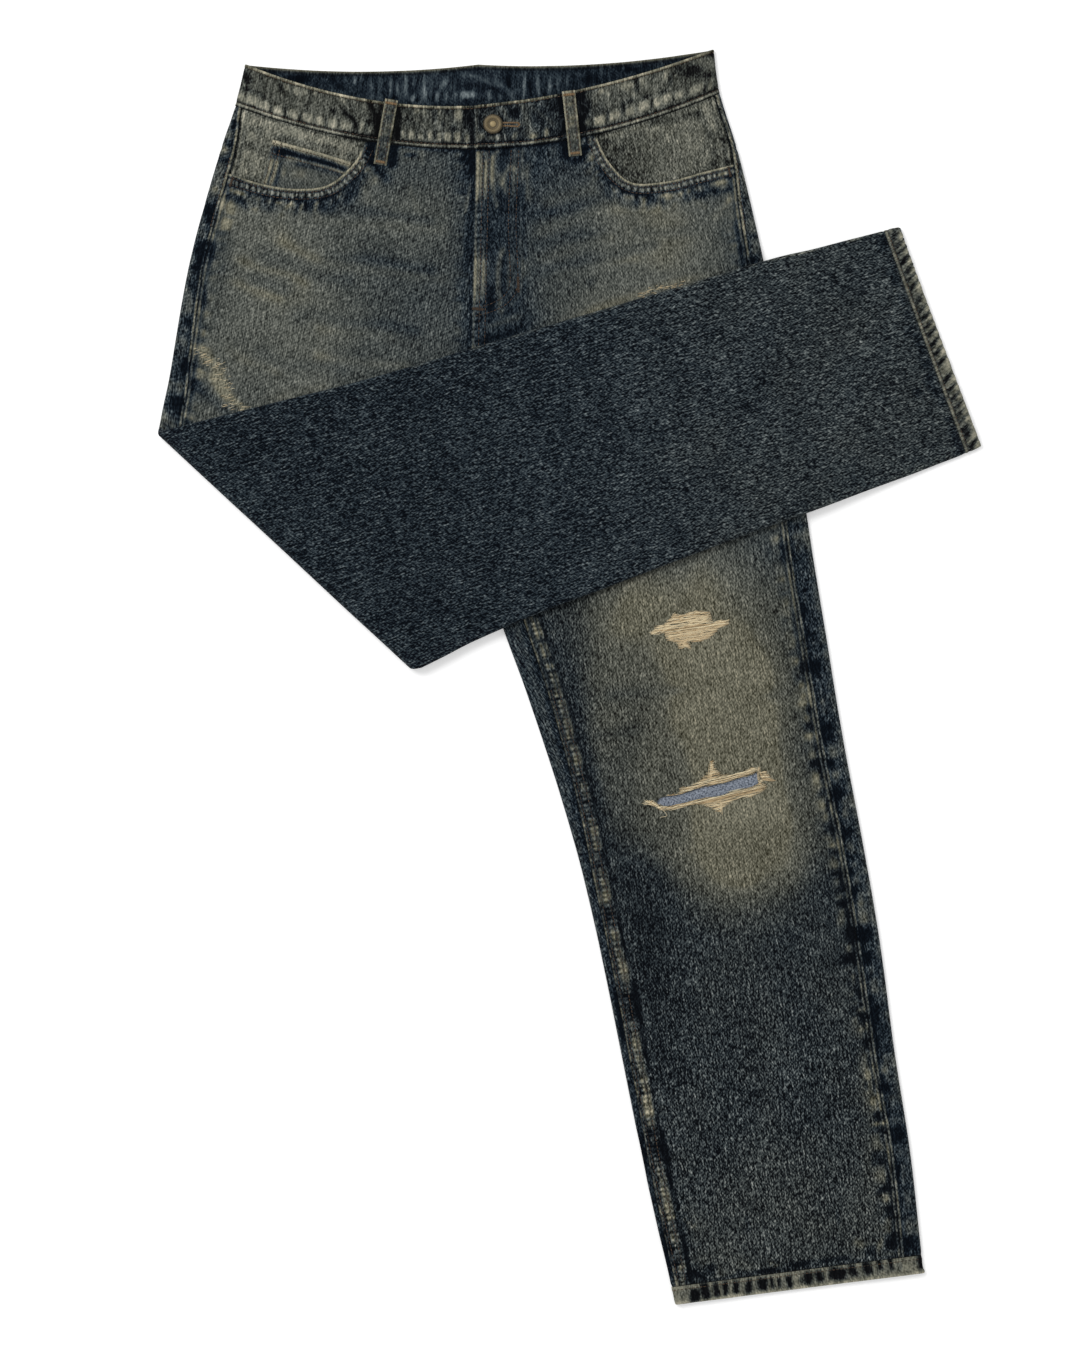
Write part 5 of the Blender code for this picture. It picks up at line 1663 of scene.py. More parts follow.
HEM_SPOTS = {
    Side.LEFT: (
        (109, -533, 9, 12, -56), (118, -529, 7, 15, -56, 15), (127, -528, 5, 13, -54, 12),
        (135, -527, 4.6, 12, -54, 5), (144, -526, 5, 11, -54), (155, -525, 5.4, 12, -54, -5),
        (167, -523, 9, 11, -54), (175, -522, 3, 9, -46, 15), (181, -522, 2.6, 9, -44, 5),
        (190, -521, 5, 11, -54, 15), (200, -520, 2.2, 6, -24, 20), (206, -518, 7, 10, -54),
        (216, -516, 7, 10, -54, 15), (232, -514, 16, 11, -54, -8), (245, -511, 6, 11, -54, 20),
        (257, -509, 8, 12, -54, 20), (268, -506, 5, 10, -48, 15), (277, -504, 4, 14, -50, 12),
        (286, -508, 2, 8, -16), (303, -503, 6, 13, -54, 12), (104, -520, 4, 6, -26), (94, -524, 10, 9, 14),
        (291, -508, 10, 8, 12)),
    Side.RIGHT: (
        (278.3, 381.4, 7, 5, -50, 30), (280.3, 373.4, 9, 7, -54, 30), (283.3, 363.4, 9, 9, -54, 20),
        (286.3, 350.4, 8, 9, -54), (291.3, 338.4, 8, 6, -54, 20), (294.3, 329.4, 9, 5, -54, 10),
        (297.3, 320.4, 9, 6, -54, 20), (301.3, 311.4, 8, 6, -54), (305.3, 299.4, 8, 8, -54, 10),
        (309.3, 286.4, 8, 9, -56, 20), (314.3, 274.4, 8, 7, -54, 25), (318.3, 263.4, 9, 9, -54),
        (323.3, 251.4, 9, 7, -54, 10), (327.3, 239.4, 10, 4, -48, 20), (331.3, 232.4, 10, 5, -50, 35),
        (335.3, 223.4, 10, 5, -50, 15), (341.3, 212.4, 7, 6, -50, 30), (343.3, 205.4, 8, 7, -54, 40),
        (346.3, 197.4, 10, 6, -54, 20)),
}
FLAP_SPOTS = (
    # dark puckers inside the turned-back leg's hem
    (272, 373, 10, 14, -22, -20), (279, 350, 6, 14, -20, -15), (281, 340, 6, 6, -20), (287, 323, 5, 6, -20),
    (292, 312, 3, 8, -18), (293, 297, 5, 9, -22, -20), (300, 290, 5, 10, -22), (304, 280, 5, 8, -20),
    (308, 268, 8, 8, -22), (311, 256, 8, 9, -22), (314, 248, 7, 6, -20), (317, 243, 5, 8, -22),
    (321, 235, 4, 8, -20), (326, 222, 4, 6, -18), (330, 212, 4, 6, -18), (333, 205, 8, 10, -22),
    (338, 195, 8, 10, -22), (300, 243, 4, 8, -14),
)
BAND_CREASES = (
    (((-199, 35.9), (-192, 28.8), (-185, 20.4)), 1.6, 20, 0.1),
    (((-187, 37.6), (-183, 28.7), (-180, 17.5)), 1.6, 20, 0.1), (((-178, 38.6), (-174, 28.1)), 1.6, 16, 0.1),
    (((-143, 27.6), (-130, 23.2), (-118, 16.1)), 1.5, 16, 0.1),
    (((-143, 39.5), (-136, 32.6), (-129, 23.3)), 1.5, 16, 0.1),
    (((-112, 37), (-110, 27.9), (-112, 20)), 1.5, 18, 0.1),
    (((-57, 33.9), (-52, 24.5), (-44, 19.4)), 1.8, 26, 0.1),
    (((-40, 34.6), (-36.5, 23.3), (-34, 13), (-31, 3.8)), 4.6, 32, 0.2),
    (((-29, 30.5), (-20, 21.6), (-12, 14.6)), 1.5, 20, 0.1), (((-9, 28.1), (-8, 18.1), (-9, 8.3)), 2, 24, 0.1),
    # the dark line at x -82 is painted shade beside the raised end of the band
    (((-81.5, 38.3), (-82, 16.9), (-83, 2.4)), 2.6, -30), (((-79, 36), (-79, 18.3), (-79, 1.5)), 1.2, 44, 0.2),
    # the dark arc at x -72 to -76 is a painted shadow round the button
    (((-72, 34.5), (-76, 26.7), (-76, 15.8)), 2, -20), (((-147, 39.6), (-143, 25.6), (-142, 10)), 1.6, 18),
    (((62, 39), (66, 29.9), (74, 21.6)), 2.6, 16, 0.1), (((108, 34), (116, 33.9), (124, 26.3)), 1.8, 16, 0.1),
    (((112, 29.7), (120, 27.1), (126, 20.3)), 1.5, 12, 0.1),
)
BAND_SPOTS = (
    # pale blocks above the lower stitches, with dark gaps
    (-281, 7.7, 8, 9, 32, 8), (-272, 9.1, 8, 8, 36), (-265, 7.6, 4.5, 8, 30), (-259.5, 6.6, 5, 10, 34),
    (-250, 7.1, 8.5, 9, 34, 6), (-236.5, 8, 9, 8, 34), (-224.5, 8.4, 8.5, 8, 34), (-214, 8.7, 6.5, 8, 34),
    (-203, 9, 8.5, 9, 36), (-191.5, 9.3, 9, 8, 36, -6), (-178, 10.8, 4, 12, 28, -14), (-170, 9.6, 5, 6, 26),
    (-256, 5, 2.6, 10, -26), (-243.5, 7.5, 2.6, 10, -30), (-231, 7.3, 3, 9, -26), (-208, 9, 2.6, 9, -22),
    (-197.5, 10, 1.8, 8, -14), (-183.5, 12.8, 4.2, 13, -28, 25), (-275, 17, 11, 3.4, -28, 10),
    (-264, 16, 9, 4, -26, -9), (-242, 29.7, 4, 5, 26), (-234, 28.8, 5, 6, 24), (-226, 29.8, 3.5, 4, 20),
    (-218, 31.4, 4, 4.5, 22), (-197, 33.5, 12, 8, 14, -7), (-277, 27, 8, 10, -28, 36),
    (-264, 30.4, 4, 4, -18, 16), (-247, 27.8, 4, 7, -28), (-214, 33.1, 4, 3, -22, 17),
    # (-169, 27.6) here and (-146.5, 28.9) and (-147.5, 12.9) below are painted shade beside the right belt loop
    (-202, 19.5, 5, 4, -26, -15), (-190.5, 19.3, 9, 4.4, -32, -29), (-169, 27.6, 5, 20, -34, 23),
    (-172.5, 16.3, 3, 5, -20), (-146.5, 28.9, 4.4, 15, -34, 15), (-147.5, 12.9, 5, 16, -34),
    (-173, 3.4, 12, 4, -24, 7), (-142, 9, 3, 8, 26), (-135, 9.3, 6, 9, 36), (-127.5, 8.5, 4, 6.5, 28),
    (-119, 10.2, 4.2, 9, 34), (-111, 10, 3.2, 8, 28), (-104, 9.8, 6.2, 8, 36), (-95.5, 10.1, 6, 9, 36),
    (-87, 9, 4, 8, 28), (-131, 10.2, 1.9, 8, -14), (-123.5, 10.9, 2, 8, -16), (-115, 11.1, 2, 8, -14),
    (-99.8, 10.7, 2, 8, -16), (-91.3, 9.6, 2, 8, -14), (-131, 33.1, 5, 10, 24, 20), (-124, 29.8, 4, 8, 16),
    (-111, 34, 3.2, 8, 16), (-95, 31.9, 7, 14, 32), (-118, 37.1, 3, 5, 16), (-105, 36.8, 3, 5, 16),
    (-115.5, 27.1, 5, 10, -20), (-99, 17.5, 5, 6, -22), (-108, 20.9, 3, 6, -14), (-86.5, 27.7, 8, 18, -26),
    (-104, 31.8, 2.6, 6, -16), (-75, 10.1, 6, 6, 30, -7), (-65, 8.4, 12, 3, 20), (-47, 29.1, 10, 10, -24),
    (-52, 13.6, 4, 6, -16), (-46.5, 9.2, 4, 7, 26, -19), (-30, 6.7, 7, 6, 22, -6), (-19, 8.5, 3.8, 9, 30),
    # (-5, 17.7) is painted shade beside the left belt loop
    (-14, 30.7, 6, 8, -26), (-38.5, 15.5, 3, 3, -22), (-24, 18, 8, 8, -10, -6), (-5, 17.7, 4.4, 30, -34),
    (16, 11.4, 5, 6, 24), (27, 11, 9, 8, 36), (39, 11.6, 10, 8, 36), (53, 11.9, 7, 7.5, 34),
    (65, 12.8, 10, 8, 36), (76, 12.4, 6.5, 8, 34), (84.5, 12.8, 9, 8, 34), (95, 12.3, 8, 6.5, 32),
    # (14, 21.6) and (12, 33.8) are painted shade beside the left belt loop
    (110, 11.6, 12, 7.5, 34), (122, 9.6, 4, 8, 26, -9), (14, 21.6, 7, 14, -30, -24), (12, 33.8, 5, 8, -26),
    (18, 4.2, 9, 4, -24, -9), (34, 12.9, 2.8, 10, -28), (47, 16.9, 4, 10, -28), (53, 20.5, 7, 3.4, -26),
    (59, 32.5, 5, 14, -30), (73, 34.2, 3.5, 4.5, -22), (67, 19.7, 8, 3.2, -26), (71.5, 12.1, 2.6, 10, -28),
    (82, 19.3, 7, 3.2, -24), (88, 27.9, 4, 11, -24), (90.5, 11.6, 2, 7, -16), (107, 28, 18, 10, -30, -33),
    (94, 33.3, 7, 7, -22, -21), (117, 8.5, 3.2, 6, -22), (122, 18.2, 13, 3.4, -28, -19),
    (123, 35.5, 5, 5, -26, -18), (50, 34.3, 11, 8, 22, -37), (84, 33.1, 4, 10, 24, -10), (35, 39.8, 4, 5, 20),
    (28, 36.9, 6, 8, 14), (56, 25.8, 9, 5, 10, -17),
)
INSIDE_SPOTS = (
    (-233, 514, 24, 7, -14), (-203, 514, 6, 8, -12), (-196, 507, 8, 6, -12), (-184, 513, 3, 8, 34),
    (-178, 515, 2.4, 7, 22), (-170, 510, 2.4, 12, 20), (-163, 511, 2, 12, 18), (-153, 508, 3, 18, 28),
    (-147, 506, 2.4, 12, 20), (-140, 509, 3, 20, 28), (-133, 512, 2.4, 12, 18), (-134, 497, 3.4, 6, 34, -15),
    (-123.5, 502, 3, 13, 32, 8), (-124, 513, 2.2, 12, 20), (-113, 499, 3, 9, 30, -12), (-105, 499, 2.6, 8, 28),
    (-107, 510, 5, 10, 22, -25), (-97, 500, 3, 5, 18), (-86, 500.5, 13, 6, 38), (-68, 500, 3.4, 9, 28, 10),
    (-59, 499, 3, 8, 28, 12), (-38, 508, 2.4, 24, 30, -3), (-26, 508, 3, 22, 28, 3), (-16, 508, 3, 12, 18),
    (-9, 510, 4, 14, 16), (-1, 512, 3, 10, 14), (28, 520, 3, 10, 18), (47, 522, 2, 6, 16),
    (-52, 512, 5, 14, -12), (-32, 506, 6, 14, -12), (-150, 499, 6, 8, -12), (-118, 497, 5, 7, -14),
    (-129, 497, 4, 7, -14), (20, 514, 12, 10, -12), (55, 522, 20, 5, -14),
)
INSIDE_CREASES = (
    (((-92, 518), (-80, 516), (-68, 511), (-56, 508), (-49, 501), (-46, 494)), 2.2, 32),
    (((-64, 520), (-61, 511)), 2, 22), (((-96, 508), (-80, 507), (-66, 505), (-58, 502)), 3.4, -16),
)
COIN_CREASES = (
    # the turned-down top: a pale lumpy edge, deep shade beneath it, and a thin pale line under that
    (((-254, 459.5), (-241, 456), (-228, 453), (-215, 450.5), (-205, 447.5), (-195, 443.5), (-188, 440.5)),
     2, 48, 0.3),
    (((-251, 457), (-238, 453.5), (-225, 449.5), (-212, 446.5), (-200, 443), (-191, 439)), 3, 24, 0.3),
    (((-251, 452.6), (-240, 449.6), (-228, 446), (-215, 443), (-203, 439.8), (-194, 436.4)), 3, -72, -0.3),
    (((-241, 446), (-230, 443), (-218, 440), (-205, 437), (-193, 432.6)), 1.4, 44, 0.1),
    (((-232, 440.6), (-218, 437.6), (-205, 434.6), (-196, 431)), 2, -30, -0.2),
    (((-255, 443), (-257.5, 434), (-261, 425)), 1.4, 44, 0.1),
    (((-251, 441), (-253, 433), (-256, 425)), 1.4, 48, 0.1),
    (((-253, 441), (-255.4, 433), (-258.6, 425)), 1.2, -26, -0.1),
    (((-247, 440), (-249.6, 432), (-252, 424)), 2, -36, -0.2),
)
COIN_SPOTS = (
    (-249, 447, 13, 6, -20), (-244, 453, 8, 5, -10), (-246, 459, 3, 5, -16), (-231, 454.5, 3, 5, -20),
    (-218, 451.5, 2.6, 5, -18), (-203, 447, 3, 5, -18), (-245.5, 435, 5, 12, 14), (-233, 432, 14, 10, 10),
    (-251, 459, 5, 4, 10), (-236, 457.5, 6, 3, 12), (-221, 455, 6, 3, 10), (-208, 452.5, 5, 3, 10),
)
FACING_FADES = ((42, 450, 22, 20, 66), (135, 452, 14, 26, 70))
FACING_CREASES = (
    # right pocket: pale puffs under the band, and dark lines round the coin pocket
    (((-279, 483), (-262, 477), (-240, 469.5), (-220, 462.5), (-203, 458), (-192, 453)), 6.5, 22, 0.2),
    (((-280, 480), (-276.5, 470), (-270, 463)), 2.2, 16, 0.1),
    (((-250, 464), (-232, 460), (-214, 457), (-198, 452.5)), 2.6, -24, -0.2),
    (((-275, 455), (-262, 452)), 4, -12), (((-276, 448), (-268, 443)), 3, 10),
    (((-284, 478), (-285, 460), (-288, 440)), 2.2, -26), (((-284, 434), (-270, 432)), 4, 8),
    # left pocket: the pocket's allowance shows through
    (((33, 465), (50, 470.5), (68, 475.5)), 3.6, 18, 0.2), (((80, 482), (100, 489), (118, 495)), 3.6, 14, 0.2),
    (((72, 476.5), (84, 477.5), (100, 481), (113, 484)), 2.6, -30, -0.2),
    (((113, 484), (118, 476), (121, 467), (126.5, 460)), 2.8, -32, -0.2),
    (((38, 440), (46, 434.5), (58, 431.5), (68, 430.5)), 4, -30, -0.2),
    (((119, 484), (124, 474), (129, 464)), 3.2, 12, 0.1),
)
FACING_SPOTS = (
    (-274, 481, 4.4, 6, -26), (-268, 471, 11, 5, -10, -10), (-240, 424, 26, 3.4, -14),
    (-187, 447, 6, 8, -24, 30), (33, 460, 7, 4, -28), (70, 473, 3, 4.4, -24, -40), (76, 472, 6, 3.4, 20),
    (125, 451, 4.4, 7, -16), (125, 440.5, 8, 4, -24), (137, 443, 9, 5, -28), (134, 461, 7, 7, -26, -30),
    (129, 487, 4, 18, -26), (46, 454, 6, 10, -10),
)

FLY_STITCH = ((-42.6, 452.4), (-45.1, 389.6), (-43.6, 340.0), (-50.0, 323.0), (-64.0, 314.0), (-83.0, 308.6))

SLIT = (
    (75.3, -109.7), (78.7, -104.5), (87.3, -103.2), (95.9, -101.9), (104.5, -99.3), (110.5, -96.8),
    (117.4, -94.6), (126, -93.7), (134.6, -92), (143.2, -89), (151.8, -86.4), (157.8, -85.1), (163.8, -81.7),
    (163.8, -92), (160.4, -94.6), (151.8, -96.8), (143.2, -98), (137.2, -100.6), (130.3, -103.2),
    (121.7, -104.1), (113.1, -105.4), (104.5, -107.5), (95.9, -110.1), (87.3, -111.8), (80.4, -111.4),
    (76.1, -110.1),
)


def within(x: Array, y: Array, outline: Array) -> Array:
    """Which places lie inside an outline.

    Args:
        x: Places across.
        y: Places along.
        outline: The outline's points, the first again at the end.

    Returns:
        True for a place inside.
    """
    inside = np.zeros(np.shape(x), bool)
    for (ax, ay), (bx, by) in zip(outline, np.roll(outline, -1, axis=0)):
        if ay == by:
            continue
        crosses = (ay > y) != (by > y)
        inside ^= crosses & (x < (bx - ax) * (y - ay) / (by - ay) + ax)
    return inside


# ------------------------------------------------------------------ panels

FAR_AWAY = 999.0        # from a seam that a point does not belong to
# distances of the columns from a seam, and from the fly's edge
SEAM_COLUMNS = (0.0, 0.6, 1.2, 1.8, 2.4, 3.1, 3.9, 4.8, 6.0, 8.0, 10.5, 13.0, 16.0, 19.0, 22.0)
FLY_COLUMNS = (0.0, 0.6, 1.2, 1.8, 2.5, 3.2, 4.0, 4.8, 5.6, 6.4, 7.2, 8.0, 8.8, 9.6, 10.4, 11.2, 12.0, 12.8, 13.6,
               14.5, 16.0, 17.5, 19.5) + tuple(22.0 + 2.4 * k for k in range(11))
# distances of the rows below the pocket opening
OPENING_ROWS = (0.0, 0.6, 1.2, 1.8, 2.4, 3.0, 3.7, 4.5, 5.3, 6.1, 6.9, 7.7, 8.5, 9.4, 10.4, 11.4, 12.6, 14.0, 16.0,
                18.5)
# parts of the way from the outseam to the turned edge
STRIP = np.array((0.0, 0.03, 0.07, 0.11, 0.16, 0.22, 0.29, 0.37, 0.46, 0.56, 0.68, 0.84))
OPENING_TRIM = 0.9      # how far the right pocket's rolled edge stands proud of its line
HEM_RISE, HEM_DROP = 0.026, 0.13    # how far the hem reaches past its rows, in places of the table
TURN_STEPS = 8
# parts of the way between the two turned edges, beneath the leg
BENEATH = np.concatenate([(0.0, 0.01, 0.025, 0.045), np.linspace(0.065, 0.935, 40), (0.955, 0.975, 0.99, 1.0)])
# columns of a back panel: its strip on top, the outer turn, beneath, the inner turn, and the strip beyond that
OUTER_STRIP = slice(0, len(STRIP))
OUTER_TURN = slice(OUTER_STRIP.stop, OUTER_STRIP.stop + TURN_STEPS)
UNDERSIDE = slice(OUTER_TURN.stop, OUTER_TURN.stop + len(BENEATH))
INNER_TURN = slice(UNDERSIDE.stop, UNDERSIDE.stop + TURN_STEPS)
INNER_STRIP = slice(INNER_TURN.stop, INNER_TURN.stop + len(STRIP))
INNER_SHARE = 1.0 - np.arange(1, TURN_STEPS + 1) / TURN_STEPS      # how far round the inner turn's columns are
FLY_REACH = 44.0    # width of the fly's doubled cloth


def ahead_of(grid: Array, axis: int) -> Array:
    """Distance run through a grid of points along one of its axes.

    Args:
        grid: The points.
        axis: 0 down the rows, 1 along them.

    Returns:
        The distances.
    """
    steps = np.linalg.norm(np.diff(grid, axis=axis), axis=-1)
    total = np.cumsum(steps, axis=axis)
    pad = [(1, 0), (0, 0)] if axis == 0 else [(0, 0), (1, 0)]
    return np.pad(total, pad)


@dataclass
class FrontPanel:
    """One front: flat cloth from the waist seam and the pocket opening to the hem."""

    leg: LegForm
    sheet: Sheet = field(init=False)
    columns: list[tuple] = field(init=False)    # how each lies between the outseam and the inner edge
    places: Array = field(init=False)
    across: Array = field(init=False)

    def __post_init__(self) -> None:
        """Works out the rows and columns."""
        leg = self.leg
        start = float(leg.run(1.0))
        first = np.interp(start + np.array(OPENING_ROWS), leg.runs, np.arange(len(leg.runs)))
        if leg.folded:
            bend, past = leg.place("bend start"), leg.place("bend end")
            rest = [leg.spaced(first[-1], bend, 3.0)[1:], leg.spaced(bend, past, 1.0)[1:],
                    leg.spaced(past, leg.place("hem top") - HEM_RISE, 6.0)[1:]]
        else:
            rest = [leg.spaced(first[-1], leg.place("hem top") - HEM_RISE, 3.2)[1:]]
        rows = np.concatenate([first, *rest])
        inner = SEAM_COLUMNS if leg.folded else FLY_COLUMNS
        middle = 58 if leg.folded else 50
        columns = [(c, 0.0, 0.0) for c in SEAM_COLUMNS]
        columns += [(SEAM_COLUMNS[-1], k / middle, -inner[-1]) for k in range(1, middle)]
        columns += [(None, None, -c) for c in reversed(inner)]
        self.columns = columns
        place = np.repeat(rows[:, None], len(columns), axis=1)
        shift = self._opening_shift(start)
        run = leg.run(place)
        run = run + shift[None, :] * (1.0 - smooth((run - start - 18.0) / 165.0))
        self.places = np.interp(run, leg.runs, np.arange(len(leg.runs)))
        self.across = self._across(self.places)

    def _across(self, place: Array) -> Array:
        """Distance from the outer edge of each column, at places shaped (rows, columns).

        Args:
            place: Places along the leg.

        Returns:
            The distances.
        """
        bands = self.leg.at(place)
        # at the fly the left front laps over the centre line, and the right one stops short of it
        lap = SEAM_GAP / 2 if self.leg.folded else -0.7
        low = bands.values["outseam"] + SEAM_GAP / 2
        high = bands.width - bands.values["inseam"] - np.where(bands.values["inseam"] > 0.0, SEAM_GAP / 2, lap)
        found = np.zeros(place.shape)
        for k, (near, part, far) in enumerate(self.columns):
            if near is None:
                found[..., k] = high[..., k] + far
            elif part == 0.0:
                found[..., k] = low[..., k] + near
            else:
                a, b = low[..., k] + near, high[..., k] + far
                found[..., k] = a + (b - a) * part
        return found

    def _opening_shift(self, start: float) -> Array:
        """How much lower than the waist seam each column starts, where the pocket opening cuts it.

        Args:
            start: Run of the waist seam.

        Returns:
            The shift of each column, along the leg.
        """
        leg = self.leg
        samples = np.linspace(1.0, 2.9, 500)
        place = np.repeat(samples[:, None], len(self.columns), axis=1)
        spot = leg.at(place).plan(self._across(place))
        line = curve_through(leg.opening, 2.0)
        first = line[0] + (line[0] - line[1]) / np.linalg.norm(line[0] - line[1]) * 40.0
        last = line[-1] + (line[-1] - line[-2]) / np.linalg.norm(line[-1] - line[-2]) * 40.0
        away, _, side = distance_to(spot[..., 0], spot[..., 1], np.vstack([first, line, last]))
        signed = away * side * leg.out - (OPENING_TRIM if leg.folded else 0.0)
        shift = np.zeros(len(self.columns))
        for k in range(len(shift)):
            above = np.nonzero(signed[:, k] > 0.0)[0]
            if len(above) and above[-1] < len(samples) - 1:
                i = above[-1]
                part = signed[i, k] / (signed[i, k] - signed[i + 1, k])
                shift[k] = float(leg.run(samples[i] + part * (samples[i + 1] - samples[i]))) - start
        return shift

    def build(self, finishes: Finishes) -> bpy.types.Object:
        """Builds and dresses the panel.

        Args:
            finishes: The finishes.

        Returns:
            The piece.
        """
        leg = self.leg
        bands = leg.at(self.places)
        straight = bands.top_point(self.across)
        plan = straight[..., :2]
        run = leg.run(self.places)
        look = self._look(plan, bands, run)
        keep = None
        if not leg.folded:
            keep, straight = self._slit(straight)
        middle = leg.lay(straight, bands.values["rest"])
        weave = turned(straight[..., :2], -leg.warp_turn())
        if leg.folded:
            look.relief *= smooth((leg.place("bend start") - self.places) / 0.6)
        else:
            doubled = 0.75 * smooth((FLY_REACH - (bands.width - self.across)) / 2.5)
            look.relief += np.where(run < leg.run(4.6), doubled * smooth((leg.run(4.6) - run) / 60.0), 0.0)
            look.relief *= self._clear_of_flap(plan)
        self.sheet = Sheet(f"cloth_front_{leg.side.value}", middle, weave, -leg.out, look.wear,
                           seam=look.seam, relief=look.relief, keep=keep)
        return self.sheet.make(finishes.denim, "denim_faded", Held.FOLDED if leg.folded else Held.LAID,
                               [f"cloth_back_{leg.side.value}"], f"front_{leg.side.value}")

    @staticmethod
    def _clear_of_flap(plan: Array) -> Array:
        """0 on the part of the left front that the folded leg covers, so that nothing there stands up.

        Args:
            plan: Places on the panel.

        Returns:
            1 where it is clear of the folded leg.
        """
        x, y = plan[..., 0], plan[..., 1]
        upper = 277.0 + (x + 90.0) * 0.2467
        lower = 12.0 + (x + 133.0) * 0.4206
        over = smooth((y - upper + 4.0) / 10.0)
        under = smooth((lower + 4.0 - y) / 10.0)
        return np.maximum(over, under)

    @staticmethod
    def _slit(points: Array) -> tuple[Array, Array]:
        """Cuts the knee slit: leaves out the quads within it and draws their rim to its outline.

        Args:
            points: The panel's grid.

        Returns:
            Which quads are kept, and the grid.
        """
        line = np.array(SLIT + SLIT[:1])
        centre = (points[1:, 1:] + points[1:, :-1] + points[:-1, 1:] + points[:-1, :-1]) / 4
        kept = ~within(centre[..., 0], centre[..., 1], line)
        near = np.pad(kept, 1, constant_values=True)
        some = ~(near[1:, 1:] & near[1:, :-1] & near[:-1, 1:] & near[:-1, :-1])
        every = near[1:, 1:] | near[1:, :-1] | near[:-1, 1:] | near[:-1, :-1]
        rim = some & every
        _, run, _ = distance_to(points[..., 0], points[..., 1], line)
        marks = np.concatenate([[0.0], np.cumsum(np.linalg.norm(np.diff(line, axis=0), axis=1))])
        moved = points.copy()
        for k in range(2):
            moved[..., k] = np.where(rim, np.interp(run, marks, line[:, k]), points[..., k])
        return kept, moved

    def _look(self, plan: Array, bands: Bands, run: Array) -> Look:
        """How the front is worn.

        Args:
            plan: Places on the panel.
            bands: The leg at its rows.
            run: Distance down the leg.

        Returns:
            The look.
        """
        leg = self.leg
        x, y = plan[..., 0], plan[..., 1]
        look = Look(x, y, 38.0 + 6.0 * smooth((-380.0 - y) / 100.0))
        if not leg.folded:
            look.warm += 0.19 * smooth((110.0 - y) / 60.0)
            look.grain += np.where(y > 150.0, -0.14, 0.34 * smooth((-150.0 - y) / 220.0))
        if leg.folded:
            look.level = 60.0 + 16.0 * smooth((-125.0 - x) / 120.0) + 0.0 * y
            look.grain *= 0.88
            look.fade(RIGHT_FADES)
        else:
            look.level += 4.0 * smooth((x - 60.0) / 120.0)
            look.fade(LEFT_FADES)
        look.level += 4.0 * ripple(x, y, 46.0, 11) + 3.0 * ripple(x, y, 19.0, 12)
        look.relief += waviness(x, y, 31 if leg.folded else 35)
        self._dress_opening(look)
        self._dress_waist(look, run)
        away = self.across - bands.values["outseam"]
        look.busted(away, run, 41 if leg.folded else 45, OUTSEAM)
        inner = bands.width - bands.values["inseam"] - self.across
        wrapped = bands.values["inseam"] > 0.0
        if leg.folded:
            beside_fly = np.where(wrapped, FAR_AWAY, inner)
            # painted shade beside the edge of the left front's fly, which laps over this side
            look.trace(beside_fly, run, 43, BESIDE_FLY)
            look.line(beside_fly, 0.0, 2.0, 0.0, -0.2)
        else:
            self._dress_fly(look, np.where(wrapped, FAR_AWAY, inner), run)
            look.felled(np.where(wrapped, inner, FAR_AWAY), run, 61)
            look.trace(float(leg.run(leg.place("hem top") - HEM_RISE)) - run, x, 47, ABOVE_HEM)
        look.crease(RIGHT_CREASES if leg.folded else LEFT_CREASES)
        look.spots(RIGHT_SPOTS if leg.folded else LEFT_SPOTS)
        if not leg.folded:
            look.spots(LEG_SPOTS)
        shade_beside_loops(look)
        return look

    def _dress_opening(self, look: Look) -> None:
        """The rolled and double-stitched pocket edge.

        Args:
            look: The look to dress.
        """
        line = curve_through(self.leg.opening, 2.0)
        away, run, side = distance_to(look.x, look.y, line)
        if self.leg.folded:
            away = np.maximum(OPENING_TRIM - away * side * self.leg.out, 0.0) / 1.08
        look.run_beside(away, run, 5.2)
        look.trace(away, run, 71, OPENING, base=50.0, size=3.6)
        look.relief += 0.45 * smooth((9.6 - away) / 1.4)
        look.line(away, 0.7, 0.9, 0.0, 0.25)
        for stitched in OPENING_STITCHES:
            look.line(away, stitched, 0.8, 0.0, -0.3)
        look.ladder(away, 3.7, 7.2, 44.0)
        look.ladder(away, 10.4, 15.0, 18.0)
        look.relief += 0.25 * ripple(run, 0.0, 7.0, 72) * hump((away - 12.0) / 6.0)

    def _dress_waist(self, look: Look, run: Array) -> None:
        """A painted shade line just under the waistband, and short puckers below it.

        Args:
            look: The look to dress.
            run: Distance down the leg.
        """
        down = run - float(self.leg.run(1.0))
        # painted shade: a dark line just under the edge of the waistband
        look.line(down, 0.4, 2.2, -34.0, -0.3)
        puckers = ripple(look.x, 0.0, 6.0, 75) + 0.6 * ripple(look.x, 0.0, 3.0, 76)
        look.level += 14.0 * puckers * hump((down - 4.0) / 10.0)
        look.relief += 0.25 * puckers * hump((down - 4.0) / 10.0)

    def _dress_fly(self, look: Look, inner: Array, run: Array) -> None:
        """The fly's edge, rubbed in stretches, and the curved stitching round its doubled cloth.

        Args:
            look: The look to dress.
            inner: Distance from the fly's edge.
            run: Distance down the leg.
        """
        above = smooth((run - float(self.leg.run(1.0)) - 1.0) / 3.0)
        inside = smooth((FLY_REACH - inner) / 6.0) * above
        dark = 34.0 + 18.0 * smooth((look.y - 412.0) / 14.0) + 9.0 * hump((look.y - 345.0) / 26.0)
        look.level += (dark - look.level) * 0.9 * inside
        look.grain -= 0.15 * inside
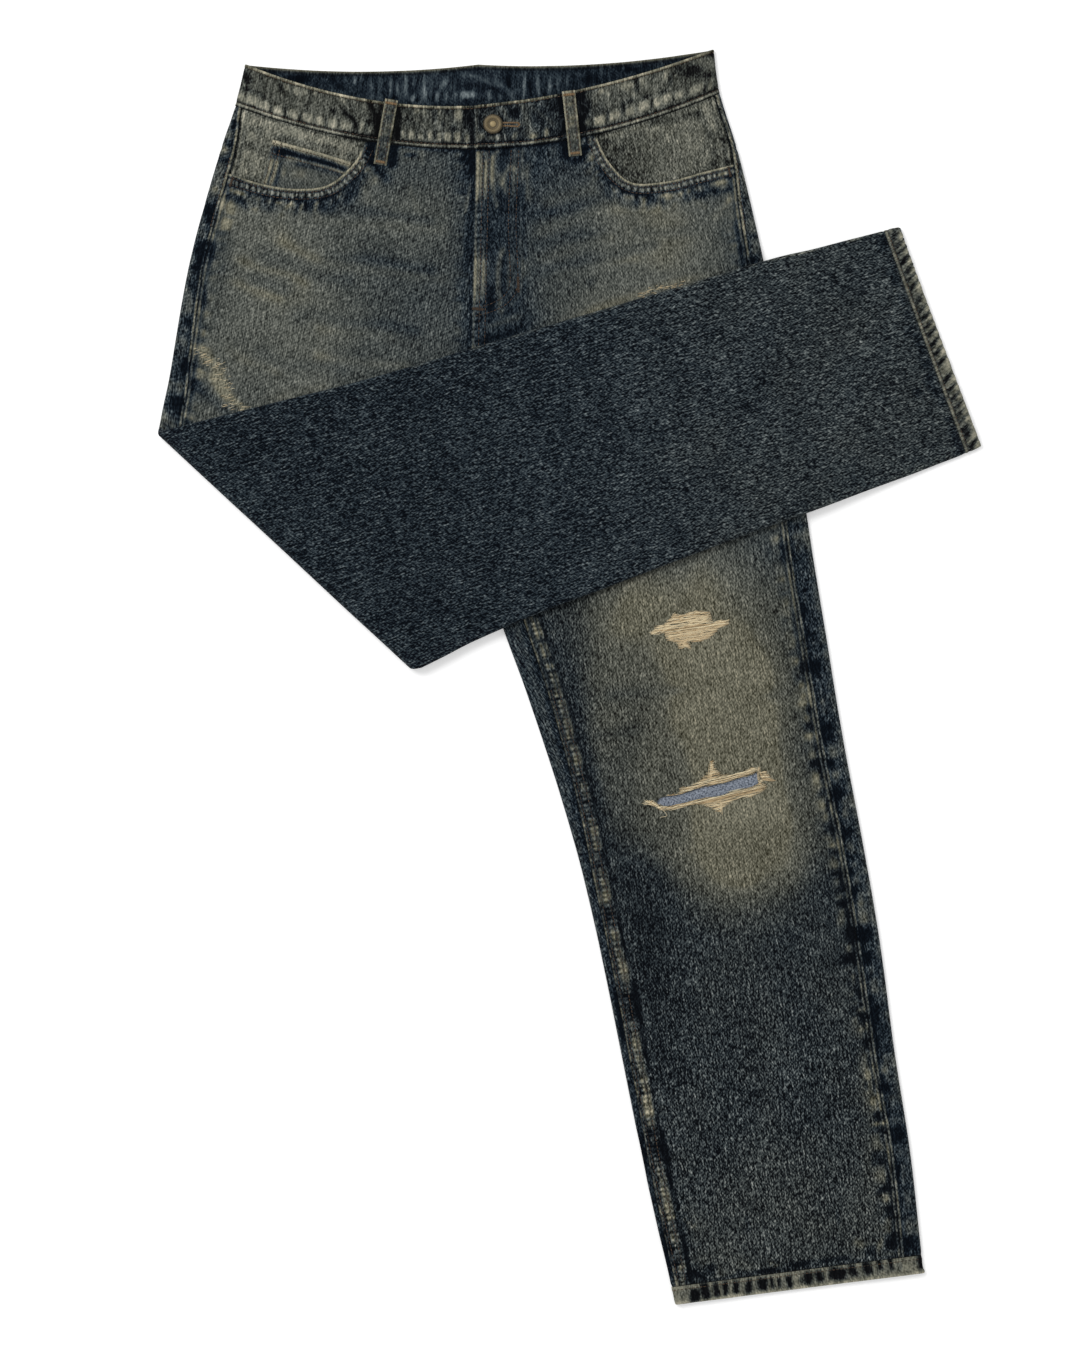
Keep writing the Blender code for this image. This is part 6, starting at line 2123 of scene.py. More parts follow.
        # rubbed pale near the top and again above the bar; dark with small rungs between
        rubbed = 0.25 + 0.75 * (smooth((look.y - 404.0) / 9.0) + hump((look.y - 345.0) / 22.0))
        near = np.clip(rubbed, 0.0, 0.8) * smooth((18.0 - inner) / 6.0) + smooth((inner - 12.0) / 6.0)
        look.trace(inner, run, 81, FLY, size=13.0, share=above * near)
        look.line(inner, 0.5, 0.7, 26.0 * above * (1.0 - np.minimum(rubbed, 1.0)))
        look.run_beside(inner, run, 5.2)
        look.hatch += 26.0 * above * (1.15 - np.minimum(rubbed, 1.0)) * smooth((8.5 - inner) / 1.5)
        look.line(inner, 0.8, 1.0, 0.0, 0.2 * above)
        for stitched in FLY_STITCHES:
            look.line(inner, stitched, 0.9, 0.0, -0.22 * above)
        away, _, _ = distance_to(look.x, look.y, curve_through(FLY_STITCH, 4.0))
        for off, level, height in ((0.0, -16.0, -0.25), (3.2, 12.0, 0.1), (6.6, -14.0, -0.2)):
            look.line(away, off, 1.0, level, height)


@dataclass
class BackPanel:
    """The cloth round the outer edge of a leg, beneath it, and up to the inseam."""

    leg: LegForm
    first: str
    last: str
    piece: str
    lap: float = 0.15           # how far it stops short of each seam
    centre_strip: float = 6.0   # width of its closest columns, beside the centre seam
    sheet: Sheet = field(init=False)

    def _rows(self) -> Array:
        """Places of the rows: close where the folded leg shows them.

        Returns:
            The places.
        """
        leg = self.leg
        first, last = leg.place(self.first), leg.place(self.last)
        last -= HEM_RISE if self.last == "hem top" else 0.0
        if leg.folded and last > leg.place("bend end"):
            bend, past = leg.place("bend start"), leg.place("bend end")
            return np.concatenate([leg.spaced(first, bend, 4.0), leg.spaced(bend, past, 1.0)[1:],
                                   leg.spaced(past, last, 3.2)[1:]])
        return leg.spaced(first, last, 4.0)

    def _columns(self, bands: Bands) -> tuple[Array, Array]:
        """Lays out the panel's columns.

        Args:
            bands: The leg at the panel's rows.

        Returns:
            How far each point is from the leg's outer edge, and from it across the unrolled cloth.
        """
        width, edge, radius = bands.width[:, :1], bands.edge[:, :1], bands.radius[:, :1]
        seam, inseam = (bands.values[name][:, :1] - self.lap for name in ("outseam", "inseam"))
        wrapped = bands.values["inseam"][:, :1] > 0.0
        w, flat = np.zeros(bands.width.shape), np.zeros(bands.width.shape)
        w[:, OUTER_STRIP] = seam + (edge - seam) * STRIP
        flat[:, OUTER_STRIP] = edge - math.pi * radius - (w[:, OUTER_STRIP] - edge)
        w[:, OUTER_TURN] = edge
        flat[:, OUTER_TURN] = edge - math.pi * radius * (1.0 - np.arange(TURN_STEPS) / TURN_STEPS)
        end = np.where(wrapped, width - edge, width - self.lap - self.centre_strip)
        w[:, UNDERSIDE] = edge + (end - edge) * BENEATH
        flat[:, UNDERSIDE] = w[:, UNDERSIDE]
        w[:, INNER_TURN] = width - edge
        flat[:, INNER_TURN] = (width - edge) + math.pi * radius * (1.0 - INNER_SHARE)
        part = np.arange(1, len(STRIP) + 1) / len(STRIP)
        w[:, INNER_STRIP] = width - (edge + (inseam - edge) * part)
        flat[:, INNER_STRIP] = width - edge + math.pi * radius + (inseam - edge) * part
        # above the crotch the last columns run on to the centre seam instead
        last = slice(UNDERSIDE.stop, INNER_STRIP.stop)
        extra = TURN_STEPS + len(STRIP)
        w[:, last] = np.where(wrapped, w[:, last], end + self.centre_strip * np.arange(1, extra + 1) / extra)
        flat[:, last] = np.where(wrapped, flat[:, last], w[:, last])
        return w, flat

    @staticmethod
    def _points(bands: Bands, w: Array) -> Array:
        """Lays the panel's points round the straight leg.

        Args:
            bands: The leg at the panel's rows.
            w: Distance of each point from the leg's outer edge.

        Returns:
            The points.
        """
        points, top = bands.bottom_point(w), bands.top_point(w)
        wrapped = (bands.values["inseam"][:, :1] > 0.0)[..., None]
        share, inner_share = np.zeros(w.shape), np.zeros(w.shape)
        share[:, OUTER_TURN] = np.arange(TURN_STEPS) / TURN_STEPS
        inner_share[:, INNER_TURN] = INNER_SHARE
        closed = bands.turn(inner_share, inner=True)
        points[:, OUTER_STRIP] = top[:, OUTER_STRIP]
        points[:, OUTER_TURN] = bands.turn(share)[:, OUTER_TURN]
        for columns, wrap in ((INNER_TURN, closed), (INNER_STRIP, top)):
            points[:, columns] = np.where(wrapped, wrap[:, columns], points[:, columns])
        return points

    def build(self, finishes: Finishes) -> bpy.types.Object:
        """Builds and dresses the panel.

        Args:
            finishes: The finishes.

        Returns:
            The piece.
        """
        leg = self.leg
        place = np.repeat(self._rows()[:, None], INNER_STRIP.stop, axis=1)
        bands = leg.at(place)
        w, flat = self._columns(bands)
        points = self._points(bands, w)
        plan = bands.outer + (bands.chord / bands.width[..., None]) * flat[..., None]
        # distance from the outseam and from the inseam on the cloth, and FAR_AWAY on the other side
        width, edge, radius = bands.width[:, :1], bands.edge[:, :1], bands.radius[:, :1]
        seam, inseam = (bands.values[name][:, :1] - self.lap for name in ("outseam", "inseam"))
        strip_away = np.where(np.arange(place.shape[1]) < OUTER_TURN.stop,
                              seam - (edge * 2.0 - math.pi * radius - flat), FAR_AWAY)
        inner_away = np.where(bands.values["inseam"][:, :1] > 0.0,
                              inseam + (width - edge + math.pi * radius - edge) - flat, FAR_AWAY)
        # marks near a seam are set where they lie, and the rest on the unrolled cloth
        near_seam = (strip_away < 60.0) | (inner_away < 30.0)
        seen = np.where(near_seam[..., None], points[..., :2], plan)
        look = self._look(seen, leg.run(place), strip_away, inner_away, place)
        eased = smooth((place - leg.place("bend start")) / 0.4) if leg.folded else np.zeros(place.shape)
        look.relief[:, UNDERSIDE] *= eased[:, UNDERSIDE]
        weave = turned(plan * (-1.0, 1.0), leg.warp_turn())
        self.sheet = Sheet(f"cloth_{self.piece}_{leg.side.value}", leg.lay(points, bands.values["rest"]), weave,
                           leg.out, look.wear, seam=look.seam, relief=look.relief)
        rests, held = [f"cloth_back_pocket_{leg.side.value}"], Held.LAID
        if leg.folded and self.piece == "back":
            rests, held = rests + ["cloth_front_left", "cloth_front_right"], Held.FOLDED
        return self.sheet.make(finishes.denim, "denim_dark", held, rests, f"{self.piece}_{leg.side.value}")

    def _look(self, plan: Array, run: Array, strip_away: Array, inner_away: Array, place: Array) -> Look:
        """How the back is worn: dark, with seat fades, pale marks on the outseam, and ribs on the inseam.

        Args:
            plan: Places on the panel.
            run: Distance down the leg.
            strip_away: Distance from the outseam.
            inner_away: Distance from the inseam.
            place: Places along the leg.

        Returns:
            The look.
        """
        leg = self.leg
        x, y = plan[..., 0], plan[..., 1]
        look = Look(x, y, np.full(x.shape, 45.0))
        if leg.folded:
            laid = leg.lay(np.concatenate([plan, np.zeros((*x.shape, 1))], axis=-1), np.zeros(x.shape))
            past = smooth((place - leg.place("bend start")) / 0.5)
            at_x = laid[..., 0]
            look.level += (29.0 + 16.5 * smooth((at_x + 145.0) / 387.0) - look.level) * past
            look.warm += (0.05 + 0.05 * smooth((at_x + 20.0) / 120.0)) * past
            marks = Look(at_x, laid[..., 1], 0.0)
            marks.spots(FLAP_SPOTS)
            look.level += marks.level * past
            look.relief += marks.relief * past
            look.grain += 0.1 * past * smooth((at_x + 60.0) / 200.0)
        look.fade([(leg.out * 100 - 78, 330, 62, 74, 74)])
        look.level += 3.0 * ripple(x, y, 44.0, 21) + 2.0 * ripple(x, y, 17.0, 22)
        look.relief += 0.7 * waviness(x, y, 37)
        look.trace(strip_away, run, 41 if leg.folded else 45, OUTSEAM_STRIP, size=5.0)
        hip = smooth((y - 262.0) / 30.0)
        look.patches(run, 49, smooth((strip_away - 2.0) / 2.0) * smooth((32.0 - strip_away) / 6.0), 10.0 - 4.0 * hip)
        look.level += np.where(strip_away < 40.0, (14.0 + 10.0 * smooth((y - 405.0) / 20.0)) * hip, 0.0)
        look.spots(RIGHT_SPOTS if leg.folded else LEFT_SPOTS, strip_away < 40.0)
        if not leg.folded:
            look.spots(LEG_SPOTS, (strip_away < 40.0) | (inner_away < 20.0))
        look.line(strip_away, 0.8, 0.8, 0.0, 0.3)
        look.line(strip_away, 2.8, 1.0, 0.0, -0.3)
        look.trace(inner_away, run, 61, INSEAM_STRIP, size=3.6)
        look.line(inner_away, 0.0, 0.8, 0.0, -0.4)
        return look


@dataclass
class HemRing:
    """The doubled hem round the end of a leg, roped by the shrinking of its stitches."""

    leg: LegForm
    sheet: Sheet = field(init=False)
    step: float = 1.6

    def build(self, finishes: Finishes) -> bpy.types.Object:
        """Builds and dresses the hem.

        Args:
            finishes: The finishes.

        Returns:
            The piece.
        """
        leg = self.leg
        top, edge = leg.place("hem top"), leg.place("hem edge")
        drop = HEM_DROP + (0.17 if leg.folded else 0.03)
        rows = np.linspace(top - HEM_RISE + 0.01, edge + drop, 26)
        width = float(leg.at(np.array(top), HEM).width)
        count = int(width / self.step)
        across = np.linspace(0.0, 1.0, count)
        turn = np.arange(1, TURN_STEPS) / TURN_STEPS
        total = 2 * count + 2 * (TURN_STEPS - 1)
        place = np.repeat(rows[:, None], total, axis=1)
        bands = leg.at(place, HEM)
        flat_w = bands.edge[:, :1] + (bands.width - 2.0 * bands.edge)[:, :1] * across
        w = np.zeros(place.shape)
        share, inner = np.zeros(total), slice(count, count + TURN_STEPS - 1)
        low = slice(inner.stop, inner.stop + count)
        w[:, :count], w[:, low] = flat_w, flat_w[:, ::-1]
        share[inner], share[low.stop:] = turn, 1.0 - turn
        share = np.broadcast_to(share, place.shape)
        points = bands.top_point(w)
        points[:, low] = bands.bottom_point(w)[:, low]
        points[:, inner] = bands.turn(share, inner=True)[:, inner]
        points[:, low.stop:] = bands.turn(share)[:, low.stop:]
        middle = leg.lay(points, bands.values["rest"])
        around, down = ahead_of(points, 1), ahead_of(points, 0)
        upper = (np.arange(total) < count + TURN_STEPS // 2) | (np.arange(total) >= total - TURN_STEPS // 2)
        look = self._look(middle, around, down, upper)
        weave = np.stack([around, -down], axis=-1)
        self.sheet = Sheet(f"cloth_hem_{leg.side.value}", middle, weave, -leg.out, look.wear, seam=look.seam,
                           relief=look.relief, thick=HEM, lip=0.72, ring=True,
                           inside=Wear(np.full(place.shape, 62.0)))
        return self.sheet.make(finishes.denim, "denim_worn", Held.LAID, [], f"hem_{leg.side.value}")

    def _look(self, middle: Array, around: Array, down: Array, upper: Array) -> Look:
        """Slanting ridges, pale on top and dark between; the lowest edge is rubbed through.

        Args:
            middle: Points of the hem.
            around: Distance round the leg.
            down: Distance below the hem's upper edge.
            upper: Which points are in front.

        Returns:
            The look.
        """
        x, y = middle[..., 0], middle[..., 1]
        look = Look(x, y, np.where(upper, 94.0, 54.0) + 0.0 * x)
        seed = 91 if self.leg.folded else 95
        wander = 4.5 * ripple(around, 0.0, 14.0, seed)
        phase = (around + wander - 0.25 * down) / 8.7
        rope = np.tanh(2.0 * np.sin(2.0 * math.pi * phase)) * (0.85 + 0.35 * ripple(around, 0.0, 9.0, seed + 1))
        middle_band = smooth((down - 3.4) / 1.4) * smooth((15.2 - down) / 3.0)
        look.level += np.where(upper, 8.0, 46.0) * rope * middle_band
        look.grain *= 0.75
        look.evenly = 0.6
        look.relief += np.where(upper, 0.15, 0.5) * rope * middle_band
        look.spots(HEM_SPOTS[self.leg.side], upper, 2.2)
        look.trace(down, around, seed + 2, CUFF_EDGES if self.leg.folded else HEM_EDGES, size=4.4, share=1.05)
        look.line(down, 1.4, 1.0, 0.0, 0.25)
        look.line(down, 3.0, 0.8, 0.0, -0.3)
        look.run_beside(down, around, 4.6)
        look.ladder(down, 0.5, 12.0, 9.0)
        return look


# ------------------------------------------------------------------ waistband and what hangs from it


@dataclass
class Waistband:
    """A doubled strip round the waist, lapped over at the front."""

    overlap: float = 42.0       # length of the raised buttonhole end
    overlap_lift: float = 2.5   # how far it stands above the button end
    underlap: float = 22.0      # length of the button end that runs on beneath it
    underlap_tuck: float = 1.2  # its lower edge is narrower by this
    sheet: Sheet = field(init=False)
    middle: Array = field(init=False)

    def build(self, finishes: Finishes) -> bpy.types.Object:
        """Builds and dresses the band.

        Args:
            finishes: The finishes.

        Returns:
            The piece.
        """
        near_edge = np.concatenate([np.arange(0.0, 5.9, 0.62), (6.8, 8.0)])
        tall = float(LEFT.run(1.0))
        rows = np.concatenate([near_edge, np.linspace(9.6, tall - 9.6, 12), tall - near_edge[::-1]]) / tall
        rows = rows * 0.996     # the lower edge stays clear of the panels' seam
        left, left_back = self._half(LEFT, rows)
        right, right_back = self._half(RIGHT, rows)
        away = np.linalg.norm(left[..., :2] - left[:, :1, :2], axis=-1)
        front = np.arange(left.shape[1]) < left_back
        left[..., 2] += np.where(
            front, self.overlap_lift * smooth((self.overlap - away) / (self.overlap * 0.45)), 0.0)
        step = right[:, :1] - right[:, 1:2]
        step /= np.linalg.norm(step, axis=-1, keepdims=True)
        tuck = np.zeros((len(rows), 1, 3))
        tuck[..., 1] = (self.underlap_tuck * smooth(rows))[:, None]
        reach = np.arange(1, 12)[None, :, None] / 11.0 * self.underlap
        under = right[:, :1] + step * reach + tuck
        self.middle = np.concatenate([left, right[:, ::-1], under], axis=1)
        around, down = ahead_of(self.middle, 1), ahead_of(self.middle, 0)
        around = np.broadcast_to(around[len(rows) // 2], around.shape)
        top = np.arange(self.middle.shape[1])
        is_front = (top < left_back) | (top >= left.shape[1] + right.shape[1] - right_back)
        look = self._look(around, down, is_front)
        weave = np.stack([around, -down], axis=-1)
        inside = self._inside(around, down)
        self.sheet = Sheet("cloth_waistband", self.middle, weave, 1.0, look.wear, seam=look.seam,
                           relief=look.relief, thick=BAND, lip=0.55, inside=inside)
        return self.sheet.make(finishes.denim, "denim_worn", Held.LAID,
                               ["cloth_loop_back_left", "cloth_loop_back_right"], "waistband")

    @staticmethod
    def _half(leg: LegForm, rows: Array) -> tuple[Array, int]:
        """One half of the band, from the centre front round the side to the centre back.

        Args:
            leg: The side.
            rows: Places of the rows.

        Returns:
            The points, and the number of columns that are in front.
        """
        one = leg.at(rows[:, None], BAND, BAND_HEIGHT)
        width = float(one.width.mean())
        front = np.linspace(1.0, 0.0, int(width / 1.25))
        turn = np.arange(1, TURN_STEPS) / TURN_STEPS
        back = np.linspace(0.0, 1.0, int(width / 1.5))
        total = len(front) + len(turn) + len(back)
        place = np.repeat(rows[:, None], total, axis=1)
        bands = leg.at(place, BAND, BAND_HEIGHT)
        low = bands.edge[:, :1]
        high = bands.width[:, :1] - SEAM_GAP / 2
        w = np.zeros(place.shape)
        w[:, :len(front)] = low + (high - low) * front
        w[:, -len(back):] = low + (high - low) * back
        points = bands.top_point(w)
        points[:, -len(back):] = bands.bottom_point(w)[:, -len(back):]
        around = slice(len(front), len(front) + len(turn))
        share = np.zeros(total)
        share[around] = turn
        points[:, around] = bands.turn(np.broadcast_to(share, place.shape))[:, around]
        return points, len(front) + len(turn) // 2

    def _look(self, around: Array, down: Array, is_front: Array) -> Look:
        """Rubbed pale along the top edge, puckered into dark and pale teeth above the lower stitches.

        Args:
            around: Distance along the band.
            down: Distance below its upper edge.
            is_front: Which points are in front.

        Returns:
            The look.
        """
        x, y = self.middle[..., 0], self.middle[..., 1]
        look = Look(x, y, np.full(x.shape, 55.0))
        # the sides are rubbed pale, the middle stays dark
        front = 44.0 + 14.0 * smooth((-72.0 - x) / 24.0) + 20.0 * smooth((-180.0 - x) / 40.0)
        front = front + 26.0 * smooth((x - 4.0) / 26.0)
        look.level = np.where(is_front, front, 50.0)
        look.level += 6.0 * ripple(around, down, 22.0, 101) + 13.0 * ripple(around, down, 6.0, 102, 1.8) - 4.0
        look.grain *= 0.8
        up = down[-1:] - down
        look.trace(down, around, 103, BAND_TOP, size=6.0)
        look.trace(up, around, 104, BAND_FOOT, size=6.0)
        for stitched in (BAND_STITCHES[0], float(up[0, 0]) - BAND_STITCHES[1]):
            look.line(down, stitched, 0.8, 0.0, -0.3)
        look.line(down, 0.8, 0.9, 0.0, 0.2)
        look.line(up, 1.7, 0.9, 0.0, 0.2)
        self._teeth(look, around, up, is_front)
        marks = Look(x, up + 0.0 * x, 0.0)
        marks.crease(BAND_CREASES)
        marks.spots(BAND_SPOTS, gain=1.8)
        shade = Look(x, y, 0.0)
        shade_beside_loops(shade)
        look.level += np.where(is_front, marks.level + shade.level, 0.0)
        look.relief += np.where(is_front, marks.relief, 0.0)
        look.relief += 0.35 * ripple(around, down, 17.0, 106, 1.6)
        look.run_beside(up, around, 7.0)
        look.hatch += 7.0
        look.vein += 20.0 + 16.0 * hump((x + 50.0) / 90.0)
        look.warm += 0.35 * hump((down - 1.2) / 1.4)
        look.evenly = 0.75 - 0.5 * hump((x + 34.0) / 64.0)
        return look

    @staticmethod
    def _teeth(look: Look, around: Array, up: Array, is_front: Array) -> None:
        """Blocks of pale cloth between dark puckers above the lower stitches; wider on the left side.

        Args:
            look: The look to dress.
            around: Distance along the band.
            up: Distance above its lower edge.
            is_front: Which points are in front.
        """
        x = look.x
        left, right = smooth((x - 12.0) / 10.0), smooth((-182.0 - x) / 14.0)
        centre = smooth((-84.0 - x) / 8.0) * (1.0 - right)
        wander = 2.4 * ripple(around, 0.0, 17.0, 105)
        rest = 1.0 - left - right - centre
        for share, period, strength, tall in ((left, 12.4, 25.0, 13.0), (right, 8.4, 21.0, 17.0),
                                              (centre, 7.0, 20.0, 13.0), (rest, 8.0, 7.0, 11.0)):
            wave = np.tanh(2.4 * (np.sin(2.0 * math.pi * (around + wander + 0.1 * up) / period) + 0.35))
            tall = tall * (1.0 + 0.25 * ripple(around, 0.0, period, 107))
            height = smooth((up - 4.4) / 1.0) * smooth((tall - up) / 4.5)
            marks = np.where(is_front, 0.15 * share, 0.25 * share) * wave * height
            look.level += strength * marks
            look.relief += 0.28 * marks

    def _inside(self, around: Array, down: Array) -> Wear:
        """The inner face: darker and bluer, with the stitches' marks showing through.

        Args:
            around: Distance along the band.
            down: Distance below its upper edge.

        Returns:
            What the material reads at each point.
        """
        x = self.middle[..., 0]
        level = 27.0 + 4.0 * ripple(around, down, 20.0, 107) + 6.0 * ripple(around, down, 7.0, 110, 2.0)
        level = level + 34.0 * np.maximum(ripple(around, 0.0, 3.4, 109), 0.0) * hump((down - 22.0) / 11.0)
        level = level + 12.0 * np.maximum(ripple(around, 0.0, 5.0, 112), 0.0) * hump((down - 7.0) / 6.0)
        look = Look(x, self.middle[..., 1], level)
        look.crease(INSIDE_CREASES)
        look.spots(INSIDE_SPOTS, gain=2.2)
        level = look.level + 62.0 * hump((down - 0.6) / 2.0) - 20.0 * hump((down - 3.2) / 0.9)
        return Wear(level, 1.1 * hump((down - 0.6) / 2.0), 4.0, 14.0, 0.45)


@dataclass
class BeltLoop:
    """A narrow folded strip, barred down at both ends over the front of the waistband."""

    side: Side
    top: tuple[float, float]
    bottom: tuple[float, float]
    sheet: Sheet = field(init=False)

    @property
    def length(self) -> float:
        """From end to end."""
        return math.dist(self.top, self.bottom)

    def axes(self) -> tuple[Array, Array]:
        """The directions down the loop and to its side."""
        down = np.subtract(self.bottom, self.top) / self.length
        return down, np.array((-down[1], down[0]))

    def build(self, finishes: Finishes) -> bpy.types.Object:
        """Builds and dresses the loop.

        Args:
            finishes: The finishes.

        Returns:
            The piece.
        """
        along, aside = self.axes()
        rows = np.linspace(0.0, self.length, 40)
        columns = np.array((-1.0, -0.93, -0.8, -0.62, -0.4, -0.2, 0.0, 0.2, 0.4, 0.62, 0.8, 0.93, 1.0))
        columns = columns * LOOP_WIDTH / 2
        run, off = np.meshgrid(rows, columns, indexing="ij")
        plan = np.array(self.top) + run[..., None] * along + off[..., None] * aside
        z = LOOP_SEAT + LOOP_ARCH * np.sin(math.pi * run / self.length)
        z = z - 0.35 * smooth((np.abs(off) - 3.6) / 2.0)
        # pressed down hard where the bars hold it
        for end in (5.0, self.length - 3.0):
            z = z - 0.3 * hump((run - end) / 2.6)
        look = Look(plan[..., 0], plan[..., 1], np.full(run.shape, 70.0 if self.side is Side.RIGHT else 84.0))
        edge = LOOP_WIDTH / 2 - np.abs(off)
        look.line(edge, 0.7, 0.9, 42.0)
        look.line(edge, 2.5, 0.7, -30.0, -0.2)
        look.grain *= 0.7
        look.level -= 8.0 * hump(off / 1.2)
        look.level += 18.0 * ripple(run, off, 4.0, 111) + 14.0 * ripple(run, 0.0, 2.4, 112)
        look.warm += 0.15
        for end in (0.0, self.length):
            look.line(np.abs(run - end), 0.5, 1.2, 26.0)
        middle = np.concatenate([plan, z[..., None]], axis=-1)
        self.sheet = Sheet(f"cloth_loop_front_{self.side.value}", middle, np.stack([off, -run], -1), 1.0, look.wear,
                           relief=look.relief, lip=0.45, seam=np.stack([run / 3.0, off], -1))
        return self.sheet.make(finishes.denim, "denim_worn", Held.LAID, ["cloth_waistband"],
                               f"loop_front_{self.side.value}")


@dataclass
class FlatPiece:
    """A small flat piece beneath the garment, drawn from a line of corners: a pocket or a pressed loop."""

    name: str
    node: str
    corners: Array
    level: float = 52.0         # how light it is
    columns: int = 30
    rows: int = 30
    sheet: Sheet = field(init=False)

    def build(self, finishes: Finishes) -> bpy.types.Object:
        """Builds the piece: columns run between its sides, and each ends on the outline's foot.

        Args:
            finishes: The finishes.

        Returns:
            The piece.
        """
        corners = np.asarray(self.corners, float)
        sides = np.linspace(0.0, 1.0, self.columns)[None, :, None]
        top = corners[0] * (1 - sides) + corners[1] * sides
        foot_line = corners[2:][::-1]
        marks = np.concatenate([[0.0], np.cumsum(np.linalg.norm(np.diff(foot_line, axis=0), axis=1))])
        marks /= marks[-1]
        foot = np.stack([np.interp(sides[0, :, 0], marks, foot_line[:, k]) for k in range(2)], axis=-1)[None]
        down = np.linspace(0.0, 1.0, self.rows)[:, None, None]
        plan = top * (1 - down) + foot * down
        z = np.full(plan.shape[:2], LIGHT_CLOTH / 2)
        look = plain_look(plan, self.level, 121)
        middle = np.concatenate([plan, z[..., None]], axis=-1)
        edge = np.minimum(np.linalg.norm(plan - plan[:, :1], axis=-1), np.linalg.norm(plan - plan[:, -1:], axis=-1))
        edge = np.minimum(edge, np.minimum(np.linalg.norm(plan - plan[:1], axis=-1),
                                           np.linalg.norm(plan - plan[-1:], axis=-1)))
        look.line(edge, 0.5, 1.2, 24.0)
        look.line(edge, 5.0, 1.4, -12.0)
        way = float(np.sign(np.cross(plan[1, 0] - plan[0, 0], plan[0, 1] - plan[0, 0])))
        self.sheet = Sheet(self.name, middle, plan * (-1.0, 1.0), -way, look.wear, thick=LIGHT_CLOTH, lip=0.5)
        slot = "denim_dark" if "pocket" in self.name else "denim_worn"
        return self.sheet.make(finishes.denim, slot, Held.LAID, [], self.node)


def facing_height(leg: LegForm, x: Array, y: Array) -> Array:
    """Height of the facing's middle: low beneath the front, rising away from the opening.

    Args:
        leg: The leg.
        x: Places across.
        y: Places along.

    Returns:
        The heights.
    """
    away, _, side = distance_to(x, y, curve_through(leg.opening, 2.0))
    out = np.where(side * leg.out > 0.0, away, 0.0)
    start, run = FACING_EASE
    return leg.facing_low + (leg.facing_high - leg.facing_low) * smooth((out - start) / run)


@dataclass
class Facing:
    """The cloth that shows inside a front pocket opening."""

    leg: LegForm
    gap: float = 0.9            # from the outseam to its edge
    reach: float = 130.0        # from the leg's outer edge to its inner edge
    depth: float = 1.6          # how far down it goes, in places of the leg's table
    sheet: Sheet = field(init=False)

    def build(self, finishes: Finishes) -> bpy.types.Object:
        """Builds and dresses the facing.

        Args:
            finishes: The finishes.

        Returns:
            The piece.
        """
        leg = self.leg
        rows = 1.0 + np.linspace(0.003, self.depth, 44)
        part = np.concatenate([(0.0, 0.006, 0.012, 0.018, 0.025, 0.033, 0.042, 0.055),
                               np.linspace(0.07, 1.0, 50)])
        place = np.repeat(rows[:, None], len(part), axis=1)
        bands = leg.at(place)
        start = bands.values["outseam"] + self.gap
        w = start + (self.reach - start) * part
        plan = bands.plan(w)
        x, y = plan[..., 0], plan[..., 1]
        z = facing_height(leg, x, y)
        run = leg.run(place)
        look = Look(x, y, np.full(x.shape, 90.0 if leg.folded else 89.0))
        look.level += 5.0 * ripple(x, y, 26.0, 131) + 4.0 * ripple(x, y, 10.0, 132)
        if not leg.folded:
            look.fade(FACING_FADES)
        away, _, side = distance_to(x, y, curve_through(leg.opening, 2.0))
        out = np.where(side * leg.out > 0.0, away, 0.0)
        # painted shade where the front's edge overhangs the facing at the opening
        look.level -= 22.0 * hump(out / 4.0)
        look.trace(w - start, run, 45, OUTSEAM, size=5.0)
        look.level += 9.0 * ripple(run, 0.0, 9.0, 133) * hump((w - start) / 9.0)
        # painted shade: a dark line just under the waistband
        look.line(run - float(leg.run(1.0)), 1.0, 1.6, -34.0)
        look.level += 6.0 * ripple(x, 0.0, 6.0, 134) * hump((run - float(leg.run(1.0))) / 10.0)
        look.crease(FACING_CREASES)
        look.spots(FACING_SPOTS)
        look.vein += 16.0
        look.evenly = 0.8
        look.level += 8.0 * ripple(x, y, 5.0, 136)
        look.relief += 0.25 * ripple(x, y, 30.0, 135) * smooth(out / 12.0)
        middle = np.concatenate([plan, z[..., None]], axis=-1)
        self.sheet = Sheet(f"cloth_facing_{leg.side.value}", middle, turned(plan, -leg.warp_turn()), -leg.out,
                           look.wear, relief=look.relief, thick=LIGHT_CLOTH, lip=0.4)
        return self.sheet.make(finishes.denim, "denim_faded", Held.LAID, [f"cloth_back_{leg.side.value}"],
                               f"facing_{leg.side.value}")


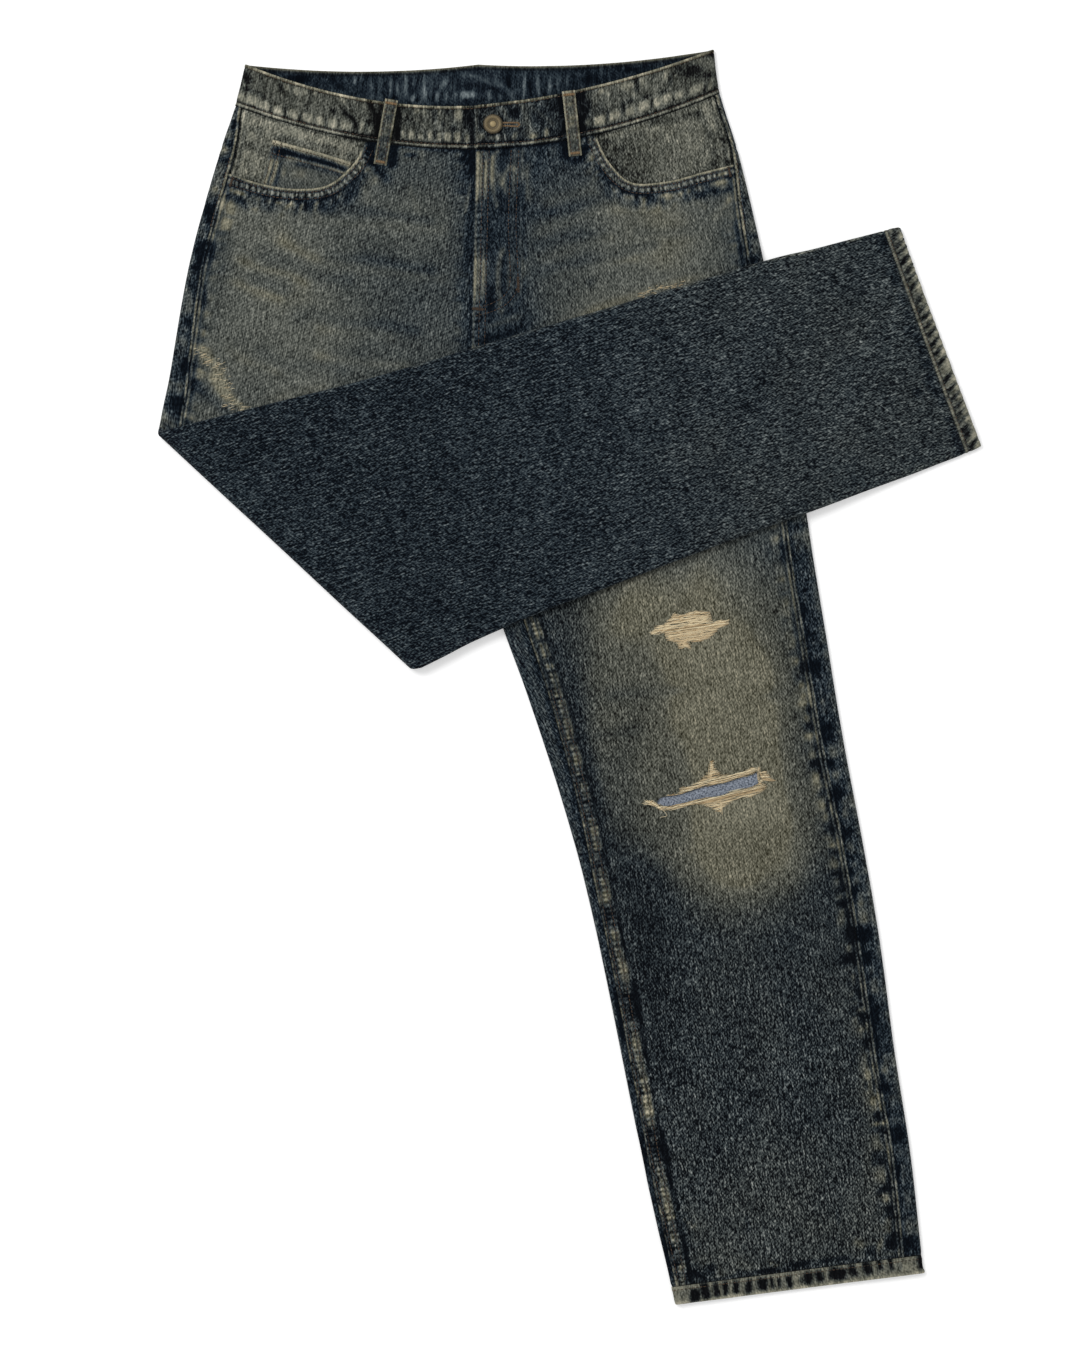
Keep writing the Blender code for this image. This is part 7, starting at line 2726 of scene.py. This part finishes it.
@dataclass
class CoinPocket:
    """A small pocket on the right facing, its top folded down and lumpy with wear."""

    # upper outer, upper inner, lower inner and lower outer
    corners: tuple[tuple[float, float], ...] = ((-254.0, 461.0), (-186.0, 442.0), (-200.5, 405.0), (-266.0, 418.0))
    rise: float = 1.45          # height of its middle above the facing's
    sheet: Sheet = field(init=False)

    def build(self, finishes: Finishes) -> bpy.types.Object:
        """Builds and dresses the pocket.

        Args:
            finishes: The finishes.

        Returns:
            The piece.
        """
        top_out, top_in, low_in, low_out = (np.array(p) for p in self.corners)
        down = np.concatenate([np.linspace(0.0, 0.44, 30), np.linspace(0.46, 1.0, 14)])[:, None, None]
        across = np.concatenate([np.linspace(0.0, 0.2, 20), np.linspace(0.22, 1.0, 30)])
        start = top_out * (1 - down) + low_out * down
        end = top_in * (1 - down) + low_in * down
        plan = start + (end - start) * across[None, :, None]
        x, y = plan[..., 0], plan[..., 1]
        z = facing_height(RIGHT, x, y) + self.rise
        look = Look(x, y, np.full(x.shape, 75.0))
        run, drop = ahead_of(plan, 1), ahead_of(plan, 0)
        band = smooth((13.4 - drop) / 1.2)
        look.trace(drop, run, 141, COIN_BAND, size=4.6, share=0.3)
        look.trace(run, drop, 142, COIN_SIDE, size=4.0, share=0.3)
        look.crease(COIN_CREASES)
        look.spots(COIN_SPOTS)
        lumps = ripple(run, 0.0, 4.6, 141)
        look.relief += band * 0.35 + 0.45 * lumps * band * hump((drop - 7.0) / 6.0)
        for stitched in (11.6, 15.0):
            look.line(drop, stitched, 0.7, 0.0, -0.25)
        look.level += 5.0 * ripple(x, y, 9.0, 143)
        look.grain *= 0.7
        middle = np.concatenate([plan, z[..., None]], axis=-1)
        self.sheet = Sheet("cloth_coin_pocket", middle, turned(plan, -0.2), 1.0, look.wear, relief=look.relief,
                           thick=LIGHT_CLOTH, lip=0.45, seam=np.stack([run / 3.2, drop], -1))
        return self.sheet.make(finishes.denim, "denim_faded", Held.LAID, ["cloth_facing_right"], "coin_pocket")


@dataclass
class RipPatch:
    """Light cloth behind the knee slit."""

    below_knee: tuple[float, float] = (0.12, 0.77)  # where it starts and ends, in places of the leg's table
    across: tuple[float, float] = (58.0, 193.0)     # its two sides, from the leg's outer edge
    turn: float = -14.0                             # degrees that its weave is turned
    sheet: Sheet = field(init=False)

    def build(self, finishes: Finishes) -> bpy.types.Object:
        """Builds and dresses the patch.

        Args:
            finishes: The finishes.

        Returns:
            The piece.
        """
        rows = LEFT.place("knee") + np.linspace(*self.below_knee, 24)
        w = np.linspace(*self.across, 46)
        place = np.repeat(rows[:, None], len(w), axis=1)
        bands = LEFT.at(place)
        middle = bands.top_point(np.broadcast_to(w, place.shape))
        middle[..., 2] -= DENIM / 2 + SEAM_GAP + LIGHT_CLOTH / 2
        x, y = middle[..., 0], middle[..., 1]
        middle[..., 2] += 0.12 * ripple(x, y, 12.0, 151)
        look = plain_look(middle, 120.0, 152)
        weave = turned(middle[..., :2], math.radians(self.turn))
        self.sheet = Sheet("cloth_rip_patch", middle, weave, -1.0, look.wear, thick=LIGHT_CLOTH)
        return self.sheet.make(finishes.chambray, "chambray", Held.LAID, ["cloth_back_left"], "rip_patch")


# ------------------------------------------------------------------ button, zip


@dataclass
class Button:
    """A turned waist button: a rim, a hollow and a small boss in the middle."""

    steps: int = 48
    # radius, height, and how far tumbling has polished it
    profile: tuple[tuple[float, float, float], ...] = (
        (0.0, 12.7, 1.25), (1.4, 12.65, 1.2), (2.4, 12.3, 0.9), (2.9, 11.95, 0.15), (3.6, 11.9, 0.3),
        (4.3, 12.1, 0.32), (4.9, 12.6, 0.4), (5.6, 12.95, 0.52), (6.6, 13.0, 0.42), (7.5, 12.8, 0.22),
        (8.2, 12.2, 0.15), (8.5, 11.5, 0.15), (8.4, 10.7, 0.05), (7.8, 10.1, 0.0), (5.0, 10.0, 0.0),
        (2.5, 10.0, 0.0), (2.5, 7.5, 0.0), (0.0, 7.5, 0.0))

    def build(self, finishes: Finishes) -> bpy.types.Object:
        """Builds the button by turning its outline.

        Args:
            finishes: The finishes.

        Returns:
            The piece.
        """
        x, y = BUTTON_AT
        turns = 2.0 * math.pi * np.arange(self.steps) / self.steps
        points, rub, faces, rings = [], [], [], []
        for radius, height, polish in self.profile:
            if radius == 0.0:
                rings.append([len(points)])
                points.append((x, y, height))
                rub.append(polish)
                continue
            rings.append(list(range(len(points), len(points) + self.steps)))
            for angle in turns:
                points.append((x + radius * math.cos(angle), y + radius * math.sin(angle), height))
                rub.append(polish)
        for upper, lower in zip(rings, rings[1:]):
            for k in range(self.steps):
                j = (k + 1) % self.steps
                if len(upper) == 1:
                    faces.append((upper[0], lower[k], lower[j]))
                elif len(lower) == 1:
                    faces.append((upper[k], lower[0], upper[j]))
                else:
                    faces.append((upper[k], lower[k], lower[j], upper[j]))
        ob = new_object("waist_button", np.array(points), faces, finishes.brass)
        set_attribute(ob.data, "rub", np.array(rub))
        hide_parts("button")
        LOG.info("waist_button: %d faces", len(faces))
        return ob


def dress_zip(finishes: Finishes) -> None:
    """Gives the zip, whose plain form is right, its woven tape.

    Args:
        finishes: The finishes.
    """
    for ob in bpy.data.objects:
        if ob.get("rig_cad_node") == "fly_zip":
            for slot in ob.material_slots:
                slot.material = finishes.tape
            LOG.info("%s: dressed", ob.name)


# ------------------------------------------------------------------ thread

STITCH_PITCH, STITCH_LENGTH, STITCH_WIDTH = 3.3, 2.65, 0.62
BAR_WIDTH = 0.68        # thickness of a bar's thread


class Thread(Enum):
    """The two colours of topstitching."""

    TAN = "tan"
    BROWN = "brown"


def grid_line(sheet: Sheet, down: float) -> Array:
    """A line along a sheet's outer face at a distance below its first row, or above its last if negative.

    Args:
        sheet: The sheet.
        down: The distance, one for all columns or one for each.

    Returns:
        The line's points.
    """
    far = ahead_of(sheet.outer, 0)
    want = down if down >= 0.0 else far[-1] + down
    points = np.empty((sheet.outer.shape[1], 3))
    for j in range(len(points)):
        at = want if np.isscalar(want) else want[j]
        for k in range(3):
            points[j, k] = np.interp(at, far[:, j], sheet.outer[:, j, k])
    return points


@dataclass
class Stitching:
    """All the topstitching, in one mesh for each colour."""

    tan: Strands = field(default_factory=lambda: Strands("topstitch_tan"))
    brown: Strands = field(default_factory=lambda: Strands("topstitch_brown"))
    count: int = 0

    def _pick(self, thread: Thread) -> Strands:
        """The mesh of one colour."""
        return self.tan if thread is Thread.TAN else self.brown

    def along(self, points: Array, thread: Thread, way: float = 1.0) -> None:
        """Sews a row of stitches through points that lie on the cloth.

        Args:
            points: The row, in space.
            thread: Its colour.
            way: 1 where the outside faces up, -1 where it faces down.
        """
        if len(points) < 3:
            return
        run = np.concatenate([[0.0], np.cumsum(np.linalg.norm(np.diff(points, axis=0), axis=1))])
        for k in range(int(run[-1] / STITCH_PITCH)):
            self.count += 1
            shade = 0.5 + 0.45 * float(ripple(self.count * 1.0, 0.0, 1.0, 161))
            marks = (k + 0.1) * STITCH_PITCH + STITCH_LENGTH * np.array((0.0, 0.22, 0.78, 1.0))
            path = np.stack([np.interp(marks, run, points[:, j]) for j in range(3)], axis=1)
            path[:, 2] += way * np.array((-0.22, 0.14, 0.14, -0.22))
            self._pick(thread).lay(path, STITCH_WIDTH, shade)

    def over(self, line: Array, sheets: Sequence[Sheet], thread: Thread, under: bool = False) -> None:
        """Sews a row along a line of the plane, on the cloth that it meets."""
        trees = [sheet.tree() for sheet in sheets]
        self.along(onto(even(line, 1.6), trees, under), thread, -1.0 if under else 1.0)

    def bar(self, start: tuple[float, float], end: tuple[float, float], sheets: Sequence[Sheet], thread: Thread,
            wide: float = 2.0) -> None:
        """A bar of close stitches across a line from start to end.

        Args:
            start: Where the bar starts.
            end: Where it ends.
            sheets: The cloth that it is sewn to.
            thread: Its colour.
            wide: Length of a stitch, across the bar.
        """
        trees = [sheet.tree() for sheet in sheets]
        line = even(np.array((start, end)), STITCH_WIDTH)
        aside = beside(line, wide / 2) - line
        for k, (middle, off) in enumerate(zip(line, aside)):
            path = onto(np.array((middle - off, middle - off * 0.3, middle + off * 0.3, middle + off)), trees)
            if len(path) == 4:
                path[:, 2] += (0.0, 0.34, 0.34, 0.0)
                self._pick(thread).lay(path, BAR_WIDTH, 0.5 + 0.4 * float(ripple(k * 1.0, 0.0, 1.0, 162)))

    def make(self, finishes: Finishes) -> None:
        """Builds the meshes."""
        self.tan.make(finishes.tan, "denim_worn")
        self.brown.make(finishes.brown, "denim_worn")


def leg_line(leg: LegForm, first: float, last: float, off: float, from_inner: bool = False) -> Array:
    """A line down a front at a distance from the outseam or the inseam, as it lies in the plane.

    Args:
        leg: The leg.
        first: Place where the line starts.
        last: Place where it ends.
        off: Distance from the seam.
        from_inner: Whether that is the inseam.

    Returns:
        The line's points.
    """
    place = leg.spaced(first, last, 4.0)
    bands = leg.at(place)
    w = bands.width - bands.values["inseam"] - off if from_inner else bands.values["outseam"] + off
    return leg.lay(bands.top_point(w), bands.values["rest"])[:, :2]


@dataclass
class Garment:
    """Every cloth piece of the jeans."""

    fronts: dict[Side, FrontPanel] = field(default_factory=lambda: {leg.side: FrontPanel(leg) for leg in LEGS})
    backs: dict[Side, BackPanel] = field(
        default_factory=lambda: {leg.side: BackPanel(leg, "yoke seam", "hem top", "back") for leg in LEGS})
    yokes: dict[Side, BackPanel] = field(
        default_factory=lambda: {leg.side: BackPanel(leg, "waist seam", "yoke seam", "yoke") for leg in LEGS})
    hems: dict[Side, HemRing] = field(default_factory=lambda: {leg.side: HemRing(leg) for leg in LEGS})
    facings: dict[Side, Facing] = field(default_factory=lambda: {leg.side: Facing(leg) for leg in LEGS})
    band: Waistband = field(default_factory=Waistband)
    coin: CoinPocket = field(default_factory=CoinPocket)
    patch: RipPatch = field(default_factory=RipPatch)
    loops: dict[Side, BeltLoop] = field(default_factory=lambda: {
        side: BeltLoop(side, *ends) for side, ends in LOOP_ENDS.items()})
    beneath: list[FlatPiece] = field(default_factory=list)

    def build(self, finishes: Finishes) -> None:
        """Builds every piece, from the lowest up.

        Args:
            finishes: The finishes.
        """
        # x, and y of the top and of the bottom of each back loop
        for name, x, top, bottom in (("left", 37.0, 519.0, 468.0), ("centre", -78.0, 524.5, 473.0),
                                     ("right", -205.0, 516.0, 466.0)):
            half = LOOP_WIDTH / 2
            corners = ((x - half, top), (x + half, top), (x + half, bottom), (x - half, bottom))
            self.beneath.append(FlatPiece(f"cloth_loop_back_{name}", f"loop_back_{name}", corners, 78.0, 10, 30))
        # x of the middle of each back pocket, and the way to its outer side
        for side, middle, way in (("left", 22.0, 1.0), ("right", -186.0, -1.0)):
            corners = [(middle + way * x, BACK_POCKET_Y + y) for x, y in BACK_POCKET]
            self.beneath.append(FlatPiece(f"cloth_back_pocket_{side}", f"back_pocket_{side}", corners, 60.0))
        for piece in self.beneath:
            piece.build(finishes)
        for side in Side:
            for group in (self.backs, self.yokes, self.facings, self.hems):
                group[side].build(finishes)
        self.patch.build(finishes)
        self.coin.build(finishes)
        for side in Side:
            self.fronts[side].build(finishes)
        self.band.build(finishes)
        for side in Side:
            self.loops[side].build(finishes)

    def sew(self, finishes: Finishes) -> None:
        """Topstitches every seam that has it.

        Args:
            finishes: The finishes.
        """
        sewn = Stitching()
        band = self.band.sheet
        sewn.along(grid_line(band, BAND_STITCHES[0]), Thread.BROWN)
        sewn.along(grid_line(band, -BAND_STITCHES[1]), Thread.BROWN)
        for hem in self.hems.values():
            sewn.along(grid_line(hem.sheet, 2.9), Thread.BROWN)
        for leg in LEGS:
            front = [self.fronts[leg.side].sheet]
            line = curve_through(leg.opening, 2.0)
            for off in (2.2, 7.9) if leg.folded else OPENING_STITCHES:
                sewn.over(beside(line, -leg.out * off), front, Thread.BROWN)
        left = [self.fronts[Side.LEFT].sheet]
        for off in FLY_STITCHES:
            sewn.over(leg_line(LEFT, 1.03, 5.0, off, True), left, Thread.BROWN)
        fly = curve_through(FLY_STITCH, 3.0)
        for off in (0.0, -6.6):
            sewn.over(beside(fly, off), left, Thread.BROWN)
        sewn.bar((-84.0, 316.0), (-73.0, 315.0), left, Thread.BROWN, 2.6)
        sewn.bar((-43.4, 343.0), (-43.0, 330.0), left, Thread.BROWN, 2.6)
        knee, hem = LEFT.place("above knee"), LEFT.place("hem top") - 0.02
        for off in (2.9, 9.3):
            sewn.over(leg_line(LEFT, knee, hem, off, True), left, Thread.BROWN)
        for leg in LEGS:
            sewn.over(leg_line(leg, 2.1, 3.3, -2.6), [self.backs[leg.side].sheet], Thread.BROWN)
        self._sew_small(sewn)
        self._sew_beneath(sewn)
        sewn.make(finishes)

    def _sew_small(self, sewn: Stitching) -> None:
        """Loops, coin pocket and bars.

        Args:
            sewn: The topstitching to add to.
        """
        band = self.band.sheet
        for loop in self.loops.values():
            down, aside = loop.axes()
            top, bottom = np.array(loop.top), np.array(loop.bottom)
            for off in (-3.2, 3.2):
                sewn.over(np.array((top + aside * off, bottom + aside * off)), [loop.sheet], Thread.BROWN)
            for end, wide in ((top + down * 3.4, 4.6), (bottom - down * 2.4, 3.8)):
                sewn.bar(tuple(end - aside * wide), tuple(end + aside * wide), [loop.sheet], Thread.TAN, 2.6)
        top_out, top_in, _, low_out = (np.array(p) for p in self.coin.corners)
        unit = (low_out - top_out) / np.linalg.norm(low_out - top_out)
        for off in (2.8, 11.6):
            sewn.over(np.array((top_out + unit * off, top_in + unit * off)), [self.coin.sheet], Thread.BROWN)
        across = (top_in - top_out) / np.linalg.norm(top_in - top_out)
        for off in (2.6, 8.0):
            sewn.over(np.array((top_out + across * off, low_out + across * off)), [self.coin.sheet], Thread.BROWN)
        for leg in LEGS:
            end = np.array(leg.opening[-1])
            inward = np.array(leg.opening[-2]) - end
            inward /= np.linalg.norm(inward)
            low = np.array((inward[1], -inward[0])) * leg.out
            low = low if low[1] < 0 else -low
            start = end + inward * 4.0 + low * 1.0
            sewn.bar(tuple(start), tuple(start + low * 8.4), [self.fronts[leg.side].sheet], Thread.BROWN, 2.2)
        # the buttonhole is barred round its open end, beside the button
        x, y = BUTTON_AT
        hole = [(x + 6.0, y + 1.2), (x + 21.5, y + 1.6), (x + 22.8, y), (x + 21.5, y - 1.6), (x + 6.0, y - 1.2)]
        for a, b in zip(hole, hole[1:]):
            sewn.bar(a, b, [band], Thread.TAN, 1.6)

    def _sew_beneath(self, sewn: Stitching) -> None:
        """Yoke, centre back and back pockets, on the side that the garment lies on.

        Args:
            sewn: The topstitching to add to.
        """
        for leg in LEGS:
            back = [self.backs[leg.side].sheet]
            for off in (0.05, 0.2):
                bands = leg.at(np.full(60, leg.place("yoke seam") + off))
                w = np.linspace(8.0, float(bands.width[0]) - 7.0, 60)
                sewn.over(bands.bottom_point(w)[:, :2], back, Thread.TAN, under=True)
            place = leg.spaced(leg.place("yoke seam") + 0.1, leg.place("crotch"), 6.0)
            bands = leg.at(place)
            for off in (2.2, 8.2) if leg is LEFT else ():
                sewn.over(bands.bottom_point(bands.width - off)[:, :2], back, Thread.TAN, under=True)
        for piece in self.beneath:
            if "pocket" not in piece.name:
                continue
            corners = np.array(piece.corners)
            middle = corners.mean(axis=0)
            for inset in (0.035, 0.13):
                ring = corners + (middle - corners) * inset
                ring = np.vstack([ring[1:], ring[:1]])
                sewn.over(ring, [piece.sheet], Thread.TAN, under=True)


# ------------------------------------------------------------------ worn-through places

UPPER_RIP = (
    (84.7, 46.4), (89, 50.7), (90.7, 53.3), (98.5, 52.5), (104.5, 55), (110.5, 55.9), (115.7, 55.9),
    (121.7, 55), (122.6, 49.9), (124.3, 45.6), (130.3, 48.2), (137.2, 47.3), (138, 44.7), (132, 42.1),
    (128.6, 40.4), (125.1, 36.1), (120.8, 32.7), (114.8, 30.1), (108.8, 29.2), (102.8, 30.1), (104.5, 25.8),
    (95.9, 24.1), (94.2, 28.4), (89, 30.1), (84.7, 31), (83, 37), (82.1, 38.7), (71.8, 36.1), (71, 37.8),
    (74.4, 40.4), (75.3, 43), (82.1, 43.9),
)
UPPER_FRAY = (
    (84, -102.6), (95.9, -100.8), (96, -96.3), (104.5, -94.6), (113.1, -90.3), (118.3, -85.1), (122.6, -82),
    (122.6, -73.5), (127, -80.8), (132, -86), (143.2, -84.3), (151.8, -81.7), (157.8, -79.1), (163, -78.3),
    (163.8, -80.8), (157.8, -84.3), (151.8, -86), (143.2, -88.6), (134.6, -91.6), (126, -93.3), (117.4, -94.6),
    (110.5, -96.3), (104.5, -98.9), (95.9, -101.5), (87.3, -103.2),
)
LOWER_FRAY = (
    (70.1, -107), (76.1, -110.1), (80.4, -111.8), (87.3, -112.2), (95.9, -110.5), (104.5, -107.9),
    (113.1, -105.8), (121.7, -104.5), (130.3, -103.2), (137.2, -101.1), (143.2, -98.5), (151.8, -97.2),
    (160.4, -95), (164.7, -92), (169.9, -92.9), (168.1, -98), (164.7, -100.6), (156.1, -104.1),
    (149.2, -104.9), (143.2, -105.8), (137.2, -110.1), (132, -114.4), (130.3, -117), (123.4, -113.5),
    (117.4, -110.9), (111.4, -109.2), (104.5, -110.9), (95.9, -113.5), (87.3, -115.2), (78.7, -115.2),
)
RIGHT_FRAY = (
    (163.8, -82.6), (168.9, -82), (174.2, -87.7), (177.6, -89.4), (173.3, -90.7), (168.1, -90.3), (163.8, -92),
)
# worn lines at the right hip and on the left thigh
HIP_SCRAPE = ((-321, 281), (-313, 271), (-301, 270), (-303, 262), (-295, 254), (-292, 245), (-294, 237),
              (-286, 232), (-276.5, 229))
THIGH_SCRAPE = ((60.6, 326.8), (72.7, 332), (84.7, 333.7), (98, 337))
# from, to, how far the ends spread, and how many threads
TUFTS = (
    ((84, 39), (71, 37.4), 1.0, 9), ((122, 44), (138, 47), 1.0, 9), ((96, 29), (105, 23.4), 0.8, 5),
    ((164, -78), (163.8, -91), 0.35, 4), ((75.5, -111), (66, -108), 1.6, 16),
    ((122, -90), (122.6, -75), 0.7, 7), ((131, -108), (132, -118.5), 0.8, 5),
)


@dataclass
class Fraying:
    """Bare weft threads left where the warp is worn or cut away."""

    strands: Strands = field(default_factory=lambda: Strands("bare_weft_threads"))
    draws: np.random.Generator = field(default_factory=lambda: np.random.default_rng(17))

    def fill(self, outline: Line, angle: float, spacing: float, trees: Sequence[BVHTree], stray: float = 3.0,
             lift: float = 0.3, width: float = 0.42) -> None:
        """Fills an outline with threads that run at an angle and end unevenly past its sides.

        Args:
            outline: The worn place.
            angle: Direction of the threads, in degrees.
            spacing: Distance between threads.
            trees: The cloth that they lie on.
            stray: How far their ends stray.
            lift: How high they stand off the cloth.
            width: Their thickness.
        """
        turn = math.radians(angle)
        level = turned(np.array(outline), -turn)
        for y in np.arange(level[:, 1].min() + 0.2, level[:, 1].max(), spacing):
            crossings = []
            for (ax, ay), (bx, by) in zip(level, np.roll(level, -1, axis=0)):
                if (ay > y) != (by > y):
                    crossings.append(ax + (bx - ax) * (y - ay) / (by - ay))
            crossings.sort()
            for low, high in zip(crossings[::2], crossings[1::2]):
                low -= abs(self.draws.normal(0.0, stray * 0.5))
                high += abs(self.draws.normal(0.0, stray * 0.5))
                self._thread(low, high, y, turn, trees, lift, width)

    def _thread(self, low: float, high: float, y: float, turn: float, trees: Sequence[BVHTree], lift: float,
                width: float) -> None:
        """One wavy thread between two ends.

        Args:
            low: Place across where it starts.
            high: Place across where it ends.
            y: Its place along.
            turn: How it leans, in radians.
            trees: The cloth that it lies on.
            lift: How far it bows up in the middle.
            width: Its thickness.
        """
        count = int(np.clip((high - low) / 4.0, 4, 10))
        x = np.linspace(low, high, count)
        sway = self.draws.normal(0.0, 0.35, count) + self.draws.normal(0.0, 0.25)
        line = turned(np.stack([x, y + sway], axis=-1), turn)
        path = onto(line, trees)
        if len(path) < 3:
            return
        path[:, 2] += lift + self.draws.uniform(0.0, 0.35)
        path[[0, -1], 2] -= lift * 0.7
        self.strands.lay(path, width * self.draws.uniform(0.75, 1.2), float(self.draws.uniform(0.15, 1.0)))

    def tuft(self, start: tuple[float, float], end: tuple[float, float], spread: float, count: int,
             trees: Sequence[BVHTree]) -> None:
        """A few loose threads that fan from start to end.

        Args:
            start: Where they leave the cloth.
            end: Middle of their loose ends.
            spread: How far the ends spread.
            count: How many there are.
            trees: The cloth that they lie on.
        """
        for _ in range(count):
            a = np.array(start) + self.draws.normal(0.0, spread * 0.4, 2)
            b = np.array(end) + self.draws.normal(0.0, spread, 2)
            middle = (a + b) / 2 + self.draws.normal(0.0, 0.8, 2)
            line = curve_through((tuple(a), tuple(middle), tuple(b)), 1.6)
            path = onto(line, trees)
            if len(path) > 2:
                path[:, 2] += 0.35 + self.draws.uniform(0.0, 0.4)
                self.strands.lay(path, 0.36, float(self.draws.uniform(0.3, 1.0)))

    def build(self, garment: Garment, finishes: Finishes) -> None:
        """Builds the two knee rips and the worn places at the right hip and the left thigh.

        Args:
            garment: The garment that is worn through.
            finishes: The finishes.
        """
        knee = [garment.fronts[Side.LEFT].sheet.tree(), garment.patch.sheet.tree()]
        hip = [garment.fronts[Side.RIGHT].sheet.tree()]
        self.fill(UPPER_RIP, 8.0, 0.36, knee, 1.6, 0.3, 0.56)
        for outline, angle in ((UPPER_FRAY, 13.0), (LOWER_FRAY, 13.0), (RIGHT_FRAY, -4.0)):
            self.fill(outline, angle, 0.42, knee, 2.0, 0.45, 0.5)
        for start, end, spread, count in TUFTS:
            self.tuft(start, end, spread, count, knee)
        self.strands.lay(onto(curve_through(((76.1, -111.0), (84.7, -119.5), (78.7, -121.7)), 1.4), knee)
                         + (0.0, 0.0, 0.5), 0.4, 0.8)
        self._scrape(HIP_SCRAPE, 1.15, 2.6, 3.0, hip, 0.36, 0.5, 1.0)
        self._scrape(THIGH_SCRAPE, 1.1, 1.4, 2.6, knee[:1], 0.45, 0.2, 0.9)
        self.strands.make(finishes.weft, "denim_faded")

    def _scrape(self, line: Line, step: float, spread: float, reach: float, trees: Sequence[BVHTree],
                width: float, dark: float, light: float) -> None:
        """Lays short ends of weft along a worn line.

        Args:
            line: The worn line.
            step: Distance between threads.
            spread: How far they stray from the line.
            reach: Half the length of the longest.
            trees: The cloth that they lie on.
            width: Their thickness.
            dark: Shade of the darkest.
            light: Shade of the lightest.
        """
        for x, y in even(curve_through(line, 2.0), step):
            at = np.array((x, y)) + self.draws.normal(0.0, spread, 2)
            half = self.draws.uniform(0.9, reach) * np.array((0.97, 0.22))
            path = onto(np.array((at - half, at, at + half)), trees)
            if len(path) == 3:
                path[:, 2] += (0.0, 0.3, 0.0)
                self.strands.lay(path, width, float(self.draws.uniform(dark, light)))


# ------------------------------------------------------------------ surroundings


@dataclass(frozen=True)
class Stage:
    """A white floor, a soft sky, a key light from the upper left, and the camera straight above."""

    # all in metres
    centre: tuple[float, float] = (-0.0245, 0.0009)
    frame_height: float = 1.161     # how much the camera sees, from top to bottom
    eye: float = 3.0                # height of the camera
    half_floor: float = 5.0

    def build(self) -> None:
        """Builds the stage."""
        mesh = bpy.data.meshes.new("floor")
        half = self.half_floor
        mesh.from_pydata([(-half, -half, 0.0), (half, -half, 0.0), (half, half, 0.0), (-half, half, 0.0)], [],
                         [(0, 1, 2, 3)])
        floor = bpy.data.objects.new("floor", mesh)
        bpy.context.scene.collection.objects.link(floor)
        floor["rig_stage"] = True
        mesh.materials.append(self._floor_finish())
        self._sky()
        self._key()
        self._camera()

    @staticmethod
    def _floor_finish() -> bpy.types.Material:
        """Matt white card, lifted to a clean white for the eye.

        Returns:
            The material.
        """
        made, tree, shader = new_material("matt_white_card")
        ray = add(tree, "LightPath", out="Is Camera Ray")
        # the lamp fades with distance, so the card is lifted more far from the garment
        where = add(tree, "TexCoord", out="Object")
        far = add(tree, "VectorMath", (where,), "Value", operation="LENGTH")
        share = add(tree, "MapRange", {"Value": far, "From Min": 1.0, "From Max": 3.2, "To Min": 0.30,
                                       "To Max": 0.48})
        wire(shader, {
            "Base Color": linear("f6f6f6"), "Roughness": 1.0, "Specular IOR Level": 0.0,
            "Emission Color": linear("ffffff"),
            "Emission Strength": add(tree, "Math", (ray, share), operation="MULTIPLY")})
        return made

    @staticmethod
    def _sky() -> None:
        """An even, soft sky that is plain white where it is seen."""
        world = bpy.data.worlds.new("soft_sky")
        world.use_nodes = True
        tree = world.node_tree
        rays = add(tree, "LightPath").node.outputs
        seen = rays["Is Camera Ray"]
        for name in ("Is Glossy Ray", "Is Transmission Ray"):
            seen = add(tree, "Math", (seen, rays[name]), operation="MAXIMUM")
        light = 0.62            # strength of the sky's light; where it is seen it is 1, plain white
        wire(tree.nodes["Background"], {
            "Color": linear("ffffff"),
            "Strength": add(tree, "Math", (seen, 1.0 - light, light), operation="MULTIPLY_ADD")})
        bpy.context.scene.world = world

    def _key(self) -> None:
        """A broad lamp from the upper left."""
        light = bpy.data.lights.new("key", "AREA")
        light.size = 1.8
        light.energy = 76.0
        ob = bpy.data.objects.new("key", light)
        bpy.context.scene.collection.objects.link(ob)
        ob.location = (self.centre[0] - 1.7, self.centre[1] + 1.7, 3.2)
        aim = Vector((*self.centre, 0.0)) - ob.location
        ob.rotation_euler = aim.to_track_quat("-Z", "Y").to_euler()

    def _camera(self) -> None:
        """Straight down, with the garment's top at the top."""
        data = bpy.data.cameras.new("above")
        data.sensor_fit = "VERTICAL"
        data.sensor_height = 36.0
        # the height is taken at the middle of the flattened cloth
        data.lens = data.sensor_height * (self.eye - 0.006) / self.frame_height
        ob = bpy.data.objects.new("above", data)
        bpy.context.scene.collection.objects.link(ob)
        ob.location = (*self.centre, self.eye)
        bpy.context.scene.camera = ob


def write_sizes() -> None:
    """Works out the box of the solids and the box of what shows; they are not kept."""
    def plain(box: object) -> object:
        """The same box as plain lists.

        Args:
            box: The box.

        Returns:
            The lists.
        """
        if isinstance(box, dict):
            return {key: plain(value) for key, value in box.items()}
        if hasattr(box, "__len__"):
            return [plain(value) for value in box]
        return float(box)

    {"cad": plain(CAD_BOX), "scene": plain(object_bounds())}


def main() -> None:
    """Builds the garment, its stitching and its worn places, and sets the stage."""
    logging.basicConfig(level=logging.INFO, format="%(message)s")
    scene = bpy.context.scene
    scene.view_settings.view_transform = "Standard"
    finishes = Finishes()
    garment = Garment()
    garment.build(finishes)
    garment.sew(finishes)
    Fraying().build(garment, finishes)
    Button().build(finishes)
    dress_zip(finishes)
    Stage().build()
    write_sizes()


if __name__ == "__main__":
    main()
